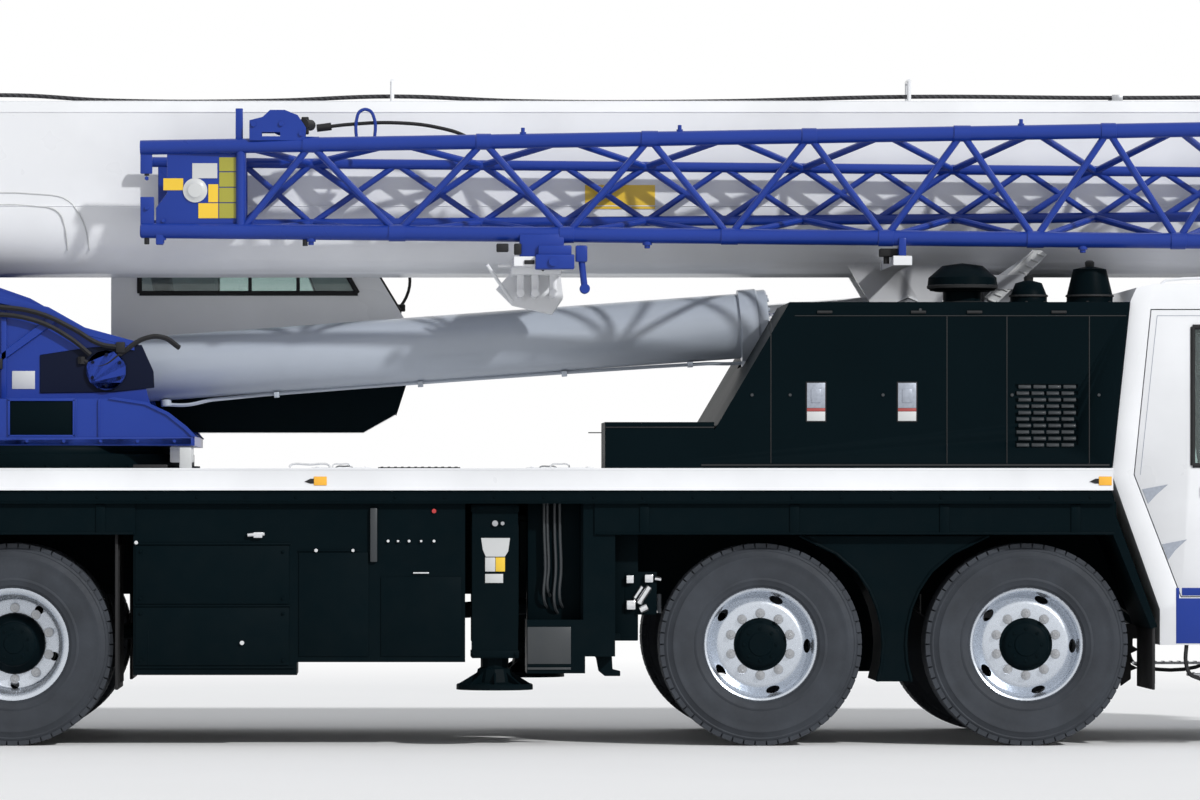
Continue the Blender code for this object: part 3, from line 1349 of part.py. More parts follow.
def jib_nodes():
    """The nodes on the first chord of a face, and the midpoints between them on the second."""
    nodes = []
    for k in range(JIB_NODES):
        nodes.append(JIB_FIRST_NODE + k * JIB_FIRST_BAY - k * (k - 1) / 2 * JIB_BAY_STEP)
    middles = [JIB_FRAME_X]
    middles += [(a + b) / 2 for a, b in zip(nodes, nodes[1:])]
    return nodes, middles


def jib():
    """The lattice jib, four tapering chords laced on four faces, stowed along the boom."""
    meshes = []
    for chord, (_, _, _, _, radius) in JIB_CHORDS.items():
        meshes.append(bar(chord_at(chord, JIB_TIP_X), chord_at(chord, JIB_ROOT_X), radius, 8))
    nodes, middles = jib_nodes()
    for first, second in JIB_FACES:
        for k, x in enumerate(nodes):
            here = chord_at(first, x)
            meshes.append(bar(here, chord_at(second, middles[k]), JIB_LACE_RADIUS, 4))
            if k + 1 < len(middles):
                meshes.append(bar(here, chord_at(second, middles[k + 1]), JIB_LACE_RADIUS, 4))
    for x in (JIB_FRAME_X, JIB_ROOT_X - 0.060):
        corners = [chord_at(chord, x) for chord in JIB_SQUARE]
        for start, end in zip(corners, corners[1:] + corners[:1]):
            meshes.append(bar(start, end, 0.026, 6))
    plate = [(0.700, 2.740), (1.190, 2.745), (1.190, 3.240)]
    plate += [(0.760, 3.240), (0.760, 2.980), (0.700, 2.900)]
    meshes.append(prism("y", plate, -0.765, -0.745))
    inner_plate = [(0.700, 2.790), (1.190, 2.800), (1.190, 3.180), (0.700, 3.180)]
    meshes.append(prism("y", inner_plate, -0.460, -0.440))
    meshes.append(drum("y", (0.920, 0, 2.990), 0.060, -0.790, -0.430, 12))
    meshes.append(box((1.130, 1.170), (-0.775, -0.735), (3.200, 3.440)))
    cheek = [(1.208, 3.250), (1.510, 3.250), (1.516, 3.330), (1.470, 3.400), (1.400, 3.428)]
    cheek += [(1.320, 3.428), (1.280, 3.390), (1.208, 3.372)]
    for low in (-0.828, -0.704):
        meshes.append(prism("y", cheek, low, low + 0.012))
    meshes.append(drum("y", (1.380, 0, 3.352), 0.058, -0.805, -0.715, 12))
    for x in (1.230, 1.380, 1.490):
        meshes.append(bar((x, -0.840, 3.345), (x, -0.680, 3.345), 0.014, 6))
    for x in JIB_PINS:
        top = chord_at("outer_top", x)
        meshes.append(bar(top, top + Vector((0, 0, 0.070)), 0.014, 6))
    for x in JIB_FEET:
        low = chord_at("outer_bottom", x)
        meshes.append(bar(low, low - Vector((0, 0, 0.068)), 0.018, 6))
    hoop = [(1.791, 3.230), (1.791, 3.440), (1.883, 3.440), (1.883, 3.230)]
    for start, end in zip(hoop, hoop[1:]):
        meshes.append(bar((start[0], -0.700, start[1]), (end[0], -0.700, end[1]), 0.010, 6))
    for x, length in JIB_BRACKETS:
        low = chord_at("outer_bottom", x)
        meshes.append(
            box(
                (x - length / 2 + 0.030, x + length / 2 - 0.030),
                (low.y - 0.050, low.y + 0.050),
                (JIB_SEAT_Z, low.z),
            )
        )
    piece("lattice_jib", "blue_paint", meshes)


def hook_block():
    """Rope falls down from the head sheaves to a sheave block with its hook."""
    x, top = HEAD_SHEAVE_X, HEAD_SHEAVE_Z
    z = top - HEAD_SHEAVE_RADIUS - HOOK_DROP
    lead = HEAD_SHEAVE_RADIUS + ROPE_RADIUS + SEAT
    meshes = []
    for side in (-1, 1):
        y = side * SHEAVE_Y
        meshes.append(drum("y", (x, y, z), HOOK_SHEAVE_RADIUS, -0.024, 0.024, 12))
        for along in (-1, 1):
            start = (x + along * HOOK_SHEAVE_RADIUS, y, z)
            meshes.append(bar(start, (x + along * lead, y, top), ROPE_RADIUS, 6))
        cheek = [(x - 0.120, z + 0.120), (x + 0.120, z + 0.120), (x + 0.190, z), (x + 0.110, z - 0.260)]
        cheek += [(x - 0.110, z - 0.260), (x - 0.190, z)]
        meshes.append(sided(side, "y", cheek, 0.120, 0.150))
    meshes.append(drum("y", (x, 0, z), 0.040, -0.160, 0.160, 10))
    meshes.append(box((x - 0.080, x + 0.080), (-0.130, 0.130), (z - 0.270, z - 0.190)))
    hook = arc((x + 0.020, z - 0.470), 0.120, 100, -150, 7)
    hook += arc((x + 0.020, z - 0.460), 0.065, -150, 100, 7)
    meshes.append(prism("y", hook, -0.040, 0.040))
    meshes.append(box((x - 0.035, x + 0.035), (-0.035, 0.035), (z - 0.400, z - 0.250)))
    piece("hook_block", "blue_paint", meshes, pivot=(x, 0, HEAD_SHEAVE_Z))


def main():
    clear_scene()
    for name, x, kind in AXLES:
        for side_name, side in SIDES:
            if kind == "steered":
                front_wheel(name, x, side_name, side)
                knuckle(name, x, side_name, side)
            else:
                twin_wheel(name, x, side_name, side)
        if kind == "steered":
            front_axle(name, x)
    rear_bogie()
    chassis_frame()
    deck()
    engine_block()
    engine_hood()
    boom_rest()
    for side_name, side in SIDES:
        side_gear(side_name, side)
        carrier_door(side_name, side)
        for pair, pair_x in OUTRIGGERS:
            outrigger(pair, side_name, side, outrigger_places(pair_x)[side_name])
    slew_ring()
    carrier_cab()
    carrier_interior()
    bumper()
    superstructure()
    counterweight()
    winch()
    operator_cab()
    operator_door()
    operator_seat()
    boom_base()
    for index, (name, front_lead, rear_lead) in enumerate(SECTIONS, start=1):
        boom_section(index, name, front_lead, rear_lead)
    lift_cylinder()
    jib()
    hook_block()


main()
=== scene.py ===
"""Looks of the truck crane: finishes for the solid model's nodes, and the finer pieces that dress them.

Units are metres, +X is forward, +Y is the vehicle's left, +Z is up, and the origin lies on the ground.
"""

import json
import math

import bpy
from mathutils import Matrix, Vector


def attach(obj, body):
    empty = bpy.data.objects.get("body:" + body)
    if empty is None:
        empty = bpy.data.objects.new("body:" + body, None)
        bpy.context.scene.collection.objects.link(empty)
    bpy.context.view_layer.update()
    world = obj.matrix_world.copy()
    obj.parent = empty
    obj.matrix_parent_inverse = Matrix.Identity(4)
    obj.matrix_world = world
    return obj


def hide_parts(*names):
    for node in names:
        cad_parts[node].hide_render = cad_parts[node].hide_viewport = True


bl_info = {
    "name": "Truck crane dressing",
    "version": (1, 0, 0),
    "blender": (4, 5, 0),
    "location": "View3D > Sidebar > Crane",
    "description": "Finishes and fine pieces for a truck crane",
    "category": "Object",
}

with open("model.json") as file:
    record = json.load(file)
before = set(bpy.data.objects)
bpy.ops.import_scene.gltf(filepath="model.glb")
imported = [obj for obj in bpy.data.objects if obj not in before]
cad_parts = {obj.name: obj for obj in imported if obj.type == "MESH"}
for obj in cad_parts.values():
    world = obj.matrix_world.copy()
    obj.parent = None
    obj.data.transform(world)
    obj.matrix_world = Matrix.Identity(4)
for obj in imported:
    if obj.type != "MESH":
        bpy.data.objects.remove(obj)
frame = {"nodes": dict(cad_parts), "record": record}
NODES = frame["nodes"]
BODY_OF = {node: body for body, nodes in frame["record"]["behaviour"]["bodies"].items() for node in nodes}
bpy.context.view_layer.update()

SLEW_X = -2.8
WHEEL_Z = 0.542
FRONT_AXLES = (("1", 2.574), ("2", 1.152))
REAR_AXLES = (("3", -2.851), ("4", -4.201))
SIDES = (("right", -1), ("left", 1))


# Finishes


class Socket:
    """One output of a material's node, on which plus, minus and times build the sums."""

    def __init__(self, finish, socket):
        self.finish = finish
        self.socket = socket

    def maths(self, operation, first, second):
        return self.finish.add("ShaderNodeMath", {"operation": operation}, {0: first, 1: second})

    def __add__(self, other):
        return self.maths("ADD", self, other)

    def __mul__(self, other):
        return self.maths("MULTIPLY", self, other)

    def __sub__(self, other):
        return self.maths("SUBTRACT", self, other)

    def __rsub__(self, other):
        return self.maths("SUBTRACT", other, self)

    __radd__ = __add__
    __rmul__ = __mul__


class Finish:
    """A material under construction, with the object's own coordinates at hand."""

    def __init__(self, name):
        plain = bpy.data.materials.get(name)
        if plain is not None:
            plain.name = name + "_plain"
        self.material = bpy.data.materials.new(name)
        self.material.use_nodes = True
        self.tree = self.material.node_tree
        self.shader = self.tree.nodes["Principled BSDF"]
        self.place = self.add("ShaderNodeTexCoord", {}, {}, "Object")

    def add(self, kind, settings, sockets, output=0):
        node = self.tree.nodes.new(kind)
        for key, value in settings.items():
            setattr(node, key, value)
        for key, value in sockets.items():
            if isinstance(value, Socket):
                self.tree.links.new(value.socket, node.inputs[key])
            else:
                node.inputs[key].default_value = value
        return Socket(self, node.outputs[output])

    def set(self, **sockets):
        """Values and links for the shader's own sockets, their names written with low lines for spaces."""
        for key, value in sockets.items():
            name = key.replace("_", " ")
            if isinstance(value, Socket):
                self.tree.links.new(value.socket, self.shader.inputs[name])
            else:
                self.shader.inputs[name].default_value = value

    def noise(self, scale, detail=3.0, stretch=(1.0, 1.0, 1.0)):
        place = self.add("ShaderNodeMapping", {}, {"Vector": self.place, "Scale": stretch})
        return self.add("ShaderNodeTexNoise", {}, {"Vector": place, "Scale": scale, "Detail": detail})

    def ramp(self, value, low, high):
        """The value spread so that low becomes 0 and high becomes 1."""
        return self.add("ShaderNodeMapRange", {}, {"Value": value, "From Min": low, "From Max": high})

    def blend(self, share, first, second):
        node = self.tree.nodes.new("ShaderNodeMix")
        node.data_type = "RGBA"
        for socket, value in ((node.inputs[0], share), (node.inputs[6], first), (node.inputs[7], second)):
            if isinstance(value, Socket):
                self.tree.links.new(value.socket, socket)
            else:
                socket.default_value = value
        return Socket(self, node.outputs[2])

    def relief(self, height, strength, distance=0.002):
        self.set(Normal=self.add("ShaderNodeBump", {},
                                 {"Height": height, "Strength": strength, "Distance": distance}))

    def height(self):
        """How high above the ground each point lies."""
        return self.add("ShaderNodeSeparateXYZ", {}, {"Vector": self.place}, "Z")


def shade(colour, factor=1.0):
    return tuple(min(1.0, channel * factor) for channel in colour[:3]) + (1.0,)


def enamel(name, colour, roughness=0.3, dust=0.1, coat=0.25, peel=0.05, gloss=0.5):
    """Sprayed paint: a fine orange peel, faint clouding, and road dust that gathers towards the ground."""
    finish = Finish(name)
    clouds = finish.noise(1.7, 4.0)
    dirt = finish.noise(9.0, 6.0)
    low = finish.ramp(finish.height(), 2.2, 0.2)
    share = finish.ramp(dirt * (low + 0.25), 0.3, 0.95) * dust
    base = finish.blend(finish.ramp(clouds, 0.35, 0.65), shade(colour, 0.93), shade(colour, 1.03))
    dusty = (0.3, 0.27, 0.23, 1.0)
    finish.set(
        Base_Color=finish.blend(share, base, dusty),
        Roughness=finish.ramp(clouds, 0.2, 0.8) * 0.08 + share * 0.5 + (roughness - 0.04),
        Coat_Weight=coat,
        Coat_Roughness=0.08,
        Specular_IOR_Level=gloss,
    )
    finish.relief(finish.noise(260.0, 1.0) + finish.noise(24.0, 2.0) * 0.6, peel)
    return finish.material


def rubber(name, colour, wear=0.5):
    finish = Finish(name)
    grain = finish.noise(70.0, 5.0)
    patches = finish.noise(6.0, 4.0)
    base = finish.blend(finish.ramp(patches, 0.35, 0.7) * wear, shade(colour), shade(colour, 1.9))
    finish.set(Base_Color=base, Roughness=finish.ramp(grain, 0.2, 0.8) * 0.15 + 0.62, Specular_IOR_Level=0.3)
    finish.relief(grain, 0.25, 0.001)
    return finish.material


def metal(name, colour, roughness=0.32, stretch=(1.0, 1.0, 1.0), metallic=0.9, patches=0.12):
    finish = Finish(name)
    streaks = finish.noise(60.0, 4.0, stretch)
    base = finish.blend(finish.ramp(streaks, 0.3, 0.7), shade(colour, 1 - patches),
                        shade(colour, 1 + patches / 2))
    finish.set(
        Base_Color=base,
        Metallic=metallic,
        Roughness=finish.ramp(streaks, 0.2, 0.8) * 0.16 + (roughness - 0.08),
    )
    finish.relief(streaks, 0.06, 0.001)
    return finish.material


def moulded(name, colour, roughness=0.6):
    finish = Finish(name)
    grain = finish.noise(340.0, 2.0)
    clouds = finish.noise(3.0, 3.0)
    base = finish.blend(finish.ramp(clouds, 0.3, 0.7), shade(colour, 0.9), shade(colour, 1.15))
    finish.set(Base_Color=base, Roughness=finish.ramp(grain, 0.2, 0.8) * 0.12 + (roughness - 0.06))
    finish.relief(grain, 0.2, 0.001)
    return finish.material


def woven(name, colour):
    """Seat cloth: fine threads that cross, with soft clouding."""
    finish = Finish(name)
    warp = finish.add("ShaderNodeTexWave", {"bands_direction": "Y"}, {"Vector": finish.place, "Scale": 150.0})
    weft = finish.add("ShaderNodeTexWave", {"bands_direction": "Z"}, {"Vector": finish.place, "Scale": 150.0})
    threads = warp * weft
    clouds = finish.noise(7.0, 4.0)
    base = finish.blend(threads * 0.7, shade(colour, 0.7), shade(colour, 1.5))
    finish.set(Base_Color=base, Roughness=clouds * 0.15 + 0.8, Sheen_Weight=0.3)
    finish.relief(threads, 0.4, 0.001)
    return finish.material


def clear_glass(name, tint, roughness=0.02):
    finish = Finish(name)
    film = finish.ramp(finish.noise(5.0, 5.0), 0.45, 0.9)
    finish.set(
        Base_Color=finish.blend(film * 0.2, shade(tint), shade(tint, 0.85)),
        Roughness=film * 0.05 + roughness,
        Transmission_Weight=0.92,
        IOR=1.45,
    )
    return finish.material


def lens(name, colour):
    """A lamp's moulded lens, ribbed upright."""
    finish = Finish(name)
    ribs = finish.add("ShaderNodeTexWave", {"bands_direction": "Y"}, {"Vector": finish.place, "Scale": 30.0})
    finish.set(
        Base_Color=finish.blend(ribs, shade(colour, 0.8), shade(colour, 1.15)),
        Roughness=ribs * 0.05 + 0.1,
        Coat_Weight=0.6,
    )
    finish.relief(ribs, 0.3, 0.002)
    return finish.material


def wire_rope(name, colour):
    """Twisted strands that cross the rope at a slant."""
    finish = Finish(name)
    strands = finish.add(
        "ShaderNodeTexWave",
        {"bands_direction": "DIAGONAL", "wave_profile": "SIN"},
        {"Vector": finish.place, "Scale": 18.0},
    )
    grease = finish.noise(4.0, 3.0)
    base = finish.blend(strands, shade(colour, 0.5), shade(colour, 1.3))
    finish.set(Base_Color=base, Metallic=0.6, Roughness=grease * 0.2 + 0.4)
    finish.relief(strands, 0.8, 0.004)
    return finish.material


def chequer_black(name, colour):
    """Black undercarriage paint with dust lying in it."""
    return enamel(name, colour, roughness=0.45, dust=0.006, coat=0.0, peel=0.08, gloss=0.02)


def tread_plate(name, colour):
    """Painted deck plate with raised lozenges that cross each other, and dust between them."""
    finish = Finish(name)
    first = finish.add("ShaderNodeMapping", {},
                       {"Vector": finish.place, "Rotation": (0, 0, 0.785), "Scale": (34, 11, 11)})
    second = finish.add("ShaderNodeMapping", {},
                        {"Vector": finish.place, "Rotation": (0, 0, -0.785), "Scale": (34, 11, 11)})
    one = finish.add("ShaderNodeTexVoronoi", {}, {"Vector": first, "Scale": 1.0, "Randomness": 0.0},
                     "Distance")
    two = finish.add("ShaderNodeTexVoronoi", {}, {"Vector": second, "Scale": 1.0, "Randomness": 0.0},
                     "Distance")
    raised = finish.ramp(one, 0.26, 0.16) + finish.ramp(two, 0.26, 0.16)
    dirt = finish.ramp(finish.noise(5.0, 6.0), 0.35, 0.75)
    grey = (0.36, 0.35, 0.33, 1.0)
    finish.set(
        Base_Color=finish.blend(dirt * 0.16, shade(colour), grey),
        Roughness=dirt * 0.2 + 0.38,
        Specular_IOR_Level=0.4,
    )
    finish.relief(raised, 0.5, 0.003)
    return finish.material


def make_finishes(colours):
    white, blue, black = colours.white, colours.blue, colours.black
    return {
        "white_paint": enamel("white_paint", white, 0.3, 0.05),
        "blue_paint": enamel("blue_paint", blue, 0.3, 0.02, coat=0.08, gloss=0.22),
        "black_paint": chequer_black("black_paint", black),
        # grey_paint is the white lift cylinder darkened to blue-grey: painted shade, which the winch motor shares
        "grey_paint": enamel("grey_paint", colours.grey, 0.34, 0.05),
        "tyre_rubber": rubber("tyre_rubber", (0.026, 0.03, 0.037)),
        "rim_silver": metal("rim_silver", (0.56, 0.6, 0.66), 0.27, metallic=0.8, patches=0.03),
        "steel": metal("steel", (0.42, 0.43, 0.45)),
        "glass": clear_glass("glass", (0.55, 0.66, 0.64)),
        "trim": moulded("trim", (0.035, 0.036, 0.04)),
        "black_rubber": rubber("black_rubber", (0.012, 0.012, 0.013), 0.2),
        "chrome": metal("chrome", (0.75, 0.76, 0.78), 0.14),
        "pale_plate": enamel("pale_plate", (0.55, 0.56, 0.56), 0.4, 0.02),
        "yellow_paint": enamel("yellow_paint", (0.8, 0.52, 0.03), 0.35, 0.03),
        "olive_paint": enamel("olive_paint", (0.33, 0.31, 0.03), 0.4, 0.03),
        "light_blue_paint": enamel("light_blue_paint", (0.1, 0.38, 0.75), 0.35, 0.02),
        # The navy finish is the platform's blue darkened: painted shade where the side plates lie under the jib and
        # boom
        "navy_painted_shade": enamel("navy_painted_shade", (0.004, 0.007, 0.022), 0.4, 0.02, coat=0.0, gloss=0.1),
        "amber_lens": lens("amber_lens", (0.85, 0.42, 0.02)),
        "red_lens": lens("red_lens", (0.55, 0.012, 0.012)),
        "clear_lens": lens("clear_lens", (0.72, 0.76, 0.8)),
        "rope_steel": wire_rope("rope_steel", (0.05, 0.05, 0.055)),
        "inside_grey": moulded("inside_grey", (0.11, 0.11, 0.115), 0.7),
        "seat_cloth": woven("seat_cloth", (0.045, 0.052, 0.085)),
        "deck_white": tread_plate("deck_white", shade(white, 0.95)),
        "dark_grey": enamel("dark_grey", (0.035, 0.04, 0.044), 0.4, 0.03, coat=0.1, gloss=0.3),
        "seam_black": moulded("seam_black", (0.006, 0.007, 0.008), 0.75),
        "latch_grey": metal("latch_grey", (0.34, 0.37, 0.43), 0.36, metallic=0.35),
        "dull_red": enamel("dull_red", (0.32, 0.05, 0.045), 0.45, 0.03),
        # The boom rest's finish is its white paint darkened to grey: painted shade
        "rest_white_in_painted_shade": enamel("rest_white_in_painted_shade", (0.3, 0.31, 0.33), 0.4, 0.05),
    }


# Modelling


def deselect():
    if bpy.context.mode != "OBJECT":
        bpy.ops.object.mode_set(mode="OBJECT")
    bpy.ops.object.select_all(action="DESELECT")


def choose(*items):
    deselect()
    for item in items:
        item.select_set(True)
    bpy.context.view_layer.objects.active = items[-1]
    return items[-1]


def settle(item):
    """The object's place, turn and size go into its mesh."""
    choose(item)
    bpy.ops.object.transform_apply(location=True, rotation=True, scale=True)
    return item


def edit(item, *steps):
    """Enters edit mode with everything selected and runs each step."""
    choose(item)
    bpy.ops.object.mode_set(mode="EDIT")
    bpy.ops.mesh.select_mode(type="VERT")
    bpy.ops.mesh.select_all(action="SELECT")
    for step in steps:
        step()
    bpy.ops.object.mode_set(mode="OBJECT")
    return item


def outward():
    bpy.ops.mesh.select_all(action="SELECT")
    bpy.ops.mesh.remove_doubles(threshold=0.00002)
    bpy.ops.mesh.delete_loose()
    bpy.ops.mesh.select_all(action="SELECT")
    bpy.ops.mesh.normals_make_consistent(inside=False)


def soften(width, segments=2):
    return lambda: bpy.ops.mesh.bevel(offset=width, segments=segments, affect="EDGES")


def block(low, high, edge=0.004, segments=2):
    """A box with softened edges between two corners."""
    low, high = Vector(low), Vector(high)
    deselect()
    bpy.ops.mesh.primitive_cube_add(size=1, location=(low + high) / 2)
    item = bpy.context.active_object
    item.scale = high - low
    settle(item)
    edge = min(edge, 0.45 * min(high - low))
    return edit(item, soften(edge, segments))


def ring_of(points):
    """A closed loop of points, filled as one face."""
    deselect()
    bpy.ops.mesh.primitive_circle_add(vertices=len(points), fill_type="NGON")
    item = bpy.context.active_object
    for vertex, point in zip(item.data.vertices, points):
        vertex.co = point
    return item


def plate(outline, axis, low, high, edge=0.004, segments=1):
    """An outline extruded along an axis from low to high. Its pairs are (y, z), (x, z) or (x, y)."""
    places = {"x": lambda a, b: (low, a, b), "y": lambda a, b: (a, low, b), "z": lambda a, b: (a, b, low)}
    way = {"x": Vector((1, 0, 0)), "y": Vector((0, 1, 0)), "z": Vector((0, 0, 1))}[axis] * (high - low)
    item = ring_of([places[axis](a, b) for a, b in outline])
    steps = [lambda: bpy.ops.mesh.extrude_region_move(TRANSFORM_OT_translate={"value": way}), outward]
    if edge:
        steps.append(soften(edge, segments))
    return edit(item, *steps)


def turned(profile, axis, centre, steps=48):
    """A closed profile of (radius, along) spun round an axis through the centre."""
    centre = Vector(centre)
    places = {
        "x": lambda r, a: centre + Vector((a, 0, r)),
        "y": lambda r, a: centre + Vector((0, a, r)),
        "z": lambda r, a: centre + Vector((r, 0, a)),
    }
    axes = {"x": (1, 0, 0), "y": (0, 1, 0), "z": (0, 0, 1)}
    item = ring_of([places[axis](r, a) for r, a in profile])
    return edit(
        item,
        lambda: bpy.ops.mesh.delete(type="ONLY_FACE"),
        lambda: bpy.ops.mesh.select_all(action="SELECT"),
        lambda: bpy.ops.mesh.spin(steps=steps, angle=math.tau, center=centre, axis=axes[axis]),
        outward,
    )


def repeated_round(item, count, axis, centre):
    """The piece copied round an axis inside its own mesh."""
    axes = {"x": (1, 0, 0), "y": (0, 1, 0), "z": (0, 0, 1)}
    return edit(
        item,
        lambda: bpy.ops.mesh.spin(
            steps=count - 1, dupli=True, angle=math.tau * (count - 1) / count, center=centre, axis=axes[axis]
        ),
    )


def rod(start, end, radius, sides=12, edge=0.0):
    """A round bar between two points, its ends softened."""
    start, end = Vector(start), Vector(end)
    line = end - start
    deselect()
    bpy.ops.mesh.primitive_cylinder_add(
        vertices=sides,
        radius=radius,
        depth=line.length,
        location=(start + end) / 2,
        rotation=line.to_track_quat("Z", "Y").to_euler(),
    )
    item = settle(bpy.context.active_object)
    edge = edge or radius * 0.15
    for polygon in item.data.polygons:
        polygon.select = len(polygon.vertices) > 4
    choose(item)
    bpy.ops.object.mode_set(mode="EDIT")
    bpy.ops.mesh.select_mode(type="FACE")
    bpy.ops.mesh.region_to_loop()
    bpy.ops.mesh.bevel(offset=edge, segments=1, affect="EDGES")
    bpy.ops.object.mode_set(mode="OBJECT")
    return item


def hose(points, radius, sides=10, turns=6):
    """A bent tube through the points, made from a smooth curve."""
    deselect()
    bpy.ops.curve.primitive_bezier_curve_add()
    item = bpy.context.active_object
    curve = item.data
    spline = curve.splines[0]
    spline.bezier_points.add(len(points) - 2)
    for knot, point in zip(spline.bezier_points, points):
        knot.co = point
        knot.handle_left_type = knot.handle_right_type = "AUTO"
    item.location = (0, 0, 0)
    curve.bevel_depth = radius
    curve.bevel_resolution = max(1, sides // 4 - 1)
    curve.resolution_u = turns
    curve.use_fill_caps = True
    choose(item)
    bpy.ops.object.convert(target="MESH")
    return edit(bpy.context.active_object, outward)


def copied(item, move=(0, 0, 0), turn=None):
    """A copy with its own mesh, moved or turned about the origin."""
    choose(item)
    bpy.ops.object.duplicate(linked=False)
    twin = bpy.context.active_object
    twin.matrix_world = Matrix.Translation(move) @ (turn or Matrix.Identity(4)) @ twin.matrix_world
    return settle(twin)


def mirrored(item):
    """A copy on the other side of the machine."""
    choose(item)
    bpy.ops.object.duplicate(linked=False)
    twin = bpy.context.active_object
    twin.scale = (1, -1, 1)
    settle(twin)
    return edit(twin, lambda: bpy.ops.mesh.normals_make_consistent(inside=False))


def joined(items):
    choose(*items)
    if len(items) > 1:
        bpy.ops.object.join()
    return bpy.context.active_object


def done(items, name, finish, body, smooth=35):
    """The pieces made one, named, given a finish and a body to ride on."""
    item = joined(items if isinstance(items, list) else [items])
    settle(item)
    item.name = name
    item.data.name = name
    item.data.materials.clear()
    item.data.materials.append(bpy.data.materials[finish])
    choose(item)
    bpy.ops.object.shade_smooth_by_angle(angle=math.radians(smooth))
    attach(item, body)
    return item


def smooth_copy(node, finish, angle=32):
    """The node's own shape, its triangles merged and its curves shaded smooth, shown in its place."""
    source = NODES[node]
    item = bpy.data.objects.new(node + "_skin", source.data.copy())
    bpy.context.scene.collection.objects.link(item)
    edit(
        item,
        lambda: bpy.ops.mesh.remove_doubles(threshold=0.00005),
        lambda: bpy.ops.mesh.dissolve_limited(angle_limit=math.radians(0.5)),
    )
    item = done([item], node + "_skin", finish, BODY_OF[node], smooth=angle)
    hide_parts(node)
    return item


# Pieces, one operator for each group


class CRANE_PG_colours(bpy.types.PropertyGroup):
    """Colours of the machine's main paints."""

    white: bpy.props.FloatVectorProperty(
        name="White", description="Boom, deck and cabs", subtype="COLOR", default=(0.8, 0.81, 0.83)
    )
    blue: bpy.props.FloatVectorProperty(
        name="Blue", description="Platform, jib and hook", subtype="COLOR", default=(0.012, 0.04, 0.27)
    )
    black: bpy.props.FloatVectorProperty(
        name="Black", description="Hood, boxes and underframe", subtype="COLOR", default=(0.002, 0.006, 0.008)
    )
    # The grey default is the lift cylinder's white paint darkened to blue-grey as painted shade
    grey: bpy.props.FloatVectorProperty(
        name="Grey", description="Lift cylinder and boom rest", subtype="COLOR", default=(0.4, 0.44, 0.5)
    )


class CRANE_PG_sizes(bpy.types.PropertyGroup):
    """Sizes that a user may change."""

    tread_blocks: bpy.props.IntProperty(
        name="Tread blocks", description="Blocks round each shoulder of a tyre", default=54, min=12, max=90
    )
    rope: bpy.props.FloatProperty(
        name="Rope", description="Radius of the hoist rope", default=0.013, unit="LENGTH", subtype="DISTANCE"
    )


class CRANE_OT_stage(bpy.types.Operator):
    """Floor, soft lights and the camera."""

    bl_idname = "crane.stage"
    bl_label = "Stage"

    def execute(self, context):
        scene = context.scene
        scene.view_settings.view_transform = "Standard"
        deselect()
        bpy.ops.mesh.primitive_plane_add(size=240, location=(0, 0, 0))
        floor = edit(
            bpy.context.active_object,
            lambda: bpy.ops.mesh.subdivide(number_cuts=3),
        )
        floor.name = "floor"
        floor.data.materials.append(floor_finish())
        light_world(scene)
        deselect()
        bpy.ops.object.light_add(type="SUN", rotation=(math.radians(58), 0, math.radians(39)))
        sun = bpy.context.active_object
        sun.name = "key_light"
        sun.data.energy = 2.5
        sun.data.angle = math.radians(2.5)
        bpy.ops.object.camera_add(location=(-0.884, -33.25, 1.315), rotation=(math.pi / 2, 0, 0))
        camera = bpy.context.active_object
        camera.name = "photo_camera"
        camera.data.sensor_width = 36.0
        camera.data.lens = 179.6
        camera.data.shift_x = 0.1833
        camera.data.shift_y = 0.0833
        camera.data.clip_end = 500.0
        scene.camera = camera
        return {"FINISHED"}


def floor_finish():
    """Pale ground that keeps the shadows near the machine and fades to white beyond them."""
    finish = Finish("floor")
    grain = finish.noise(0.7, 4.0)
    finish.set(
        Base_Color=finish.blend(grain, (0.88, 0.88, 0.88, 1.0), (0.91, 0.91, 0.91, 1.0)),
        Roughness=0.9,
    )
    far = finish.add("ShaderNodeVectorMath", {"operation": "LENGTH"}, {0: finish.place}, "Value")
    seen = finish.add("ShaderNodeLightPath", {}, {}, "Is Camera Ray")
    mirror = finish.add("ShaderNodeLightPath", {}, {}, "Is Glossy Ray")
    through = finish.add("ShaderNodeLightPath", {}, {}, "Is Transmission Ray")
    rays = finish.add("ShaderNodeMath", {"operation": "ADD", "use_clamp": True},
                      {0: seen, 1: mirror + through})
    glow = finish.add("ShaderNodeEmission", {}, {"Color": (1, 1, 1, 1), "Strength": 1.0})
    share = finish.ramp(far, 9.0, 16.0) * rays
    mix = finish.add("ShaderNodeMixShader", {}, {0: share})
    tree = finish.tree
    tree.links.new(finish.shader.outputs[0], mix.socket.node.inputs[1])
    tree.links.new(glow.socket, mix.socket.node.inputs[2])
    tree.links.new(mix.socket, tree.nodes["Material Output"].inputs["Surface"])
    return finish.material


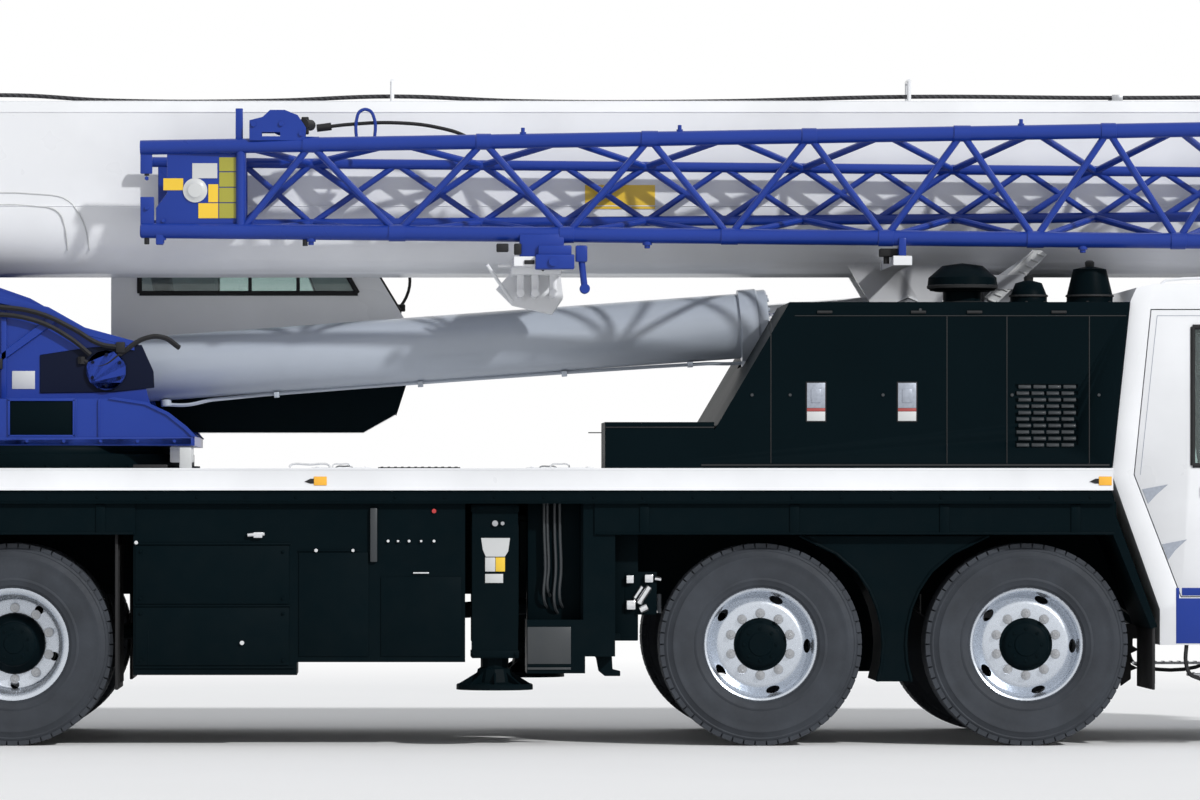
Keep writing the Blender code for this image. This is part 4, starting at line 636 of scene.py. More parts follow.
def light_world(scene):
    world = bpy.data.worlds.new("studio")
    scene.world = world
    world.use_nodes = True
    nodes, links = world.node_tree.nodes, world.node_tree.links
    soft = nodes["Background"]
    soft.inputs["Color"].default_value = (0.95, 0.97, 1.0, 1.0)
    soft.inputs["Strength"].default_value = 0.5
    white = nodes.new("ShaderNodeBackground")
    white.inputs["Color"].default_value = (1.0, 1.0, 1.0, 1.0)
    white.inputs["Strength"].default_value = 1.0
    path = nodes.new("ShaderNodeLightPath")
    total = None
    for name in ("Is Camera Ray", "Is Glossy Ray", "Is Transmission Ray"):
        if total is None:
            total = path.outputs[name]
            continue
        add = nodes.new("ShaderNodeMath")
        add.use_clamp = True
        links.new(total, add.inputs[0])
        links.new(path.outputs[name], add.inputs[1])
        total = add.outputs[0]
    mix = nodes.new("ShaderNodeMixShader")
    links.new(total, mix.inputs[0])
    links.new(soft.outputs[0], mix.inputs[1])
    links.new(white.outputs[0], mix.inputs[2])
    links.new(mix.outputs[0], nodes["World Output"].inputs["Surface"])


class CRANE_OT_finishes(bpy.types.Operator):
    """Gives every node of the solid model its finish, and shows the curved ones shaded smooth."""

    bl_idname = "crane.finishes"
    bl_label = "Finishes"

    def execute(self, context):
        make_finishes(context.scene.crane_colours)
        slots = {part["node"]: part["material_slot"] for part in frame["record"]["subparts"]}
        for name, node in NODES.items():
            node.data.materials.clear()
            node.data.materials.append(bpy.data.materials[slots[name]])
        for name in ("boom_base", "boom_section_2", "boom_section_3", "boom_section_4", "slew_ring",
                     "counterweight"):
            smooth_copy(name, slots[name])
        return {"FINISHED"}


def shoulder_blocks(x, y, outwards, blocks, centre):
    """Tread blocks round one shoulder, each with a slanted flank."""
    half = 0.0288 * 54 / blocks
    outline = [(-half, 0.0), (half, 0.0), (half * 0.96, outwards * 0.028), (-half * 0.96, outwards * 0.028)]
    item = plate(outline, "z", -0.026, 0.0, 0.0025)
    item = copied_and_cleared(item, (x, y, WHEEL_Z + 0.5415))
    return repeated_round(item, blocks, "y", centre)


def copied_and_cleared(item, place, turn=None):
    """The piece turned about the origin and moved to a place, its first one taken away."""
    twin = copied(item, place, turn)
    bpy.data.objects.remove(item)
    return twin


def tyre(x, y, blocks):
    """A radial truck tyre: grooved tread, shoulder blocks and ringed sidewalls."""
    centre = (x, y, WHEEL_Z)
    radius, half = 0.5415, 0.146
    side = [(0.298, 0.112), (0.318, 0.131), (0.338, 0.137), (0.344, 0.1405), (0.352, 0.1405), (0.357, 0.1385)]
    side += [(0.392, 0.1445), (0.425, half), (0.455, half - 0.001), (0.462, half + 0.0015),
             (0.47, half + 0.001)]
    side += [(0.476, half - 0.004), (0.498, half - 0.012), (0.504, half - 0.01), (0.512, half - 0.014)]
    side += [(0.524, half - 0.026), (0.527, 0.108), (0.527, 0.1), (radius, 0.096)]
    for groove in (0.064, 0.024):
        side += [(radius, groove + 0.008), (radius - 0.014, groove + 0.004)]
        side += [(radius - 0.014, groove - 0.004), (radius, groove - 0.008)]
    profile = side + [(r, -a) for r, a in reversed(side)]
    items = [turned(profile, "y", centre, 80)]
    for outwards in (-1, 1):
        items.append(shoulder_blocks(x, y + outwards * 0.102, outwards, blocks, centre))
    return items


def wheel_nuts(x, y, side, radius, centre, count=10):
    """Hexagon nuts on their washers, with the stud's end showing."""
    items = []
    for reach, size, sides in ((0.006, 0.026, 16), (0.028, 0.0185, 6), (0.04, 0.01, 10)):
        start = (x, y, WHEEL_Z + radius)
        items.append(rod(start, (x, y + side * reach, WHEEL_Z + radius), size, sides, 0.002))
    return repeated_round(joined(items), count, "y", centre)


def cut_holes(item, cutters):
    """Takes the cutters out of the piece."""
    cutter = joined(cutters)
    choose(item)
    modifier = item.modifiers.new("holes", "BOOLEAN")
    modifier.operation = "DIFFERENCE"
    modifier.solver = "EXACT"
    modifier.object = cutter
    bpy.ops.object.modifier_apply(modifier="holes")
    bpy.data.objects.remove(cutter)
    return item


HAND_HOLES = 5
HAND_HOLE_ANGLE = 70


def front_wheel(name, x, side_name, side, blocks):
    body = f"wheel_{name}_{side_name}"
    track = 1.1
    y = side * track
    centre = (x, y, WHEEL_Z)
    rubber_ring = done(tyre(x, y, blocks), f"tyre_{name}_{side_name}", "tyre_rubber", body, smooth=26)
    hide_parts(f"{body}_tyre")
    face = [(0.12, 0.07), (0.14, 0.087), (0.215, 0.088), (0.228, 0.085), (0.24, 0.074), (0.262, 0.058)]
    face += [(0.272, 0.052), (0.278, 0.06), (0.283, 0.106), (0.29, 0.117), (0.3, 0.121), (0.304, 0.118)]
    face += [(0.3035, 0.112), (0.297, 0.108), (0.297, -0.11), (0.27, -0.112), (0.266, 0.03)]
    face += [(0.24, 0.055), (0.215, 0.07), (0.12, 0.068)]
    disc = turned([(r, side * a) for r, a in face], "y", centre, 72)
    holes = []
    for index in range(HAND_HOLES):
        angle = math.radians(HAND_HOLE_ANGLE + 360 / HAND_HOLES * index)
        spot = Vector((x + side * -0.252 * math.cos(angle), 0, WHEEL_Z + 0.252 * math.sin(angle)))
        hole = rod((0, -0.2, 0), (0, 0.2, 0), 0.02, 20)
        hole.scale = (1.9, 1, 1)
        settle(hole)
        flipped = copied(hole, turn=Matrix.Rotation(math.atan2(spot.x - x, spot.z - WHEEL_Z), 4, "Y"))
        holes.append(copied_and_cleared(flipped, (spot.x, y, spot.z)))
        bpy.data.objects.remove(hole)
    cut_holes(disc, holes)
    done([disc], f"rim_{name}_{side_name}", "rim_silver", body, smooth=30)
    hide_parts(f"{body}_rim")
    nuts = wheel_nuts(x, y + side * 0.087, side, 0.166, centre)
    done([nuts], f"nuts_{name}_{side_name}", "steel", body)
    cap = [(0, 0.13), (0.06, 0.13), (0.066, 0.124), (0.108, 0.12), (0.118, 0.112), (0.126, 0.094)]
    cap += [(0.142, 0.09), (0.142, 0.05), (0.11, 0.04), (0.11, -0.075), (0, -0.075)]
    hub = turned([(r, side * a) for r, a in cap], "y", centre, 40)
    studs = rod((x, y + side * 0.11, WHEEL_Z + 0.086), (x, y + side * 0.128, WHEEL_Z + 0.086), 0.009, 6,
                0.0015)
    studs = repeated_round(studs, 8, "y", centre)
    done([hub, studs], f"hub_{name}_{side_name}", "black_paint", body)
    drum_shape = [(0.15, 0.03), (0.205, 0.03), (0.215, 0.02), (0.215, -0.1), (0.205, -0.11), (0.15, -0.11)]
    drum = turned([(r, side * a) for r, a in drum_shape], "y", centre, 48)
    done([drum], f"drum_{name}_{side_name}", "black_paint", body)


def rear_wheel(name, x, side_name, side, blocks):
    body = f"wheel_{name}_{side_name}"
    outer, inner = 1.1, 0.75
    centre = (x, side * outer, WHEEL_Z)
    rubber_rings = tyre(x, side * outer, blocks) + tyre(x, side * inner, blocks)
    rings = done(rubber_rings, f"tyres_{name}_{side_name}", "tyre_rubber", body, smooth=26)
    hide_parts(f"{body}_twin")
    dish = [(0.14, -0.106), (0.225, -0.105), (0.24, -0.098), (0.246, -0.08), (0.25, 0.02), (0.262, 0.06)]
    dish += [(0.268, 0.098), (0.28, 0.112), (0.292, 0.118), (0.301, 0.119), (0.304, 0.115), (0.303, 0.11)]
    dish += [(0.297, 0.106), (0.297, -0.108), (0.29, -0.116), (0.29, -0.244), (0.297, -0.252), (0.297, -0.46)]
    dish += [(0.27, -0.462), (0.262, -0.12), (0.14, -0.122)]
    rim = turned([(r, side * a) for r, a in dish], "y", centre, 64)
    slots = []
    for index in range(HAND_HOLES):
        angle = math.radians(36 + 360 / HAND_HOLES * index)
        spot = Vector((x + 0.222 * math.sin(angle), side * (outer - 0.11), WHEEL_Z + 0.222 * math.cos(angle)))
        slots.append(rod(spot - Vector((0, 0.03, 0)), spot + Vector((0, 0.03, 0)), 0.024, 18))
    cut_holes(rim, slots)
    done([rim], f"rim_{name}_{side_name}", "rim_silver", body, smooth=30)
    nuts = wheel_nuts(x, side * (outer - 0.106), side, 0.192, centre)
    done([nuts], f"nuts_{name}_{side_name}", "steel", body)
    cap = [(0, 0.018), (0.05, 0.018), (0.056, 0.012), (0.104, 0.01), (0.118, 0.0), (0.128, -0.03)]
    cap += [(0.158, -0.06), (0.166, -0.104), (0.166, -0.122), (0.11, -0.13), (0.11, -0.59), (0, -0.59)]
    hub = turned([(r, side * a) for r, a in cap], "y", centre, 40)
    studs = rod(
        (x, side * (outer - 0.004), WHEEL_Z + 0.084), (x, side * (outer + 0.016), WHEEL_Z + 0.084), 0.008, 6,
        0.0015
    )
    studs = repeated_round(studs, 10, "y", centre)
    done([hub, studs], f"hub_{name}_{side_name}", "black_paint", body)
    drum_shape = [(0.15, -0.25), (0.205, -0.25), (0.215, -0.26), (0.215, -0.455), (0.205, -0.465),
                  (0.15, -0.465)]
    drum = turned([(r, side * a) for r, a in drum_shape], "y", centre, 48)
    done([drum], f"drum_{name}_{side_name}", "black_paint", body)


class CRANE_OT_wheels(bpy.types.Operator):
    """Tyres, rims, nuts and hubs of all eight wheel stations."""

    bl_idname = "crane.wheels"
    bl_label = "Wheels"

    def execute(self, context):
        blocks = context.scene.crane_sizes.tread_blocks
        for side_name, side in SIDES:
            for name, x in FRONT_AXLES:
                front_wheel(name, x, side_name, side, blocks)
            for name, x in REAR_AXLES:
                rear_wheel(name, x, side_name, side, blocks)
        return {"FINISHED"}


# Lattice jib

# Chord name, its Y and Z at the tip, its Y and Z at the root, its radius
JIB_CHORDS = {
    "outer_top": (-0.75, 3.228, -1.13, 3.33, 0.04),
    "outer_bottom": (-0.75, 2.778, -1.13, 2.688, 0.042),
    "inner_top": (-0.45, 3.167, -0.45, 3.097, 0.028),
    "inner_bottom": (-0.45, 2.82, -0.45, 2.878, 0.028),
}
JIB_FACES = (
    ("outer_top", "outer_bottom"),
    ("inner_top", "outer_top"),
    ("inner_top", "inner_bottom"),
    ("inner_bottom", "outer_bottom"),
)
JIB_TIP = -2.185
JIB_ROOT = 5.1
JIB_FRAME = -1.64
JIB_SEATS = ((-0.01, 0.3), (1.93, 0.1), (4.1, 0.24))


def chord_at(chord, x):
    y_tip, z_tip, y_root, z_root, _ = JIB_CHORDS[chord]
    share = (x - JIB_TIP) / (JIB_ROOT - JIB_TIP)
    return Vector((x, y_tip + (y_root - y_tip) * share, z_tip + (z_root - z_tip) * share))


def jib_places():
    """Where the lacing meets the first chord of a face, and where the second."""
    nodes = [-1.259 + 0.935 * k - 0.019 * k * (k - 1) for k in range(8)]
    middles = [JIB_FRAME] + [(a + b) / 2 for a, b in zip(nodes, nodes[1:])]
    return nodes, middles


class CRANE_OT_jib(bpy.types.Operator):
    """The stowed lattice jib with its tip box, sheave block and seats."""

    bl_idname = "crane.jib"
    bl_label = "Lattice jib"

    def execute(self, context):
        items = []
        for chord, values in JIB_CHORDS.items():
            items.append(rod(chord_at(chord, JIB_TIP), chord_at(chord, JIB_ROOT), values[4], 20))
        nodes, middles = jib_places()
        for first, second in JIB_FACES:
            for index, x in enumerate(nodes):
                items.append(rod(chord_at(first, x), chord_at(second, middles[index]), 0.019, 10))
                if index + 1 < len(middles):
                    items.append(rod(chord_at(first, x), chord_at(second, middles[index + 1]), 0.019, 10))
        for x in (JIB_FRAME, JIB_ROOT - 0.06):
            corners = [chord_at(name, x) for name in ("outer_top", "outer_bottom", "inner_bottom",
                                                      "inner_top")]
            for start, end in zip(corners, corners[1:] + corners[:1]):
                items.append(rod(start, end, 0.026, 12))
        for chord in ("outer_top", "outer_bottom"):
            for x in nodes if chord == "outer_top" else middles[1:]:
                place = chord_at(chord, x)
                radius = JIB_CHORDS[chord][4]
                items.append(rod(place - Vector((0.045, 0, 0)), place + Vector((0.045, 0, 0)),
                                 radius + 0.004, 20))
        items += self.tip_box()
        items += self.fittings()
        for x, length in JIB_SEATS:
            low = chord_at("outer_bottom", x)
            half = length / 2 - 0.03
            items.append(block((x - half, low.y - 0.05, 2.63), (x + half, low.y + 0.05, low.z), 0.006))
        jib = done(items, "jib_lattice", "blue_paint", "boom")
        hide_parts("lattice_jib")
        crossing = []
        for index, x in enumerate(nodes):
            for middle in middles[index:index + 2]:
                crossing.append(rod(chord_at("inner_bottom", x), chord_at("inner_top", middle), 0.017, 10))
        done(crossing, "jib_cross_laces", "blue_paint", "boom")
        self.coloured_patches()
        self.black_parts()
        return {"FINISHED"}

    def tip_box(self):
        face = [(-2.1, 2.74), (-1.61, 2.745), (-1.61, 3.24), (-2.04, 3.24), (-2.04, 2.98), (-2.1, 2.9)]
        inner = [(-2.1, 2.79), (-1.61, 2.8), (-1.61, 3.18), (-2.1, 3.18)]
        items = [plate(face, "y", -0.768, -0.745, 0.004, 2), plate(inner, "y", -0.46, -0.44, 0.004)]
        items.append(rod((-1.88, -0.775, 2.99), (-1.88, -0.43, 2.99), 0.05, 24))
        for x, z in ((-2.15, 3.06), (-2.15, 2.9), (-2.06, 2.83), (-1.7, 2.79), (-1.7, 3.2)):
            items.append(rod((x, -0.78, z), (x, -0.744, z), 0.012, 6))
        items.append(block((-2.185, -0.765, 3.085), (-2.12, -0.745, 3.2), 0.004))
        items.append(block((-2.185, -0.765, 2.77), (-2.11, -0.745, 2.96), 0.004))
        items.append(block((-2.1, -0.79, 2.7), (-2.06, -0.71, 2.79), 0.005))
        return items

    def fittings(self):
        items = [block((-1.668, -0.772, 3.21), (-1.628, -0.738, 3.44), 0.004)]
        cheek = [(-1.592, 3.262), (-1.29, 3.262), (-1.284, 3.33), (-1.33, 3.4), (-1.4, 3.428)]
        cheek += [(-1.48, 3.428), (-1.52, 3.39), (-1.592, 3.372)]
        window = [(-1.525, 3.285), (-1.425, 3.285), (-1.425, 3.308), (-1.525, 3.308)]
        for low in (-0.828, -0.704):
            side = plate(cheek, "y", low, low + 0.012, 0.002)
            items.append(cut_holes(side, [plate(window, "y", low - 0.05, low + 0.06, 0)]))
        items.append(turned([(0, 0.045), (0.05, 0.045), (0.058, 0.03), (0.042, 0.012), (0.042, -0.012),
                             (0.058, -0.03), (0.05, -0.045), (0, -0.045)], "y", (-1.42, -0.76, 3.352), 28))
        for x, z in ((-1.57, 3.35), (-1.42, 3.352), (-1.31, 3.3)):
            items.append(rod((x, -0.84, z), (x, -0.68, z), 0.014, 10))
        for x in (-0.111, 0.735, 2.569, 3.9):
            top = chord_at("outer_top", x)
            items.append(rod(top, top + Vector((0, 0, 0.072)), 0.011, 10))
            items.append(rod(top, top + Vector((0, 0, 0.048)), 0.018, 10))
        for x in (-2.07, -1.258, 0.56, 2.9):
            low = chord_at("outer_bottom", x)
            items.append(rod(low, low - Vector((0, 0, 0.07)), 0.016, 10))
            items.append(rod(low, low - Vector((0, 0, 0.052)), 0.026, 12))
        return items

    def coloured_patches(self):
        front = -0.7685
        patches = {
            "yellow_paint": ((-2.06, -1.952, 2.995, 3.06), (-1.816, -1.762, 2.93, 3.028),
                             (-1.87, -1.762, 2.843, 2.925)),
            "olive_paint": ((-1.757, -1.643, 3.098, 3.174), (-1.757, -1.643, 3.014, 3.093),
                            (-1.757, -1.643, 2.93, 3.009), (-1.757, -1.643, 2.843, 2.925)),
            "pale_plate": ((-1.903, -1.767, 3.06, 3.142),),
        }
        for finish, places in patches.items():
            items = [block((a, front - 0.003, c), (b, front + 0.001, d), 0.001, 1) for a, b, c, d in places]
            done(items, f"jib_patch_{finish}", finish, "boom")
        boss = turned([(0, 0.022), (0.038, 0.02), (0.05, 0.01), (0.066, 0.008), (0.066, 0.0), (0, 0.0)],
                      "y", (0, 0, 0), 32)
        flipped = copied_and_cleared(boss, (-1.887, -0.768, 2.995), Matrix.Rotation(math.pi, 4, "Z"))
        done([flipped], "jib_boss", "pale_plate", "boom")

    def black_parts(self):
        items = [rod((-1.3, -0.815, 3.352), (-1.262, -0.705, 3.352), 0.03, 16)]
        items.append(block((-1.31, -0.8, 3.3), (-1.27, -0.72, 3.392), 0.006))
        items.append(hose([(-1.222, -0.64, 3.34), (-1.05, -0.62, 3.362), (-0.775, -0.6, 3.371),
                           (-0.56, -0.59, 3.345), (-0.42, -0.6, 3.3), (-0.33, -0.64, 3.235)], 0.011))
        items.append(rod((-1.228, -0.64, 3.34), (-1.15, -0.634, 3.35), 0.021, 14))
        for x in (-2.15, -1.29):
            low = chord_at("outer_bottom", x)
            items.append(rod(low - Vector((0, 0, 0.03)), low - Vector((0, 0, 0.075)), 0.014, 8))
        items.append(rod((-2.15, -0.75, 3.075), (-2.15, -0.75, 3.195), 0.014, 10))
        done(items, "jib_black_parts", "black_rubber", "boom")
        hoop = hose([(-1.009, -0.64, 3.235), (-1.009, -0.64, 3.4), (-0.99, -0.64, 3.434),
                     (-0.95, -0.64, 3.44), (-0.922, -0.64, 3.412), (-0.917, -0.64, 3.235)], 0.009)
        foot = block((-1.035, -0.665, 3.218), (-0.892, -0.615, 3.236), 0.004)
        done([hoop, foot], "jib_hoop", "blue_paint", "boom")
        triangle = plate([(5.04, 3.07), (5.095, 3.29), (5.095, 3.07)], "y", -1.175, -1.165, 0.002)
        done([triangle], "jib_root_gusset", "light_blue_paint", "boom")
        root = [block((4.89, -1.19, 3.06), (5.09, -1.172, 3.2), 0.005)]
        root.append(rod((5.0, -1.21, 3.12), (5.0, -0.43, 3.12), 0.03, 18))
        done(root, "jib_root_pin", "black_paint", "boom")


# Boom and its rope


def boom_half(z):
    """How far out the base section's skin stands at a height."""
    share = max(0.0, (2.93 - z) / 0.38)
    return 0.33 * math.sqrt(1 - share * share)


class CRANE_OT_boom(bpy.types.Operator):
    """Weld seams, pads, hoist rope and brackets of the telescopic boom."""

    bl_idname = "crane.boom"
    bl_label = "Boom"

    def execute(self, context):
        seams = []
        for y, z in ((0.3305, 2.932), (0.3305, 3.448), (0.27, 3.5105)):
            seams.append(rod((-3.74, y, z), (5.0, y, z), 0.0035, 8))
            seams.append(rod((-3.74, -y, z), (5.0, -y, z), 0.0035, 8))
        for x in (-3.4, -1.9, 4.68):
            seams.append(rod((x, -0.265, 3.5108), (x, 0.265, 3.5108), 0.0035, 8))
        done(seams, "boom_weld_seams", "white_paint", "boom")
        self.collars()
        self.ropes(context.scene.crane_sizes.rope)
        self.brackets()
        self.panel_lines()
        self.hook_dressing()
        patch = [block((0.243, y - 0.002, 2.915), (0.628, y + 0.002, 3.047), 0.001, 1) for y in (-0.3305,
            0.3305)]
        done(patch, "boom_side_patch", "yellow_paint", "boom")
        return {"FINISHED"}

    def panel_lines(self):
        """Edges of the doubling plates welded to the flanks over the boom's foot, drawn as thin raised lines whose
        grey is painted shade along the plate edges.
        """
        runs = ([(-3.74, 2.992), (-2.7, 2.992), (-2.6, 2.962), (-2.535, 2.88), (-2.5, 2.79), (-2.485, 2.69)],
                [(-3.74, 2.926), (-2.724, 2.926), (-2.65, 2.895), (-2.622, 2.83), (-2.61, 2.76),
                 (-2.606, 2.69)])
        lines = []
        for side in (-1, 1):
            for run in runs:
                lines.append(hose([(x, side * (boom_half(z) + 0.001), z) for x, z in run], 0.004, 6, 4))
        done(lines, "boom_plate_edge_shade_lines", "pale_plate", "boom")

    def hook_dressing(self):
        falls, trim = [], []
        for side in (-1, 1):
            for along in (-1, 1):
                falls.append(rod((6.18 + along * 0.18, side * 0.09, 1.74),
                                 (6.18 + along * 0.2203, side * 0.09, 2.47),
                                 0.0125, 12))
            trim.append(rod((6.18, side * 0.149, 1.74), (6.18, side * 0.172, 1.74), 0.046, 6, 0.004))
            for x, z in ((6.11, 1.52), (6.25, 1.52), (6.08, 1.83), (6.28, 1.83)):
                trim.append(rod((x, side * 0.149, z), (x, side * 0.162, z), 0.014, 6, 0.002))
        trim.append(rod((6.18, 0, 1.492), (6.18, 0, 1.44), 0.048, 6, 0.004))
        done(falls, "hook_falls", "rope_steel", "hook_block")
        done(trim, "hook_block_nuts", "steel", "hook_block")

    def collars(self):
        """Slide-pad covers and their screws round the front of each section."""
        fronts = (("boom", 5.08, 0.352, 3.532), ("boom_section_2", 5.245, 0.316, 3.496),
                  ("boom_section_3", 5.405, 0.28, 3.46), ("boom_section_4", 5.566, 0.244, 3.424))
        for body, x, half, top in fronts:
            items = []
            for y in (-half * 0.62, half * 0.62):
                items.append(block((x - 0.06, y - 0.06, top - 0.006), (x + 0.04, y + 0.06, top + 0.008),
                                   0.003))
                for dx in (-0.04, 0.02):
                    items.append(rod((x + dx, y, top), (x + dx, y, top + 0.016), 0.008, 6))
            for y in (-half, half):
                for z in (3.06, 3.33):
                    items.append(block((x - 0.06, y - 0.006, z - 0.05), (x + 0.04, y + 0.006, z + 0.05),
                                       0.003))
                    for dz in (-0.028, 0.028):
                        way = 0.01 if y > 0 else -0.01
                        items.append(rod((x - 0.01, y, z + dz), (x - 0.01, y + way, z + dz), 0.008, 6))
            done(items, f"{body}_pad_covers", "white_paint", body)

    def ropes(self, radius):
        points = [(-3.82, 0, 3.545), (-2.9, 0, 3.562), (-2.4, 0, 3.534), (-1.5, 0, 3.532), (-0.817, 0, 3.556),
                  (-0.1, 0, 3.53), (0.9, 0, 3.528), (2.048, 0, 3.554), (3.2, 0, 3.548), (4.3, 0, 3.556),
                  (5.12, 0, 3.562)]
        line = hose(points, radius, 10, 8)
        done([line], "hoist_rope", "rope_steel", "boom")
        points = [(5.18, 0.09, 3.548), (5.5, 0.09, 3.542), (5.84, 0.09, 3.532), (5.925, 0.09, 3.502),
                  (5.972, 0.09, 3.42), (5.985, 0.09, 3.3), (6.02, 0.09, 2.9), (6.09, 0.09, 2.69)]
        head = hose(points, radius, 10, 8)
        done([head], "head_rope", "rope_steel", "boom_section_4")
        guides = []
        for x in (-0.817, 2.048):
            for y in (-0.07, 0.07):
                guides.append(rod((x, y, 3.52), (x, y, 3.636), 0.0115, 10))
            guides.append(rod((x, -0.075, 3.636), (x, 0.075, 3.636), 0.0115, 10))
            guides.append(block((x - 0.04, -0.095, 3.508), (x + 0.04, 0.095, 3.522), 0.003))
        done(guides, "rope_guide_frames", "white_paint", "boom")
        rollers = []
        for x, body_z in ((-3.8, 3.525), (3.2, 3.53)):
            rollers.append(turned([(0, 0.07), (0.018, 0.07), (0.012, 0.05), (0.012, -0.05), (0.018, -0.07),
                                   (0, -0.07)], "y", (x, 0, body_z), 20))
            for y in (-0.085, 0.085):
                rollers.append(block((x - 0.03, y - 0.008, 3.5), (x + 0.03, y + 0.008, body_z + 0.03), 0.003))
        done(rollers, "rope_rollers", "steel", "boom")

    def brackets(self):
        """The carriers between boom and jib, with their clamps, pads and pins."""
        pale = [block((-0.17, -0.7, 2.54), (0.1, -0.23, 2.585), 0.006)]
        web = [(-0.16, 2.38), (0.06, 2.33), (0.12, 2.42), (0.09, 2.56), (-0.15, 2.56), (-0.25, 2.47)]
        pale.append(plate(web, "y", -0.42, -0.395, 0.004))
        for x in (-0.12, -0.04, 0.06):
            pale.append(rod((x, -0.7, 2.44), (x, -0.38, 2.44), 0.022, 14))
            pale.append(block((x - 0.02, -0.66, 2.43), (x + 0.02, -0.56, 2.56), 0.004))
        pale.append(block((-0.24, -0.64, 2.585), (0.15, -0.56, 2.6), 0.003))
        pale.append(rod((-0.3, -0.56, 2.6), (-0.16, -0.48, 2.4), 0.01, 8))
        done(pale, "jib_carrier_bracket", "white_paint", "boom")
        blue = [block((-0.046, -0.96, 2.56), (0.165, -0.82, 2.64), 0.008, 3)]
        blue.append(block((-0.03, -0.94, 2.63), (0.15, -0.84, 2.69), 0.006))
        blue.append(block((0.172, -0.93, 2.6), (0.236, -0.87, 2.69), 0.008))
        blue.append(rod((0.205, -0.9, 2.61), (0.222, -0.9, 2.452), 0.018, 12))
        blue.append(rod((0.222, -0.935, 2.456), (0.222, -0.865, 2.456), 0.028, 14))
        blue.append(rod((0.05, -0.975, 2.6), (0.05, -0.81, 2.6), 0.024, 14))
        done(blue, "jib_clamp", "blue_paint", "boom")
        black = [block((-0.255, -0.93, 2.655), (-0.19, -0.87, 2.7), 0.006)]
        black.append(block((-0.16, -0.93, 2.64), (-0.12, -0.87, 2.7), 0.006))
        black.append(block((-0.105, -0.935, 2.588), (-0.05, -0.865, 2.61), 0.004))
        black.append(hose([(-0.12, -0.9, 2.65), (-0.08, -0.9, 2.6), (-0.04, -0.89, 2.585),
                           (0.0, -0.85, 2.56)], 0.009))
        black.append(block((1.812, -0.96, 2.628), (1.953, -0.88, 2.672), 0.006))
        black.append(rod((1.85, -0.92, 2.59), (1.85, -0.92, 2.64), 0.016, 10))
        done(black, "jib_seat_pads", "black_rubber", "boom")


class CRANE_OT_lift_cylinder(bpy.types.Operator):
    """Smooth barrel, gland, oil lines and rod of the lift cylinder; the barrel's blue-grey is white paint darkened
    as painted shade.
    """

    bl_idname = "crane.lift_cylinder"
    bl_label = "Lift cylinder"

    def execute(self, context):
        base = Vector((-2.384, 0, 2.026))
        eye = Vector((2.032, 0, 2.348))
        length = (eye - base).length
        lean = Matrix.Translation(base) @ Matrix.Rotation(-math.atan2(eye.z - base.z, eye.x - base.x), 4, "Y")

        def leaned(item):
            item.matrix_world = lean @ item.matrix_world
            return settle(item)

        shell = [(0, 0.06), (0.11, 0.06), (0.135, 0.075), (0.18, 0.18), (0.18, 3.5), (0.2, 3.504),
                 (0.2, 3.6), (0.192, 3.61), (0.192, 3.652), (0.186, 3.66), (0.1103, 3.66), (0.1103, 0.43),
                 (0, 0.43)]
        items = [leaned(turned(shell, "x", (0, 0, 0), 64))]
        screw = rod((3.61, 0, 0.15), (3.672, 0, 0.15), 0.012, 6, 0.002)
        items.append(leaned(repeated_round(screw, 12, "x", (0, 0, 0))))
        half = 0.3997
        items.append(turned([(0, -0.15), (0.145, -0.15), (0.15, -0.145), (0.15, 0.145), (0.145, 0.15),
                             (0, 0.15)], "y", base, 40))
        items.append(rod(base - Vector((0, half, 0)), base + Vector((0, half, 0)), 0.08, 32, 0.004))
        items.append(leaned(rod((0.3, -0.04, -0.176), (0.3, -0.04, -0.215), 0.03, 16)))
        # The barrel here, and its oil lines below, take grey_paint: white paint darkened as painted shade
        barrel = done(items, "lift_barrel_shell", "grey_paint", "lift_barrel")
        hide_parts("lift_barrel")
        lines = [leaned(hose([(0.3, -0.04, -0.205), (0.42, -0.04, -0.214), (0.56, -0.03, -0.196),
                              (3.3, -0.03, -0.196), (3.45, -0.03, -0.206), (3.54, -0.03, -0.205)], 0.011))]
        for x in (0.9, 1.7, 2.5, 3.2):
            lines.append(leaned(block((x, -0.06, -0.21), (x + 0.03, 0.0, -0.178), 0.003)))
        lines.append(leaned(block((3.5, -0.06, -0.23), (3.59, 0.01, -0.195), 0.005)))
        done(lines, "lift_barrel_lines", "grey_paint", "lift_barrel")
        shaft = [leaned(turned([(0, 0.45), (0.1098, 0.45), (0.1098, length), (0, length)], "x", (0, 0, 0),
                               64))]
        shaft.append(turned([(0, -0.129), (0.126, -0.129), (0.13, -0.125), (0.13, 0.125), (0.126, 0.129),
                             (0, 0.129)], "y", eye, 40))
        inner = done(shaft, "lift_rod_shaft", "chrome", "lift_rod")
        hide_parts("lift_rod")
        pin = rod(eye - Vector((0, 0.185, 0)), eye + Vector((0, 0.185, 0)), 0.055, 28, 0.006)
        caps = [rod(eye + Vector((0, s * 0.176, 0)), eye + Vector((0, s * 0.19, 0)), 0.085, 8) for s in (-1,
            1)]
        done([pin] + caps, "lift_rod_pin", "steel", "boom")
        return {"FINISHED"}


# Slewing platform and operator's cab


def bolts(places, way, radius=0.012, height=0.01):
    """Hexagon heads at the places, standing out along a direction."""
    way = Vector(way)
    return [rod(Vector(place), Vector(place) + way * height, radius, 6, 0.0015) for place in places]


def line_of(start, end, count):
    start, end = Vector(start), Vector(end)
    return [start.lerp(end, index / (count - 1)) for index in range(count)]


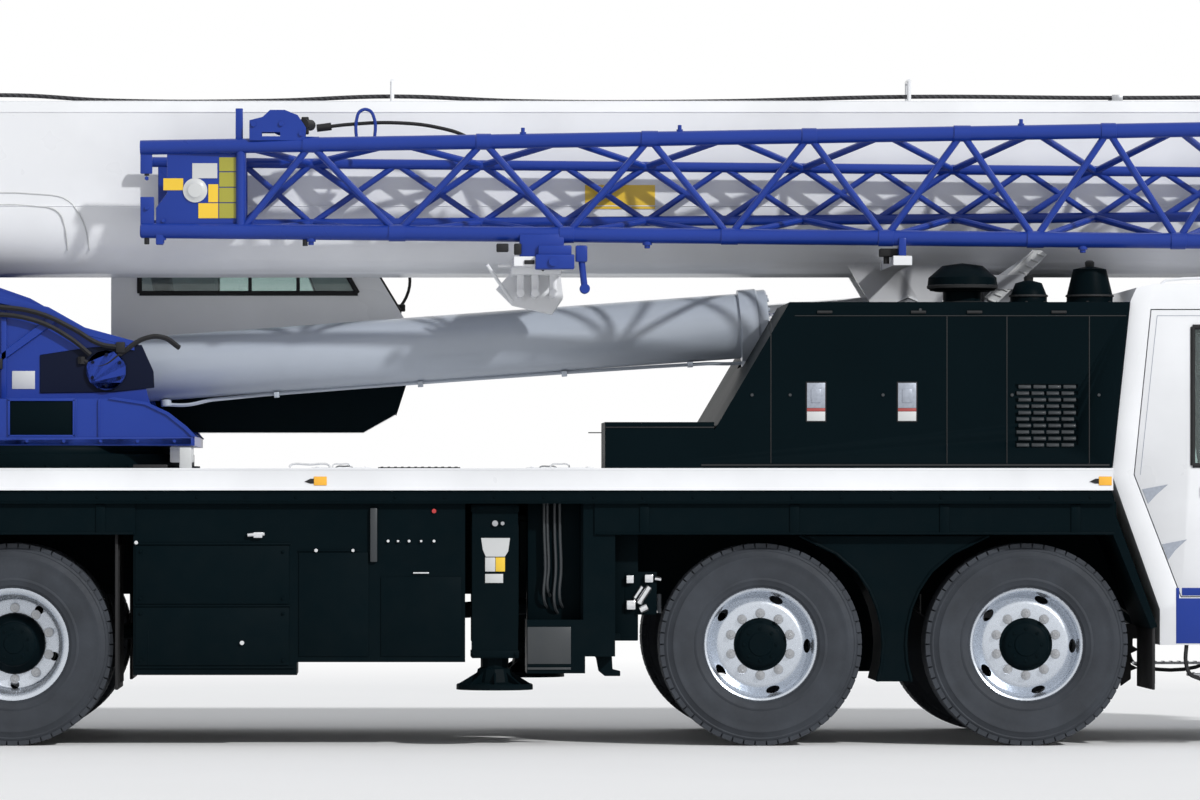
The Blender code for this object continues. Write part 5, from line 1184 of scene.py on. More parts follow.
class CRANE_OT_platform(bpy.types.Operator):
    """Flange, covers, hoses, winch rope and rails of the slewing platform."""

    bl_idname = "crane.platform"
    bl_label = "Slewing platform"

    def execute(self, context):
        self.skirts()
        self.covers_in_painted_shade()
        self.hoses()
        self.ring_bolts()
        self.counterweight_fittings()
        self.winch_rope(context.scene.crane_sizes.rope)
        return {"FINISHED"}

    def skirts(self):
        items = []
        for side in (-1, 1):
            y = side * 0.76
            out = side * 0.012
            low, high = sorted((y, y + out))
            items.append(block((-5.54, low, 1.612), (-1.9, high, 1.655), 0.003))
            ridge = [(-2.36, 1.862), (-2.33, 1.872), (-2.15, 1.846), (-2.03, 1.79), (-1.93, 1.712),
                     (-1.882, 1.66), (-1.905, 1.655), (-1.95, 1.7), (-2.045, 1.775), (-2.16, 1.83)]
            items.append(plate(ridge, "y", low, high, 0.002))
            for x in (-2.539, -2.414, -3.3, -4.1):
                items.append(block((x, low, 1.655),
                                   (x + 0.008, high - out * 0.5 if side > 0 else high, 1.86), 0.002))
            items += bolts(line_of((-5.4, y + out, 1.634), (-2.0, y + out, 1.634), 18), (0, side, 0), 0.01)
        for x in (-5.35, -4.6, -3.5):
            items.append(block((x, -0.33, 1.866), (x + 0.3, 0.33, 1.874), 0.003))
        done(items, "platform_trim", "blue_paint", "superstructure")
        # Black sheets where the skirt has openings: their black is painted shade inside the openings, and the slats
        # over the rear one are black as well
        dark = []
        for side in (-1, 1):
            low, high = sorted((side * 0.756, side * 0.7625))
            dark.append(block((-2.892, low, 1.668), (-2.552, high, 1.852), 0.002))
            dark.append(block((-3.9, low, 1.69), (-3.42, high, 1.836), 0.002))
        for side in (-1, 1):
            for index in range(6):
                z = 1.69 + index * 0.026
                low, high = sorted((side * 0.757, side * 0.768))
                dark.append(block((-3.88, low, z), (-3.44, high, z + 0.01), 0.002))
        done(dark, "platform_openings_painted_shade", "black_paint", "superstructure")
        frame_bars = []
        for side in (-1, 1):
            low, high = sorted((side * 0.758, side * 0.77))
            for a, b, c, d in ((-2.905, -2.54, 1.852, 1.866), (-2.905, -2.892, 1.66, 1.86),
                               (-2.552, -2.54, 1.66, 1.86), (-2.905, -2.54, 1.656, 1.668)):
                frame_bars.append(block((a, low, c), (b, high, d), 0.002))
        done(frame_bars, "platform_opening_frames", "blue_paint", "superstructure")
        blank = [block((-2.901, -0.4435, 1.923), (-2.775, -0.4395, 2.022), 0.002)]
        blank.append(block((-2.901, 0.4395, 1.923), (-2.775, 0.4435, 2.022), 0.002))
        done(blank, "platform_blank_plates", "pale_plate", "superstructure")

    def covers_in_painted_shade(self):
        # The navy covers are dark sheets over the blue side plates where these lie in shade: painted shade; the pin
        # caps are in the same navy
        items = []
        for side in (-1, 1):
            low, high = sorted((side * 0.44, side * 0.449))
            cover = [(-2.747, 1.9), (-2.35, 1.905), (-2.12, 1.93), (-2.125, 2.02), (-2.19, 2.165),
                     (-2.48, 2.15), (-2.747, 2.11)]
            items.append(plate(cover, "y", low, high, 0.003))
            items.append(rod((-2.384, side * 0.44, 2.026), (-2.384, side * 0.47, 2.026), 0.11, 32, 0.006))
            items += bolts([(-2.384 + 0.085 * math.cos(a), side * 0.47, 2.026 + 0.085 * math.sin(a))
                            for a in (0.5, 1.55, 2.6, 3.64, 4.7, 5.74)], (0, side, 0), 0.01, 0.008)
            items.append(rod((-4.19, side * 0.44, 2.75), (-4.19, side * 0.478, 2.75), 0.13, 36, 0.006))
            items += bolts([(-4.19 + 0.1 * math.cos(a), side * 0.478, 2.75 + 0.1 * math.sin(a))
                            for a in (0, 1.05, 2.1, 3.14, 4.19, 5.24)], (0, side, 0), 0.012, 0.01)
        done(items, "platform_covers_painted_shade", "navy_painted_shade", "superstructure")
        rails = []
        for side in (-1, 1):
            low, high = sorted((side * 0.4385, side * 0.462))
            edge = [(-3.9, 2.64), (-3.2, 2.5), (-2.967, 2.428), (-2.7, 2.372), (-2.501, 2.26),
                    (-2.23, 2.186), (-2.235, 2.15), (-2.516, 2.222), (-2.712, 2.336), (-2.975, 2.392),
                    (-3.21, 2.464), (-3.905, 2.604)]
            rails.append(plate(edge, "y", low, high, 0.003))
            for x, top in ((-5.3, 2.27), (-4.7, 2.3), (-3.3, 2.44), (-2.96, 2.35)):
                rails.append(block((x, low, 1.87), (x + 0.03, high, top), 0.003))
            slant = [(-3.25, 1.9), (-3.2, 1.9), (-2.64, 2.3), (-2.68, 2.33)]
            rails.append(plate(slant, "y", low, high, 0.003))
        done(rails, "platform_stiffeners", "blue_paint", "superstructure")

    def hoses(self):
        runs = [
            [(-2.52, -0.452, 2.08), (-2.418, -0.456, 2.049), (-2.3, -0.458, 2.12), (-2.172, -0.456, 2.2),
             (-2.073, -0.44, 2.206), (-1.985, -0.4, 2.15)],
            [(-3.05, -0.47, 2.38), (-2.76, -0.474, 2.34), (-2.56, -0.47, 2.25), (-2.42, -0.466, 2.17),
             (-2.3, -0.462, 2.15)],
            [(-3.1, -0.475, 2.34), (-2.78, -0.48, 2.3), (-2.58, -0.476, 2.2), (-2.47, -0.47, 2.11)],
            [(-3.4, -0.5, 1.9), (-3.3, -0.56, 2.06), (-3.1, -0.56, 2.1), (-2.98, -0.5, 2.06)],
            [(-3.4, 0.48, 1.9), (-3.3, 0.52, 2.06), (-3.0, 0.52, 2.1), (-2.7, 0.48, 2.0)],
        ]
        items = [hose(run, 0.015) for run in runs]
        for x, y, z in ((-2.52, -0.452, 2.08), (-3.4, -0.5, 1.885), (-3.4, 0.48, 1.885)):
            items.append(rod((x, y, z - 0.02), (x, y, z + 0.02), 0.022, 6, 0.003))
        items.append(block((-3.07, -0.5, 2.29), (-3.02, -0.438, 2.41), 0.006))
        items.append(block((-2.99, -0.53, 2.03), (-2.95, -0.438, 2.09), 0.006))
        items.append(block((-2.72, 0.438, 1.97), (-2.68, 0.5, 2.03), 0.006))
        items.append(block((-2.33, -0.48, 2.12), (-2.28, -0.438, 2.18), 0.006))
        done(items, "platform_hoses", "black_rubber", "superstructure")

    def ring_bolts(self):
        # rod() softens its ends only where the last piece left face selection on, so a first bar is made and removed
        bolt = rod((SLEW_X + 0.868, 0, 1.485), (SLEW_X + 0.868, 0, 1.484), 0.002, 6)
        bpy.data.objects.remove(bolt)
        heads = rod((SLEW_X + 0.9035, 0, 1.4845), (SLEW_X + 0.9035, 0, 1.502), 0.015, 6, 0.002)
        heads = repeated_round(heads, 48, "z", (SLEW_X, 0, 0))
        flange = turned([(0.884, 1.4845), (0.925, 1.4845), (0.925, 1.49), (0.884, 1.492)], "z",
                        (SLEW_X, 0, 0), 72)
        done([heads, flange], "ring_bolts", "black_paint", "carrier")
        low = [block((-2.03, -0.6, 1.52), (-1.905, -0.4, 1.608), 0.006)]
        done(low, "ring_light_box", "pale_plate", "superstructure")

    def counterweight_fittings(self):
        items = []
        for y in (-0.9, 0.9):
            items.append(block((-5.8, y - 0.06, 2.698), (-5.72, y + 0.06, 2.712), 0.004))
            items.append(hose([(-5.76, y - 0.045, 2.705), (-5.76, y - 0.04, 2.77), (-5.76, y, 2.795),
                               (-5.76, y + 0.04, 2.77), (-5.76, y + 0.045, 2.705)], 0.012))
        for z in (2.1, 2.4):
            seam = []
            for index in range(17):
                angle = math.radians(180 - 21.5 + 43.0 * index / 16)
                seam.append((SLEW_X + 3.2515 * math.cos(angle), 3.2515 * math.sin(angle), z))
            items.append(hose(seam, 0.004, 8, 2))
        done(items, "counterweight_fittings", "blue_paint", "superstructure")
        lamps = []
        for y in (-1.02, 1.02):
            x = SLEW_X - math.sqrt(3.25**2 - y * y)
            lamps.append(block((x - 0.003, y - 0.06, 1.9), (x + 0.03, y + 0.06, 1.96), 0.006, 3))
        done(lamps, "counterweight_reflectors", "red_lens", "superstructure")

    def winch_rope(self, radius):
        coils = []
        pitch = radius * 2.04
        count = int(0.58 / pitch)
        profile = [(0.168, -0.292)]
        for index in range(count):
            y = -0.285 + index * pitch
            for share, rise in ((0.0, 0.0), (0.25, 0.75), (0.5, 1.0), (0.75, 0.75)):
                profile.append((0.176 + rise * radius, y + share * pitch))
        profile += [(0.176, -0.285 + count * pitch), (0.168, 0.296)]
        coils.append(turned(profile, "y", (-5.0, 0, 2.11), 40))
        done(coils, "winch_windings", "rope_steel", "superstructure")
        lead = hose([(-5.01, 0.05, 2.3), (-4.8, 0.04, 2.48), (-4.52, 0.02, 2.74)], radius, 10, 4)
        done([lead], "winch_rope_lead", "rope_steel", "superstructure")
        motor = [rod((-5.0, 0.4405, 2.11), (-5.0, 0.56, 2.11), 0.12, 28, 0.01)]
        motor.append(rod((-5.0, 0.555, 2.11), (-5.0, 0.68, 2.11), 0.075, 24, 0.01))
        motor += bolts([(-5.0 + 0.1 * math.cos(a), 0.56, 2.11 + 0.1 * math.sin(a))
                        for a in (0.2, 1.25, 2.3, 3.35, 4.4, 5.45)], (0, 1, 0), 0.01)
        done(motor, "winch_motor", "grey_paint", "superstructure")


class CRANE_OT_operator_cab(bpy.types.Operator):
    """Window rubbers, dark skirt, wipers, lamps and door handle of the operator's cab."""

    bl_idname = "crane.operator_cab"
    bl_label = "Operator's cab"

    def execute(self, context):
        window = [(-2.24, 2.48), (-1.01, 2.48), (-1.42, 3.2), (-2.24, 3.2)]
        rubber_strips = frame_of(window, 0.497, 0.014)
        for x, top in ((-1.617, 3.19), (-1.346, 3.06)):
            rubber_strips.append(block((x - 0.01, 0.492, 2.484), (x + 0.01, 0.51, top), 0.003))
        low, high = Vector((-0.7445, 2.33)), Vector((-1.321, 3.28))
        up = (high - low).normalized()
        for y in (0.56, 1.248):
            start, end = low + up * 0.06, high - up * 0.06
            rubber_strips.append(rod((start[0], y, start[1]), (end[0], y, end[1]), 0.014, 10))
        for share in (0.06, (high - low).length - 0.06):
            point = low + up * share
            rubber_strips.append(rod((point[0], 0.56, point[1]), (point[0], 1.248, point[1]), 0.014, 10))
        rubber_strips.append(rod((-0.8, 0.9, 2.42), (-1.08, 0.76, 2.9), 0.007, 8))
        rubber_strips.append(block((-0.79, 0.86, 2.39), (-0.74, 0.94, 2.43), 0.006))
        done(rubber_strips, "operator_window_rubbers", "black_rubber", "superstructure")
        skirt = []
        outline = [(-2.405, 1.695), (-0.978, 1.695), (-0.796, 1.797), (-0.738, 1.968), (-0.742, 1.985),
                   (-2.405, 1.985)]
        skirt.append(plate(outline, "y", 0.494, 0.4995, 0.001))
        skirt.append(plate([(-0.79, 1.8), (-0.735, 1.97), (-0.741, 1.985), (-0.797, 1.806)], "y", 0.5, 1.306,
                           0.001))
        done(skirt, "operator_cab_skirt", "black_paint", "superstructure")
        roof = [block((-2.2, 0.6, 3.348), (-1.5, 1.2, 3.362), 0.006)]
        roof.append(block((-2.05, 0.7, 3.362), (-1.65, 1.1, 3.376), 0.006))
        roof.append(block((-1.38, 0.54, 3.18), (-1.29, 1.3, 3.215), 0.008))
        done(roof, "operator_roof_panel", "white_paint", "superstructure")
        lamps = [rod((-1.33, y, 3.395), (-1.27, y, 3.385), 0.055, 24, 0.008) for y in (0.65, 1.15)]
        done(lamps, "operator_work_lamps", "clear_lens", "superstructure")
        posts = [rod((-1.33, y, 3.39), (-1.36, y, 3.345), 0.014, 10) for y in (0.65, 1.15)]
        posts.append(hose([(-0.83, 1.3, 2.35), (-0.72, 1.345, 2.52), (-0.72, 1.35, 2.7)], 0.009))
        posts.append(block((-0.735, 1.29, 2.64), (-0.705, 1.372, 2.9), 0.012, 3))
        done(posts, "operator_mirror_and_posts", "black_rubber", "superstructure")
        window = [(-1.82, 2.15), (-1.24, 2.15), (-1.24, 2.48), (-1.5, 3.16), (-1.82, 3.16)]
        door = frame_of(window, 1.35, 0.012)
        door.append(block((-1.88, 1.348, 2.18), (-1.85, 1.372, 2.4), 0.008))
        done(door, "operator_door_trim", "black_rubber", "operator_door")
        pane = plate(window, "y", 1.328, 1.334, 0.001)
        done([pane], "operator_door_glass", "glass", "operator_door")
        wheel = turned([(0.15, 0.0), (0.158, 0.01), (0.166, 0.0), (0.158, -0.01)], "z", (0, 0, 0), 28)
        levers = [copied_and_cleared(wheel, (-1.12, 0.92, 2.33), Matrix.Rotation(math.radians(-28), 4, "Y"))]
        levers.append(rod((-1.12, 0.92, 2.3), (-1.06, 0.92, 2.15), 0.018, 12))
        for y in (0.64, 0.7, 1.18, 1.24):
            levers.append(rod((-1.5, y, 2.09), (-1.48, y, 2.3), 0.007, 8))
            levers.append(rod((-1.481, y, 2.29), (-1.478, y, 2.335), 0.016, 12))
        done(levers, "operator_controls", "inside_grey", "superstructure")
        return {"FINISHED"}


# Carrier: deck, side gear, outriggers and hood


def both_sides(items):
    """The pieces and their mirror images on the machine's left."""
    return items + [mirrored(item) for item in items]


def sheet_block(x, y, z, edge=0.003):
    """A softened box from three pairs of limits, in either order."""
    pairs = [sorted(pair) for pair in (x, y, z)]
    return block([pair[0] for pair in pairs], [pair[1] for pair in pairs], edge)


class CRANE_OT_deck(bpy.types.Operator):
    """The deck with its channel edges, hatches, seams, bolts, mats and side markers."""

    bl_idname = "crane.deck"
    bl_label = "Deck"

    def execute(self, context):
        self.plating()
        self.fittings()
        self.markers()
        return {"FINISHED"}

    def plating(self):
        top = (1.446, 1.484)
        plates = [
            sheet_block((-6.447, 1.25), (-1.368, 1.368), top),
            sheet_block((2.75, 3.018), (-1.368, 1.368), top),
            sheet_block((1.25, 2.75), (-1.368, -0.5), top),
            sheet_block((1.25, 2.75), (0.5, 1.368), top),
        ]
        done(plates, "deck_plate", "deck_white", "carrier")
        channel = [(-1.375, 1.366), (-1.375, 1.377), (-1.3705, 1.382), (-1.3705, 1.472), (-1.375, 1.476),
                   (-1.375, 1.4845), (-1.35, 1.4845), (-1.35, 1.366)]
        edge = plate(channel, "x", -6.45, 3.02, 0.001)
        ends = [sheet_block((-6.45, -6.43), (-1.35, 1.35), (1.366, 1.4845))]
        ribs = [
            sheet_block((x, x + 0.06), (-1.27, 1.27), (1.3605, 1.447))
            for x in (-6.1, -5.1, -4.1, -3.2, -2.3, -1.4, -0.55, 0.4, 1.05, 2.9)
        ]
        item = done(both_sides([edge]) + ends + ribs, "deck_edges", "white_paint", "carrier")
        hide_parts("deck")

    def fittings(self):
        seams, lids, grips = [], [], []
        for x in (-5.07, -4.07, -1.37, -0.52, 0.33):
            for y in ((-1.345, -0.95), (0.95, 1.345)):
                seams.append(sheet_block((x, x + 0.004), y, (1.483, 1.4848), 0.0005))
        for y in (-0.945, 0.945):
            seams.append(sheet_block((-6.4, 0.78), (y, y + 0.004), (1.483, 1.4848), 0.0005))
        done(seams, "deck_seams", "black_rubber", "carrier")
        for side in (-1, 1):
            for x, long in ((-6.25, 0.42), (-5.65, 0.42), (-4.9, 0.6), (-1.25, 0.32), (-0.1, 0.36)):
                y = side * 1.15
                lids.append(sheet_block((x, x + long), (y - 0.15, y + 0.15), (1.483, 1.4885), 0.002))
                for at in (x + 0.03, x + long - 0.03):
                    lids += bolts([(at, y - 0.125, 1.488), (at, y + 0.125, 1.488)], (0, 0, 1), 0.009, 0.005)
                middle = x + long / 2
                grips.append(hose([(middle - 0.05, y, 1.487), (middle - 0.046, y, 1.502), (middle, y, 1.508),
                                   (middle + 0.046, y, 1.502), (middle + 0.05, y, 1.487)], 0.005))
        done(lids, "deck_lids", "white_paint", "carrier")
        grips.append(hose([(-1.366, -1.345, 1.487), (-1.362, -1.345, 1.5), (-1.26, -1.345, 1.504),
                           (-1.156, -1.345, 1.5), (-1.152, -1.345, 1.487)], 0.007))
        done(grips, "deck_grips", "chrome", "carrier")
        mats = [sheet_block((-0.895, -0.456), (-1.34, -0.96), (1.484, 1.49))]
        mats.append(sheet_block((-2.207, -2.028), (-1.18, -1.02), (1.484, 1.5045)))
        for index in range(12):
            x = -0.88 + index * 0.036
            mats.append(sheet_block((x, x + 0.014), (-1.33, -0.97), (1.49, 1.493), 0.001))
        for side in (-1, 1):
            mats.append(sheet_block((-6.42, -6.34), (side * 0.4, side * 1.3), (1.484, 1.489)))
        done(mats, "deck_mats", "black_rubber", "carrier")
        lamp_box = [sheet_block((-1.963, -1.898), (-1.06, -0.99), (1.484, 1.597), 0.006)]
        done(lamp_box, "deck_light_box", "pale_plate", "carrier")

    def markers(self):
        lenses, bases = [], []
        for x in (-6.2, -3.6, -1.225, 2.955):
            lenses.append(sheet_block((x - 0.012, x + 0.058), (-1.3748, -1.368), (1.392, 1.44), 0.004))
            bases.append(plate([(x - 0.062, 1.412), (x - 0.03, 1.428), (x - 0.012, 1.428), (x - 0.012, 1.402),
                                (x - 0.03, 1.402)], "y", -1.3745, -1.37, 0.001))
        done(both_sides(lenses), "deck_marker_lenses", "amber_lens", "carrier")
        done(both_sides(bases), "deck_marker_bases", "black_rubber", "carrier")


class CRANE_OT_side_gear(bpy.types.Operator):
    """Lids, latches, straps, steps, flaps and piping along both sides under the deck."""

    bl_idname = "crane.side_gear"
    bl_label = "Side gear"

    def execute(self, context):
        self.right_boxes()
        self.left_boxes()
        self.shared()
        self.pipes()
        self.wheel_webs()
        return {"FINISHED"}

    def right_boxes(self):
        lids = [
            sheet_block((-2.19, -1.37), (-1.326, -1.318), (0.76, 1.072)),
            sheet_block((-2.19, -1.37), (-1.326, -1.318), (0.432, 0.742)),
            sheet_block((-1.318, -0.945), (-1.326, -1.318), (0.48, 1.035)),
            sheet_block((-0.88, -0.45), (-1.326, -1.318), (0.48, 0.905)),
            sheet_block((-2.196, -1.36), (-1.332, -1.318), (1.076, 1.086)),
            sheet_block((-2.196, -1.36), (-1.33, -1.318), (0.746, 0.754)),
            sheet_block((-2.196, -1.34), (-1.33, -1.318), (0.416, 0.426)),
            sheet_block((-1.322, -1.0), (-1.33, -1.318), (1.04, 1.047)),
            sheet_block((-2.125, -2.117), (-1.328, -1.318), (0.432, 0.622)),
            sheet_block((-5.44, -4.93), (-1.326, -1.318), (0.64, 1.23)),
        ]
        lids += bolts([(x, -1.326, z) for x in (-2.16, -1.4) for z in (0.79, 1.04, 0.46, 0.71)], (0, -1, 0),
                      0.008)
        done(lids, "toolbox_lids", "black_paint", "carrier")
        bright = [
            rod((-1.59, -1.336, 1.128), (-1.5, -1.336, 1.134), 0.011, 12),
            sheet_block((-1.56, -1.51), (-1.346, -1.32), (1.112, 1.144), 0.006),
            rod((-2.184, -1.32, 1.088), (-2.184, -1.336, 1.088), 0.01, 12),
            rod((-1.62, -1.326, 0.553), (-1.62, -1.342, 0.553), 0.012, 12),
        ]
        bright += bolts([(x, -1.322, 1.046) for x in (-1.225, -1.028)], (0, -1, 0), 0.01, 0.014)
        bright += bolts([(x, -1.322, 1.096) for x in (-0.841, -0.788, -0.729, -0.665, -0.596)], (0, -1, 0),
                        0.008, 0.014)
        bright.append(sheet_block((-0.708, -0.623), (-1.332, -1.32), (0.922, 0.93), 0.002))
        done(bright, "toolbox_latches", "chrome", "carrier")
        slot = [sheet_block((-0.937, -0.899), (-1.344, -1.318), (0.984, 1.272), 0.006)]
        slot.append(sheet_block((-0.098, 0.134), (-1.3235, -1.318), (0.44, 0.638)))
        slot.append(sheet_block((-0.098, 0.134), (-1.328, -1.318), (0.409, 0.422)))
        done(slot, "locker_strap", "dark_grey", "carrier")
        red = [rod((-0.596, -1.32, 1.256), (-0.596, -1.33, 1.256), 0.012, 12)]
        done(red, "locker_reflector", "red_lens", "carrier")

    def left_boxes(self):
        tank = [
            plate([(1.324, 0.44), (1.336, 0.47), (1.336, 1.28), (1.324, 1.3)], "x", x, x + 0.06, 0.002)
            for x in (-2.08, -1.44)
        ]
        tank += bolts([(x + 0.03, 1.334, z) for x in (-2.08, -1.44) for z in (0.5, 1.24)], (0, 1, 0), 0.01)
        tank.append(sheet_block((-1.23, -0.45), (1.318, 1.326), (0.56, 0.9)))
        tank.append(sheet_block((-1.23, -0.45), (1.318, 1.326), (0.925, 1.24)))
        tank.append(sheet_block((-5.44, -4.93), (1.318, 1.326), (0.64, 1.23)))
        done(tank, "left_box_lids", "black_paint", "carrier")
        bright = [turned([(0.0, 0.0), (0.055, 0.0), (0.055, 0.03), (0.03, 0.04), (0.0, 0.04)], "y",
                         (-1.76, 1.3235, 1.2), 32)]
        for x in (-1.1, -0.6):
            bright.append(sheet_block((x, x + 0.03), (1.324, 1.342), (0.885, 0.94), 0.004))
        bright.append(hose([(-1.95, 1.322, 0.82), (-1.95, 1.338, 0.82), (-1.76, 1.342, 0.82),
                            (-1.57, 1.338, 0.82), (-1.57, 1.322, 0.82)], 0.01))
        done(bright, "left_box_latches", "chrome", "carrier")

    def shared(self):
        rails = [sheet_block((-5.45, 3.01), (-1.364, -1.356), (1.305, 1.312), 0.002)]
        rails.append(sheet_block((-5.45, 3.01), (-1.364, -1.356), (1.352, 1.36), 0.002))
        for x in (-4.7, -3.9, -3.1, -2.4, 0.5, 1.3, 2.1, 2.8):
            rails.append(sheet_block((x, x + 0.05), (-1.337, -1.328), (1.14, 1.292), 0.003))
        rails += bolts(line_of((-5.3, -1.36, 1.33), (2.9, -1.36, 1.33), 32), (0, -1, 0), 0.007, 0.006)
        rails.append(sheet_block((-4.9, -2.2), (-1.336, -1.328), (1.13, 1.142), 0.003))
        rails.append(sheet_block((0.27, 3.03), (-1.336, -1.328), (1.13, 1.142), 0.003))
        done(both_sides(rails), "side_rails", "black_paint", "carrier")
        flaps = []
        for x, low, high in ((-2.3, 0.3, 1.135), (-4.85, 0.3, 1.135), (3.24, 0.301, 0.64)):
            flaps.append(sheet_block((x, x + 0.016), (-1.27, -0.62), (low, high), 0.004))
            for index in range(5):
                y = -1.23 + index * 0.135
                flaps.append(sheet_block((x + 0.015, x + 0.022), (y, y + 0.02), (low + 0.03, high - 0.06),
                                         0.002))
        ragged = [(3.15, 0.64), (3.262, 0.64), (3.262, 0.56), (3.215, 0.56), (3.215, 0.52), (3.25, 0.5),
                  (3.205, 0.48), (3.205, 0.42), (3.245, 0.4), (3.205, 0.385), (3.205, 0.34), (3.15, 0.301)]
        flaps.append(plate(ragged, "y", -0.65, -0.622, 0.003))
        done(both_sides(flaps), "mud_flaps", "black_rubber", "carrier")

    def pipes(self):
        runs = []
        for x, low in ((-0.006, 0.72), (0.012, 0.78), (0.05, 0.69), (0.078, 0.72)):
            runs.append(hose([(x, -1.215, 1.3), (x, -1.222, 1.15), (x + 0.006, -1.225, 0.95),
                              (x, -1.215, low + 0.06), (x + 0.03, -1.15, low)], 0.008))
        done(runs, "outrigger_hoses", "dark_grey", "carrier")
        # The first black block is a sheet that closes the view behind the outrigger hoses, where there is only
        # shade: painted shade
        cabinet = [sheet_block((-0.095, 0.195), (-1.18, -0.92), (0.66, 1.3), 0.01)]
        cabinet.append(sheet_block((0.19, 0.36), (-1.26, -1.0), (0.56, 1.3), 0.008))
        cabinet.append(sheet_block((0.35, 0.5), (-1.15, -1.11), (0.56, 1.29), 0.006))
        shape = [(0.187, 0.565), (0.262, 0.565), (0.24, 0.5), (0.272, 0.47), (0.285, 0.4), (0.318, 0.373),
                 (0.401, 0.373), (0.401, 0.4), (0.36, 0.41), (0.352, 0.565), (0.401, 0.565), (0.401, 0.6),
                 (0.187, 0.6)]
        cabinet.append(plate(shape, "y", -1.23, -1.18, 0.003))
        done(cabinet, "valve_cabinet_and_shade_sheet", "black_paint", "carrier")
        valves = [
            sheet_block((0.433, 0.476), (-1.182, -1.15), (0.868, 0.912), 0.006),
            sheet_block((0.534, 0.58), (-1.182, -1.15), (0.872, 0.916), 0.006),
            rod((0.59, -1.165, 0.895), (0.622, -1.165, 0.89), 0.01, 10),
            rod((0.56, -1.166, 0.85), (0.5, -1.166, 0.76), 0.018, 12),
            rod((0.52, -1.166, 0.85), (0.48, -1.166, 0.79), 0.01, 12),
            sheet_block((0.433, 0.486), (-1.182, -1.15), (0.726, 0.778), 0.008),
            rod((0.51, -1.166, 0.724), (0.548, -1.166, 0.742), 0.02, 12),
        ]
        carrier = sheet_block((0.425, 0.6), (-1.152, -1.13), (0.7, 0.93), 0.004)
        done([carrier], "valve_bracket", "black_paint", "carrier")
        done(valves, "air_valves", "chrome", "carrier")

    def wheel_webs(self):
        """A black web between the two front wheels, clear of both when they are steered."""
        kingpin, half_chord = 0.33, WHEEL_Z
        left, right = [], []
        for index in range(9):
            z = 0.345 + index * (1.125 - 0.345) / 8
            rise = min(abs(z - WHEEL_Z), half_chord)
            chord = math.sqrt(half_chord**2 - rise**2)
            if chord > 0.471:
                reach = math.hypot(chord, kingpin)
            else:
                reach = 0.819 * chord + 0.574 * kingpin
            left.append((1.152 + reach + 0.016, z))
            right.append((2.574 - reach - 0.016, z))
        web = plate(left + right[::-1], "y", -1.27, -0.64, 0.004)
        lip = [
            rod((x, -1.272, z), (x2, -1.272, z2), 0.008, 8)
            for (x, z), (x2, z2) in list(zip(left, left[1:])) + list(zip(right, right[1:]))
        ]
        done(both_sides([web] + lip), "front_wheel_webs", "black_paint", "carrier")


class CRANE_OT_outriggers(bpy.types.Operator):
    """Blank labels, flanges, bolts, hose ports and float ribs of the four outriggers."""

    bl_idname = "crane.outriggers"
    bl_label = "Outriggers"

    def execute(self, context):
        places = (("front", "right", -0.27, -1), ("front", "left", -0.03, 1),
                  ("rear", "right", -5.88, -1), ("rear", "left", -5.64, 1))
        for pair, side_name, x, side in places:
            self.jack_box(f"outrigger_{pair}_{side_name}", x, side)
        return {"FINISHED"}

    def jack_box(self, name, x, side):
        face = side * 1.29
        out = side * 0.004
        pale = [
            plate([(x - 0.075, 1.112), (x + 0.08, 1.112), (x + 0.07, 1.04), (x + 0.052, 1.012),
                   (x - 0.05, 1.012), (x - 0.066, 1.05)], "y", *sorted((face, face + out)), 0.001),
            sheet_block((x - 0.053, x + 0.001), (face, face + out), (0.933, 1.008), 0.001),
            sheet_block((x - 0.053, x + 0.043), (face, face + out), (0.872, 0.92), 0.001),
        ]
        done(pale, name + "_blank_label", "pale_plate", name + "_beam")
        sign = [sheet_block((x + 0.003, x + 0.053), (face, face + out), (0.933, 1.008), 0.001)]
        done(sign, name + "_yellow_label", "yellow_paint", name + "_beam")
        dark = []
        for z in (1.268, 0.492):
            dark.append(sheet_block((x - 0.128, x + 0.128), (side * 1.04, side * 1.294),
                                    (z - 0.018, z + 0.018), 0.003))
        for dx in (-0.112, 0.112):
            dark += bolts([(x + dx, side * 1.294, z) for z in (1.268, 0.492)], (0, side, 0), 0.009)
        low, high = sorted((side * 1.0445, side * 1.2905))
        for dx in (-1, 1):
            dark.append(sheet_block((x + dx * 0.1225, x + dx * 0.127), (low + 0.04, high - 0.04),
                                    (0.56, 1.18), 0.002))
        done(dark, name + "_flanges", "black_paint", name + "_beam")
        port = [rod((x, side * 1.29, 1.19), (x, side * 1.306, 1.19), 0.016, 12),
                rod((x + 0.04, side * 1.29, 1.19), (x + 0.04, side * 1.304, 1.19), 0.011, 12)]
        done(port, name + "_ports", "steel", name + "_beam")
        ribs = []
        for index in range(8):
            angle = math.tau * index / 8
            rib = plate([(0.07, 0.338), (0.195, 0.322), (0.195, 0.33), (0.08, 0.4)], "y", -0.005, 0.005,
                        0.001)
            ribs.append(copied(rib, (x, side * 1.1675, 0), Matrix.Rotation(angle, 4, "Z")))
            bpy.data.objects.remove(rib)
        ribs.append(turned([(0.192, 0.3), (0.2045, 0.3), (0.2045, 0.326), (0.198, 0.332), (0.192, 0.326)],
                           "z",
                           (x, side * 1.1675, 0), 48))
        done(ribs, name + "_float_ribs", "black_paint", name + "_jack")


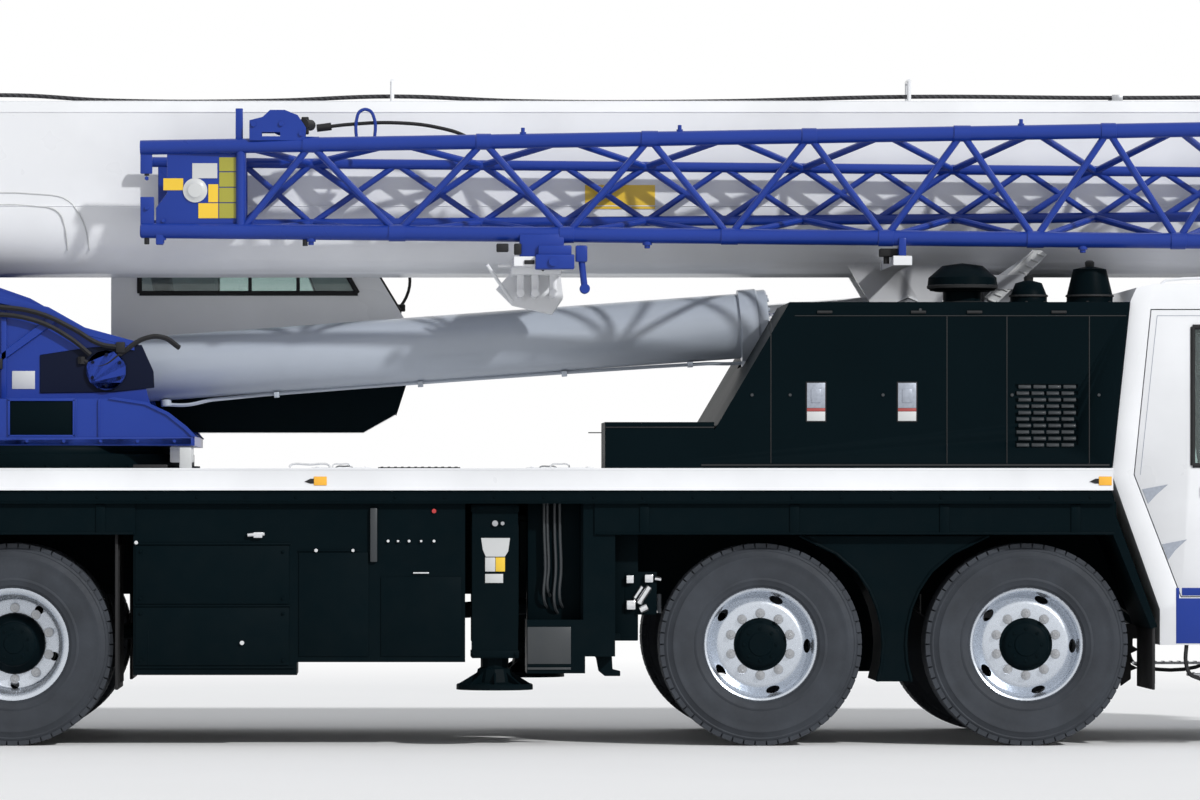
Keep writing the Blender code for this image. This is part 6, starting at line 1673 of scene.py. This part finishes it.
class CRANE_OT_hood(bpy.types.Operator):
    """The engine hood's louvres, blank latch plates, seams, hinges, air intake rings and the boom rest's tread."""

    bl_idname = "crane.hood"
    bl_label = "Engine hood"

    def execute(self, context):
        smooth_copy("engine_hood", "black_paint")
        self.latches()
        self.louvres()
        self.seams()
        self.tops()
        self.rest()
        return {"FINISHED"}

    def latches(self):
        upper, red, lower, dark = [], [], [], []
        for x in (1.395, 1.881):
            upper.append(sheet_block((x, x + 0.097), (-1.2965, -1.29), (1.806, 1.94), 0.002))
            upper.append(sheet_block((x + 0.022, x + 0.075), (-1.301, -1.295), (1.834, 1.908), 0.008))
            red.append(sheet_block((x, x + 0.097), (-1.2955, -1.29), (1.788, 1.805), 0.001))
            lower.append(sheet_block((x, x + 0.097), (-1.2955, -1.29), (1.737, 1.787), 0.001))
            dark.append(sheet_block((x - 0.006, x + 0.103), (-1.2925, -1.289), (1.731, 1.946), 0.001))
        done(both_sides(upper), "hood_latches", "latch_grey", "carrier")
        done(both_sides(red), "hood_latch_lines", "dull_red", "carrier")
        done(both_sides(lower), "hood_blank_labels", "pale_plate", "carrier")
        done(both_sides(dark), "hood_latch_frames", "black_rubber", "carrier")

    def louvres(self):
        fins = []
        scoop = plate([(-1.2905, 0.0), (-1.3, 0.003), (-1.3015, 0.01), (-1.2905, 0.021)], "x", 0.0, 0.066,
                      0.001)
        for row in range(10):
            for column in range(4):
                shift = 0.01 if row % 2 else 0.0
                fins.append(copied(scoop, (2.514 + column * 0.08 + shift, 0, 1.598 + row * 0.0345)))
        bpy.data.objects.remove(scoop)
        done(both_sides([joined(fins)]), "hood_louvres", "dark_grey", "carrier")

    def seams(self):
        lines = [
            sheet_block((1.33, 3.1), (-1.2925, -1.289), (2.296, 2.301), 0.001),
            sheet_block((0.83, 3.01), (-1.2935, -1.289), (1.496, 1.506), 0.001),
        ]
        for x, low, high in ((1.2, 1.51, 2.27), (2.14, 1.51, 2.296), (2.46, 1.51, 2.296), (2.9, 1.51, 2.296)):
            lines.append(sheet_block((x, x + 0.005), (-1.2925, -1.289), (low, high), 0.001))
        for x in (1.45, 1.95, 2.25, 2.7):
            lines.append(rod((x, -1.294, 2.318), (x + 0.08, -1.294, 2.318), 0.008, 10))
        lines.append(sheet_block((0.317, 0.9), (-1.2935, -1.289), (1.7, 1.706), 0.001))
        done(both_sides(lines), "hood_seams", "seam_black", "carrier")
        small = bolts([(x, -1.29, 1.8755) for x in (1.102, 1.305, 1.801, 2.954)], (0, -1, 0), 0.009, 0.006)
        small += bolts([(2.49, -1.29, 1.8755), (2.0, -1.29, 2.33)], (0, -1, 0), 0.009, 0.008)
        done(both_sides(small), "hood_bolts", "dark_grey", "carrier")

    def tops(self):
        rings = []
        rings.append(turned([(0.1, 2.372), (0.125, 2.372), (0.122, 2.384), (0.108, 2.392), (0.1, 2.388)], "z",
                            (2.276, -0.76, 0), 40))
        rings.append(turned([(0.15, 2.446), (0.191, 2.462), (0.1925, 2.476), (0.188, 2.48), (0.15, 2.456)],
                            "z",
                            (2.276, -0.76, 0), 48))
        for x, radius, top in ((2.631, 0.1, 2.507), (2.962, 0.125, 2.589)):
            rings.append(turned([(radius - 0.004, 2.372), (radius + 0.014, 2.372), (radius + 0.012, 2.384),
                                 (radius - 0.004, 2.384)], "z", (x, -0.8, 0), 40))
            rings.append(turned([(radius - 0.002, 2.416), (radius + 0.006, 2.416), (radius + 0.004, 2.426),
                                 (radius - 0.004, 2.426)], "z", (x, -0.8, 0), 40))
            rings.append(turned([(0.0, top - 0.014), (0.024, top - 0.014), (0.026, top + 0.014),
                                 (0.016, top + 0.024),
                                 (0.0, top + 0.024)], "z", (x, -0.8, 0), 24))
            rings += bolts([(x + (radius + 0.006) * math.cos(a), -0.8 + (radius + 0.006) * math.sin(a), 2.384)
                            for a in (0.3, 1.35, 2.4, 3.44, 4.5, 5.54)], (0, 0, 1), 0.007, 0.006)
        done(rings, "hood_top_rings", "seam_black", "carrier")
        grille = []
        for index in range(14):
            y = 0.45 + index * 0.046
            grille.append(sheet_block((1.5, 2.7), (y, y + 0.012), (2.372, 2.384), 0.002))
        for x in (1.496, 2.096, 2.69):
            grille.append(sheet_block((x, x + 0.014), (0.44, 1.07), (2.372, 2.388), 0.002))
        done(grille, "hood_top_grille", "seam_black", "carrier")

    def rest(self):
        # The boom rest is drawn in a grey that stands for its white paint in shade: painted shade
        smooth_copy("boom_rest", "rest_white_in_painted_shade")
        tread = [plate([(2.436, 2.424), (2.5, 2.4), (2.774, 2.662), (2.742, 2.684), (2.7, 2.684)], "y",
                       -0.412, -0.391, 0.002)]
        for index in range(9):
            share = index / 8
            x, z = 2.452 + 0.27 * share, 2.416 + 0.25 * share
            tread.append(rod((x, -0.414, z), (x + 0.04, -0.414, z - 0.016), 0.006, 6))
        tread.append(rod((2.436, -0.412, 2.424), (2.7, -0.412, 2.684), 0.006, 8))
        tread.append(rod((2.5, -0.412, 2.4), (2.774, -0.412, 2.662), 0.006, 8))
        done(tread, "boom_rest_tread", "pale_plate", "carrier")
        pads = [sheet_block((2.402, 2.658), (-0.3, 0.3), (2.5465, 2.5492), 0.001)]
        done(pads, "boom_rest_pad", "black_rubber", "carrier")


# Carrier cab: doors, glass frames, mirrors, lamps, steps and the inside


def softened_copy(node, finish, width):
    """The node's own shape with its sharp edges rounded, shown in its place."""
    item = bpy.data.objects.new(node + "_skin", NODES[node].data.copy())
    bpy.context.scene.collection.objects.link(item)
    edit(
        item,
        lambda: bpy.ops.mesh.remove_doubles(threshold=0.00005),
        lambda: bpy.ops.mesh.dissolve_limited(angle_limit=math.radians(0.5)),
    )
    modifier = item.modifiers.new("edges", "BEVEL")
    modifier.width = width
    modifier.segments = 2
    modifier.limit_method = "ANGLE"
    modifier.angle_limit = math.radians(40)
    choose(item)
    bpy.ops.object.modifier_apply(modifier="edges")
    item = done([item], node + "_skin", finish, BODY_OF[node], smooth=35)
    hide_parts(node)
    return item


def frame_of(outline, y, radius, sides=10):
    """A rubber strip round a window whose corners are (x, z) pairs."""
    return [rod((a[0], y, a[1]), (b[0], y, b[1]), radius, sides) for a,
            b in zip(outline, outline[1:] + outline[:1])]


class CRANE_OT_carrier_cab(bpy.types.Operator):
    """The carrier cab's rounded shell, rubbers, handles, mirrors, wipers, grille, lamps, band and steps."""

    bl_idname = "crane.carrier_cab"
    bl_label = "Carrier cab"

    def execute(self, context):
        softened_copy("carrier_cab", "white_paint", 0.01)
        for side_name in ("right", "left"):
            softened_copy(f"carrier_door_{side_name}", "white_paint", 0.003)
        self.rubbers()
        self.band_and_steps()
        self.mirrors()
        self.front()
        return {"FINISHED"}

    def rubbers(self):
        window = [(3.46, 1.5), (4.28, 1.5), (4.1, 2.24), (3.46, 2.24)]
        door_lines = [(3.42, 0.86), (4.38, 0.86), (4.38, 1.51), (4.15, 2.3), (3.27, 2.3), (3.18, 1.45)]
        for side_name, side in SIDES:
            y = side * 1.2505
            body = "carrier_door_" + side_name
            strips = frame_of(window, y, 0.013)
            strips.append(rod((4.12, y, 1.52), (4.12, y, 2.16), 0.009, 8))
            strips.append(sheet_block((3.5, 3.64), (side * 1.25, side * 1.258), (1.33, 1.385), 0.006))
            done(strips, body + "_rubber", "black_rubber", body)
            grip = hose([(3.52, y, 1.362), (3.524, side * 1.272, 1.362), (3.57, side * 1.279, 1.362),
                         (3.616, side * 1.272, 1.362), (3.62, y, 1.362)], 0.008)
            lock = rod((3.66, y, 1.358), (3.66, side * 1.258, 1.358), 0.012, 16)
            done([grip, lock], body + "_handle", "chrome", body)
            groove = [rod((a[0], y, a[1]), (b[0], y, b[1]), 0.0016, 6) for a,
                      b in zip(door_lines[3:], door_lines[4:])]
            done(groove, body + "_line", "latch_grey", body)
            inner = sheet_block((3.5, 4.3), (side * 1.19, side * 1.199), (0.9, 1.44), 0.004)
            pocket = sheet_block((3.56, 4.24), (side * 1.15, side * 1.196), (0.92, 1.06), 0.012)
            pull = hose([(3.62, side * 1.198, 1.38), (3.64, side * 1.16, 1.385), (3.9, side * 1.16, 1.385),
                         (3.92, side * 1.198, 1.38)], 0.012)
            done([inner, pocket, pull], body + "_lining", "inside_grey", body)
            band = sheet_block((3.402, 4.398), (side * 1.25, side * 1.2525), (0.804, 0.845), 0.001)
            done([band], body + "_band", "blue_paint", body)
        strips = []
        low, high = Vector((5.0 - 0.0336, 1.52 + 0.0726)), Vector((4.56 + 0.038, 2.47 - 0.082))
        for y in (-1.1, 1.1):
            strips.append(rod((low[0], y, low[1]), (high[0], y, high[1]), 0.016, 10))
        for point in (low, high):
            strips.append(rod((point[0], -1.1, point[1]), (point[0], 1.1, point[1]), 0.016, 10))
        rear_window = [(3.112, 1.75), (3.15, 2.2)]
        strips += frame_of(rear_window, 0.8, 0.012) + frame_of(rear_window, -0.8, 0.012)
        for x, z in rear_window:
            strips.append(rod((x, -0.8, z), (x, 0.8, z), 0.012, 10))
        for y in (-0.62, 0.3):
            up = (high - low).normalized()
            base = low + up * 0.03
            tip = low + up * 0.62
            strips.append(rod((base[0] + 0.03, y, base[1]), (tip[0] + 0.018, y + 0.36, tip[1]), 0.007, 8))
            strips.append(rod((base[0] + 0.018, y - 0.01, base[1] - 0.02), (base[0] + 0.04, y, base[1]),
                              0.018, 12))
            blade = [low + up * 0.18, low + up * 0.7]
            strips.append(rod((blade[0][0] + 0.012, y + 0.2, blade[0][1]),
                              (blade[1][0] + 0.012, y + 0.36, blade[1][1]), 0.009, 6))
        done(strips, "cab_rubbers", "black_rubber", "carrier")
        pane = plate([(3.108, 1.756), (3.114, 1.756), (3.15, 2.194), (3.144, 2.194)], "y", -0.796, 0.796, 0.0)
        done([pane], "cab_rear_glass", "glass", "carrier")

    def band_and_steps(self):
        bands, tubes, treads, marks = [], [], [], []
        for side in (-1, 1):
            y = (side * 1.249, side * 1.2525)
            bands.append(sheet_block((3.371, 5.03), y, (0.548, 0.79), 0.001))
            bands.append(sheet_block((3.371, 3.388), y, (0.79, 0.845), 0.001))
            bands.append(sheet_block((4.412, 5.035), y, (0.79, 0.845), 0.001))
            for x, x2 in ((3.432, 3.9), (4.0, 4.36)):
                tubes.append(hose([(x, side * 1.215, 0.56), (x, side * 1.225, 0.42),
                                   (x + 0.03, side * 1.225, 0.374),
                                   (x2 - 0.03, side * 1.225, 0.374), (x2, side * 1.225, 0.42),
                                   (x2, side * 1.215, 0.56)], 0.011))
                treads.append(sheet_block((x + 0.012, x2 - 0.012), (side * 1.11, side * 1.22),
                                          (0.372, 0.386), 0.003))
                for index in range(9):
                    at = x + 0.04 + index * (x2 - x - 0.1) / 8
                    treads.append(sheet_block((at, at + 0.012), (side * 1.12, side * 1.21), (0.386, 0.391),
                                              0.001))
            for shape in ([(3.189, 1.372), (3.328, 1.398), (3.262, 1.34), (3.221, 1.294)],
                          [(3.296, 1.078), (3.429, 1.104), (3.366, 1.046), (3.328, 0.994)]):
                if side < 0 or shape[0][0] < 3.2:
                    marks.append(plate(shape, "y", *sorted(y), 0.0005))
        done(bands, "cab_band", "blue_paint", "carrier")
        done(tubes, "cab_step_tubes", "black_rubber", "carrier")
        done(treads, "cab_step_treads", "steel", "carrier")
        roof_rail = both_sides([hose([(3.3, -1.18, 2.472), (3.33, -1.18, 2.492), (4.3, -1.18, 2.493),
                                      (4.33, -1.18, 2.476)], 0.009)])
        done(roof_rail, "cab_roof_gutters", "white_paint", "carrier")
        done(marks, "cab_air_marks", "latch_grey", "carrier")

    def mirrors(self):
        shells, faces = [], []
        for side in (-1, 1):
            middle = side * 1.3
            shells.append(sheet_block((4.827, 4.894), (side * 1.232, side * 1.369), (1.856, 2.254), 0.016))
            shells.append(rod((4.609, side * 1.188, 2.28), (4.86, middle, 2.31), 0.018, 12))
            shells.append(rod((4.86, middle, 2.314), (4.86, middle, 2.2), 0.018, 12))
            shells.append(sheet_block((4.59, 4.65), (side * 1.18, side * 1.246), (2.25, 2.3), 0.008))
            faces.append(sheet_block((4.822, 4.829), (side * 1.244, side * 1.357), (1.88, 2.23), 0.002))
        done(shells, "cab_mirrors", "black_rubber", "carrier")
        done(faces, "cab_mirror_glass", "chrome", "carrier")

    def front(self):
        slats, clear, amber = [], [], []
        for index in range(5):
            z = 0.96 + index * 0.075
            slats.append(plate([(5.029, z + 0.003), (5.041, z + 0.012), (5.041, z + 0.02),
                                (5.029, z + 0.042)], "y",
                               -0.556, 0.556, 0.001))
        slats.append(sheet_block((5.028, 5.0415), (-0.575, -0.56), (0.945, 1.32)))
        slats.append(sheet_block((5.028, 5.0415), (0.56, 0.575), (0.945, 1.32)))
        done(slats, "cab_grille", "seam_black", "carrier")
        bezels = []
        for y in (-1.0, -0.78, 0.78, 1.0):
            bezels.append(turned([(0.086, 5.128), (0.1, 5.128), (0.102, 5.146), (0.094, 5.15),
                                  (0.086, 5.144)], "x",
                                 (0, y, 0.64), 40))
            clear.append(turned([(0.0, 5.146), (0.086, 5.138), (0.086, 5.146), (0.06, 5.155), (0.0, 5.158)],
                                "x",
                                (0, y, 0.64), 40))
        done(bezels, "headlamp_rings", "chrome", "carrier")
        done(clear, "headlamp_lenses", "clear_lens", "carrier")
        for side in (-1, 1):
            amber.append(sheet_block((5.028, 5.052), (side * 1.06, side * 1.21), (0.9, 0.975), 0.008))
            amber.append(sheet_block((4.93, 5.0), (side * 1.25, side * 1.258), (1.0, 1.05), 0.004))
        done(amber, "cab_indicators", "amber_lens", "carrier")
        plates = [sheet_block((5.13, 5.134), (-0.26, 0.26), (0.56, 0.68), 0.002)]
        done(plates, "front_blank_plate", "pale_plate", "carrier")
        trim = [sheet_block((5.128, 5.134), (-1.18, 1.18), (0.745, 0.755), 0.002),
                sheet_block((5.0395, 5.044), (-1.18, 1.18), (1.398, 1.406), 0.001)]
        trim += bolts([(5.13, y, z) for y in (-0.56, 0.56) for z in (0.56, 0.72)], (1, 0, 0), 0.012)
        trim.append(hose([(5.04, -0.5, 1.33), (5.075, -0.498, 1.345), (5.075, 0.498, 1.345),
                          (5.04, 0.5, 1.33)], 0.01))
        done(trim, "front_trim", "seam_black", "carrier")


def cushion(low, high, puff):
    """A stuffed pad: a box cut fine, its faces crowned and its edges drawn in."""
    low, high = Vector(low), Vector(high)
    deselect()
    bpy.ops.mesh.primitive_cube_add(size=1, location=(low + high) / 2)
    item = bpy.context.active_object
    item.scale = high - low
    settle(item)
    edit(item, soften(0.25 * min(high - low), 3), lambda: bpy.ops.mesh.subdivide(number_cuts=3, smoothness=0))
    middle, half = (low + high) / 2, (high - low) / 2
    for vertex in item.data.vertices:
        share = [(vertex.co[axis] - middle[axis]) / half[axis] for axis in range(3)]
        for axis in range(3):
            others = [share[other] for other in range(3) if other != axis]
            crown = (1 - others[0] ** 2) * (1 - others[1] ** 2)
            vertex.co[axis] -= math.copysign(puff * (1 - crown),
                                             share[axis]) if abs(share[axis]) > 0.9 else 0.0
    return item


def seat(x, y, z, width, name, body):
    """A driver's seat whose cushion rests on its plinth at (x, y, z), facing forward."""
    half = width / 2
    base = cushion((x, y - half, z), (x + 0.5, y + half, z + 0.15), 0.014)
    done([base], name + "_cushion", "seat_cloth", body)
    lean = Matrix.Rotation(math.radians(-9), 4, "Y")
    upright_pads = (
        ("_back", (-0.06, -half + 0.02, 0.0), (0.06, half - 0.02, 0.64), 0.014),
        ("_headrest", (-0.045, -0.13, 0.68), (0.045, 0.13, 0.85), 0.01),
    )
    for part, low, high, puff in upright_pads:
        pad = copied_and_cleared(cushion(low, high, puff), (x + 0.04, y, z + 0.13), lean)
        done([pad], name + part, "seat_cloth", body)
    posts = [rod((x - 0.055, y + side * 0.06, z + 0.74), (x - 0.075, y + side * 0.06, z + 0.84), 0.008,
                 8) for side in (-1, 1)]
    return posts


def steering_wheel(centre, radius, tilt):
    """A ringed wheel with three spokes, its column leading forward and down."""
    ring = turned([(radius - 0.014, 0.0), (radius - 0.007, 0.012), (radius + 0.007, 0.012),
                   (radius + 0.014, 0.0),
                   (radius + 0.007, -0.012), (radius - 0.007, -0.012)], "z", (0, 0, 0), 40)
    parts = [ring, turned([(0, 0.012), (0.05, 0.008), (0.06, -0.02), (0, -0.03)], "z", (0, 0, 0), 24)]
    for index in range(3):
        angle = math.tau * index / 3
        parts.append(rod((0.04 * math.cos(angle), 0.04 * math.sin(angle), -0.008),
                         (radius * math.cos(angle), radius * math.sin(angle), 0.0), 0.01, 8))
    parts.append(rod((0, 0, -0.02), (0, 0, -0.26), 0.024, 14))
    whole = joined(parts)
    wheel = copied(whole, centre, Matrix.Rotation(math.radians(tilt), 4, "Y"))
    bpy.data.objects.remove(whole)
    return wheel


class CRANE_OT_insides(bpy.types.Operator):
    """Seats, dashboard, levers and wheels that show through both cabs' glass."""

    bl_idname = "crane.insides"
    bl_label = "Cab insides"

    def execute(self, context):
        floor = 0.9903
        items = [sheet_block((3.552, 4.848), (-1.078, 1.078), (floor, floor + 0.06), 0.006)]
        dash = [(4.502, floor), (4.848, floor), (4.898, 1.4), (4.838, 1.498), (4.552, 1.478), (4.482, 1.35)]
        items.append(plate(dash, "y", -1.098, 1.098, 0.012, 2))
        for y in (-0.67, 0.67):
            items.append(sheet_block((3.66, 4.13), (y - 0.23, y + 0.23), (floor + 0.055, 1.25), 0.015))
            items += seat(3.63, y, 1.25, 0.5, f"carrier_seat_{'left' if y > 0 else 'right'}", "carrier")
        items.append(sheet_block((3.7, 4.2), (-0.2, 0.2), (floor + 0.055, 1.3), 0.03))
        items.append(rod((4.15, 0.2, 1.05), (4.1, 0.23, 1.48), 0.01, 10))
        items.append(rod((4.1, 0.23, 1.47), (4.096, 0.232, 1.52), 0.024, 14))
        items.append(steering_wheel((4.39, 0.67, 1.56), 0.205, -49))
        item = done(items, "carrier_inside", "inside_grey", "carrier")
        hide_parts("carrier_interior")
        dials = []
        for y in (0.5, 0.61, 0.73, 0.84, 0.3, -0.2):
            dial = turned([(0, 0), (0.04, 0), (0.044, 0.008), (0.038, 0.012), (0, 0.009)], "x", (0, 0, 0), 24)
            dials.append(copied_and_cleared(dial, (4.498, y, 1.41),
                                            Matrix.Rotation(math.radians(155), 4, "Y")))
        done(dials, "carrier_dials", "clear_lens", "carrier")
        self.operator()
        return {"FINISHED"}

    def operator(self):
        floor = 1.7403
        body = "superstructure"
        items = [sheet_block((-2.08, -1.68), (0.7, 1.15), (floor, 2.0), 0.015)]
        console = [(-1.645, floor), (-1.102, floor), (-1.042, 2.148), (-1.16, 2.296), (-1.198, 2.1),
                   (-1.645, 1.9)]
        items.append(plate(console, "y", 0.722, 1.128, 0.01, 2))
        items += seat(-2.1, 0.925, 2.0, 0.46, "operator_seat", body)
        item = done(items, "operator_inside", "inside_grey", body)
        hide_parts("operator_seat")


# Underside, rear end and the pieces that hang below the frame


class CRANE_OT_underside(bpy.types.Operator):
    """Spring leaves, bolts, brake chambers, axle joint covers, air-tank straps and lamps seen from below."""

    bl_idname = "crane.underside"
    bl_label = "Underside"

    def execute(self, context):
        self.springs()
        self.shafts()
        self.tail()
        return {"FINISHED"}

    def springs(self):
        leaves, clamps, chambers = [], [], []
        face = (-0.4225, -0.329)
        for _, x in FRONT_AXLES:
            for radius in (0.789, 0.804, 0.819, 0.834):
                swing = [math.radians(-90 + turn) for turn in range(-34, 35, 4)]
                outline = [(x + radius * math.cos(a), 1.402 + radius * math.sin(a)) for a in swing]
                outline += [(x + (radius + 0.01) * math.cos(a),
                             1.402 + (radius + 0.01) * math.sin(a)) for a in swing[::-1]]
                leaves.append(plate(outline, "y", *face, 0.001))
            for at in (x - 0.082, x + 0.082):
                for y in (-0.44, -0.31):
                    clamps.append(rod((at, y, 0.47), (at, y, 0.668), 0.011, 8))
            chambers.append(rod((x - 0.11, -0.575, 0.56), (x - 0.25, -0.575, 0.58), 0.07, 24, 0.012))
            chambers.append(rod((x - 0.176, -0.575, 0.569), (x - 0.188, -0.575, 0.571), 0.08, 24, 0.003))
            chambers.append(sheet_block((x - 0.11, x + 0.02), (-0.62, -0.53), (0.5, 0.59), 0.01))
        for (_, x), way in zip(REAR_AXLES, (1, -1)):
            chambers.append(rod((x + way * 0.12, -0.5, 0.6), (x + way * 0.33, -0.5, 0.62), 0.074, 24, 0.012))
            chambers.append(rod((x + way * 0.222, -0.5, 0.609), (x + way * 0.234, -0.5, 0.611), 0.085, 24,
                                0.003))
        middle = sum(x for _, x in REAR_AXLES) / 2
        reach = REAR_AXLES[0][1] + 0.1 - middle
        for step in range(6):
            z = 0.532 + step * 0.028
            rise = 0.07 - step * 0.022
            outline = [(middle - reach, z + rise), (middle, z), (middle + reach, z + rise),
                       (middle + reach, z + rise + 0.008), (middle, z + 0.01),
                       (middle - reach, z + rise + 0.008)]
            leaves.append(plate(outline, "y", -0.4225, -0.4, 0.001))
        for at in (middle - 0.14, middle + 0.14):
            clamps.append(rod((at, -0.438, 0.5), (at, -0.438, 0.79), 0.012, 8))
        done(both_sides(leaves), "spring_leaves", "seam_black", "carrier")
        done(both_sides(clamps), "spring_clamps", "steel", "carrier")
        done(both_sides(chambers), "brake_chambers", "dark_grey", "carrier")

    def shafts(self):
        joints, tank_trim = [], []
        for _, x in REAR_AXLES:
            cover = turned([(0, 0.232), (0.09, 0.226), (0.15, 0.196), (0.176, 0.15), (0.18, 0.12)], "x",
                           (x, 0, 0.56), 32)
            joints.append(cover)
            joints += bolts([(x + 0.13, 0.16 * math.cos(math.tau * turn / 12),
                              0.56 + 0.16 * math.sin(math.tau * turn / 12))
                             for turn in range(12)], (1, 0, 0), 0.01)
        done(joints, "axle_covers", "dark_grey", "carrier")
        for y in (-0.6, 0.6):
            for x in (-5.33, -4.95):
                band = turned([(0.1252, -0.02), (0.129, -0.02), (0.129, 0.02), (0.1252, 0.02)], "x",
                              (x, y, 1.05), 32)
                tank_trim.append(band)
            tank_trim.append(rod((-5.14, y, 0.93), (-5.14, y, 0.905), 0.014, 10))
        done(tank_trim, "tank_straps", "steel", "carrier")

    def tail(self):
        reds, ambers = [], []
        for y, kinds in ((0.93, reds), (1.045, ambers), (1.16, reds)):
            kinds.append(block((-6.436, y - 0.05, 1.05), (-6.4295, y + 0.05, 1.14), 0.003))
        done(both_sides(reds), "tail_lamps", "red_lens", "carrier")
        done(both_sides(ambers), "tail_indicators", "amber_lens", "carrier")
        done([block((-6.436, -0.26, 1.02), (-6.43, 0.26, 1.13), 0.002)], "rear_blank_plate", "pale_plate",
             "carrier")


# Panel, registration and the run


OPERATORS = (
    CRANE_OT_stage,
    CRANE_OT_finishes,
    CRANE_OT_wheels,
    CRANE_OT_jib,
    CRANE_OT_boom,
    CRANE_OT_lift_cylinder,
    CRANE_OT_platform,
    CRANE_OT_operator_cab,
    CRANE_OT_deck,
    CRANE_OT_side_gear,
    CRANE_OT_outriggers,
    CRANE_OT_hood,
    CRANE_OT_carrier_cab,
    CRANE_OT_insides,
    CRANE_OT_underside,
)


class CRANE_PT_panel(bpy.types.Panel):
    """Lists the groups of pieces in the 3D view's sidebar."""

    bl_idname = "CRANE_PT_panel"
    bl_label = "Truck crane"
    bl_space_type = "VIEW_3D"
    bl_region_type = "UI"
    bl_category = "Crane"

    def draw(self, context):
        layout = self.layout
        for group in (context.scene.crane_colours, context.scene.crane_sizes):
            for name in group.__annotations__:
                layout.prop(group, name)
        for kind in OPERATORS:
            layout.operator(kind.bl_idname)


CLASSES = (CRANE_PG_colours, CRANE_PG_sizes, *OPERATORS, CRANE_PT_panel)


def register():
    for kind in CLASSES:
        bpy.utils.register_class(kind)
    bpy.types.Scene.crane_colours = bpy.props.PointerProperty(type=CRANE_PG_colours)
    bpy.types.Scene.crane_sizes = bpy.props.PointerProperty(type=CRANE_PG_sizes)


def unregister():
    del bpy.types.Scene.crane_sizes
    del bpy.types.Scene.crane_colours
    for kind in reversed(CLASSES):
        bpy.utils.unregister_class(kind)


def main():
    register()
    for kind in OPERATORS:
        group, name = kind.bl_idname.split(".")
        getattr(getattr(bpy.ops, group), name)()


if __name__ == "__main__":
    main()
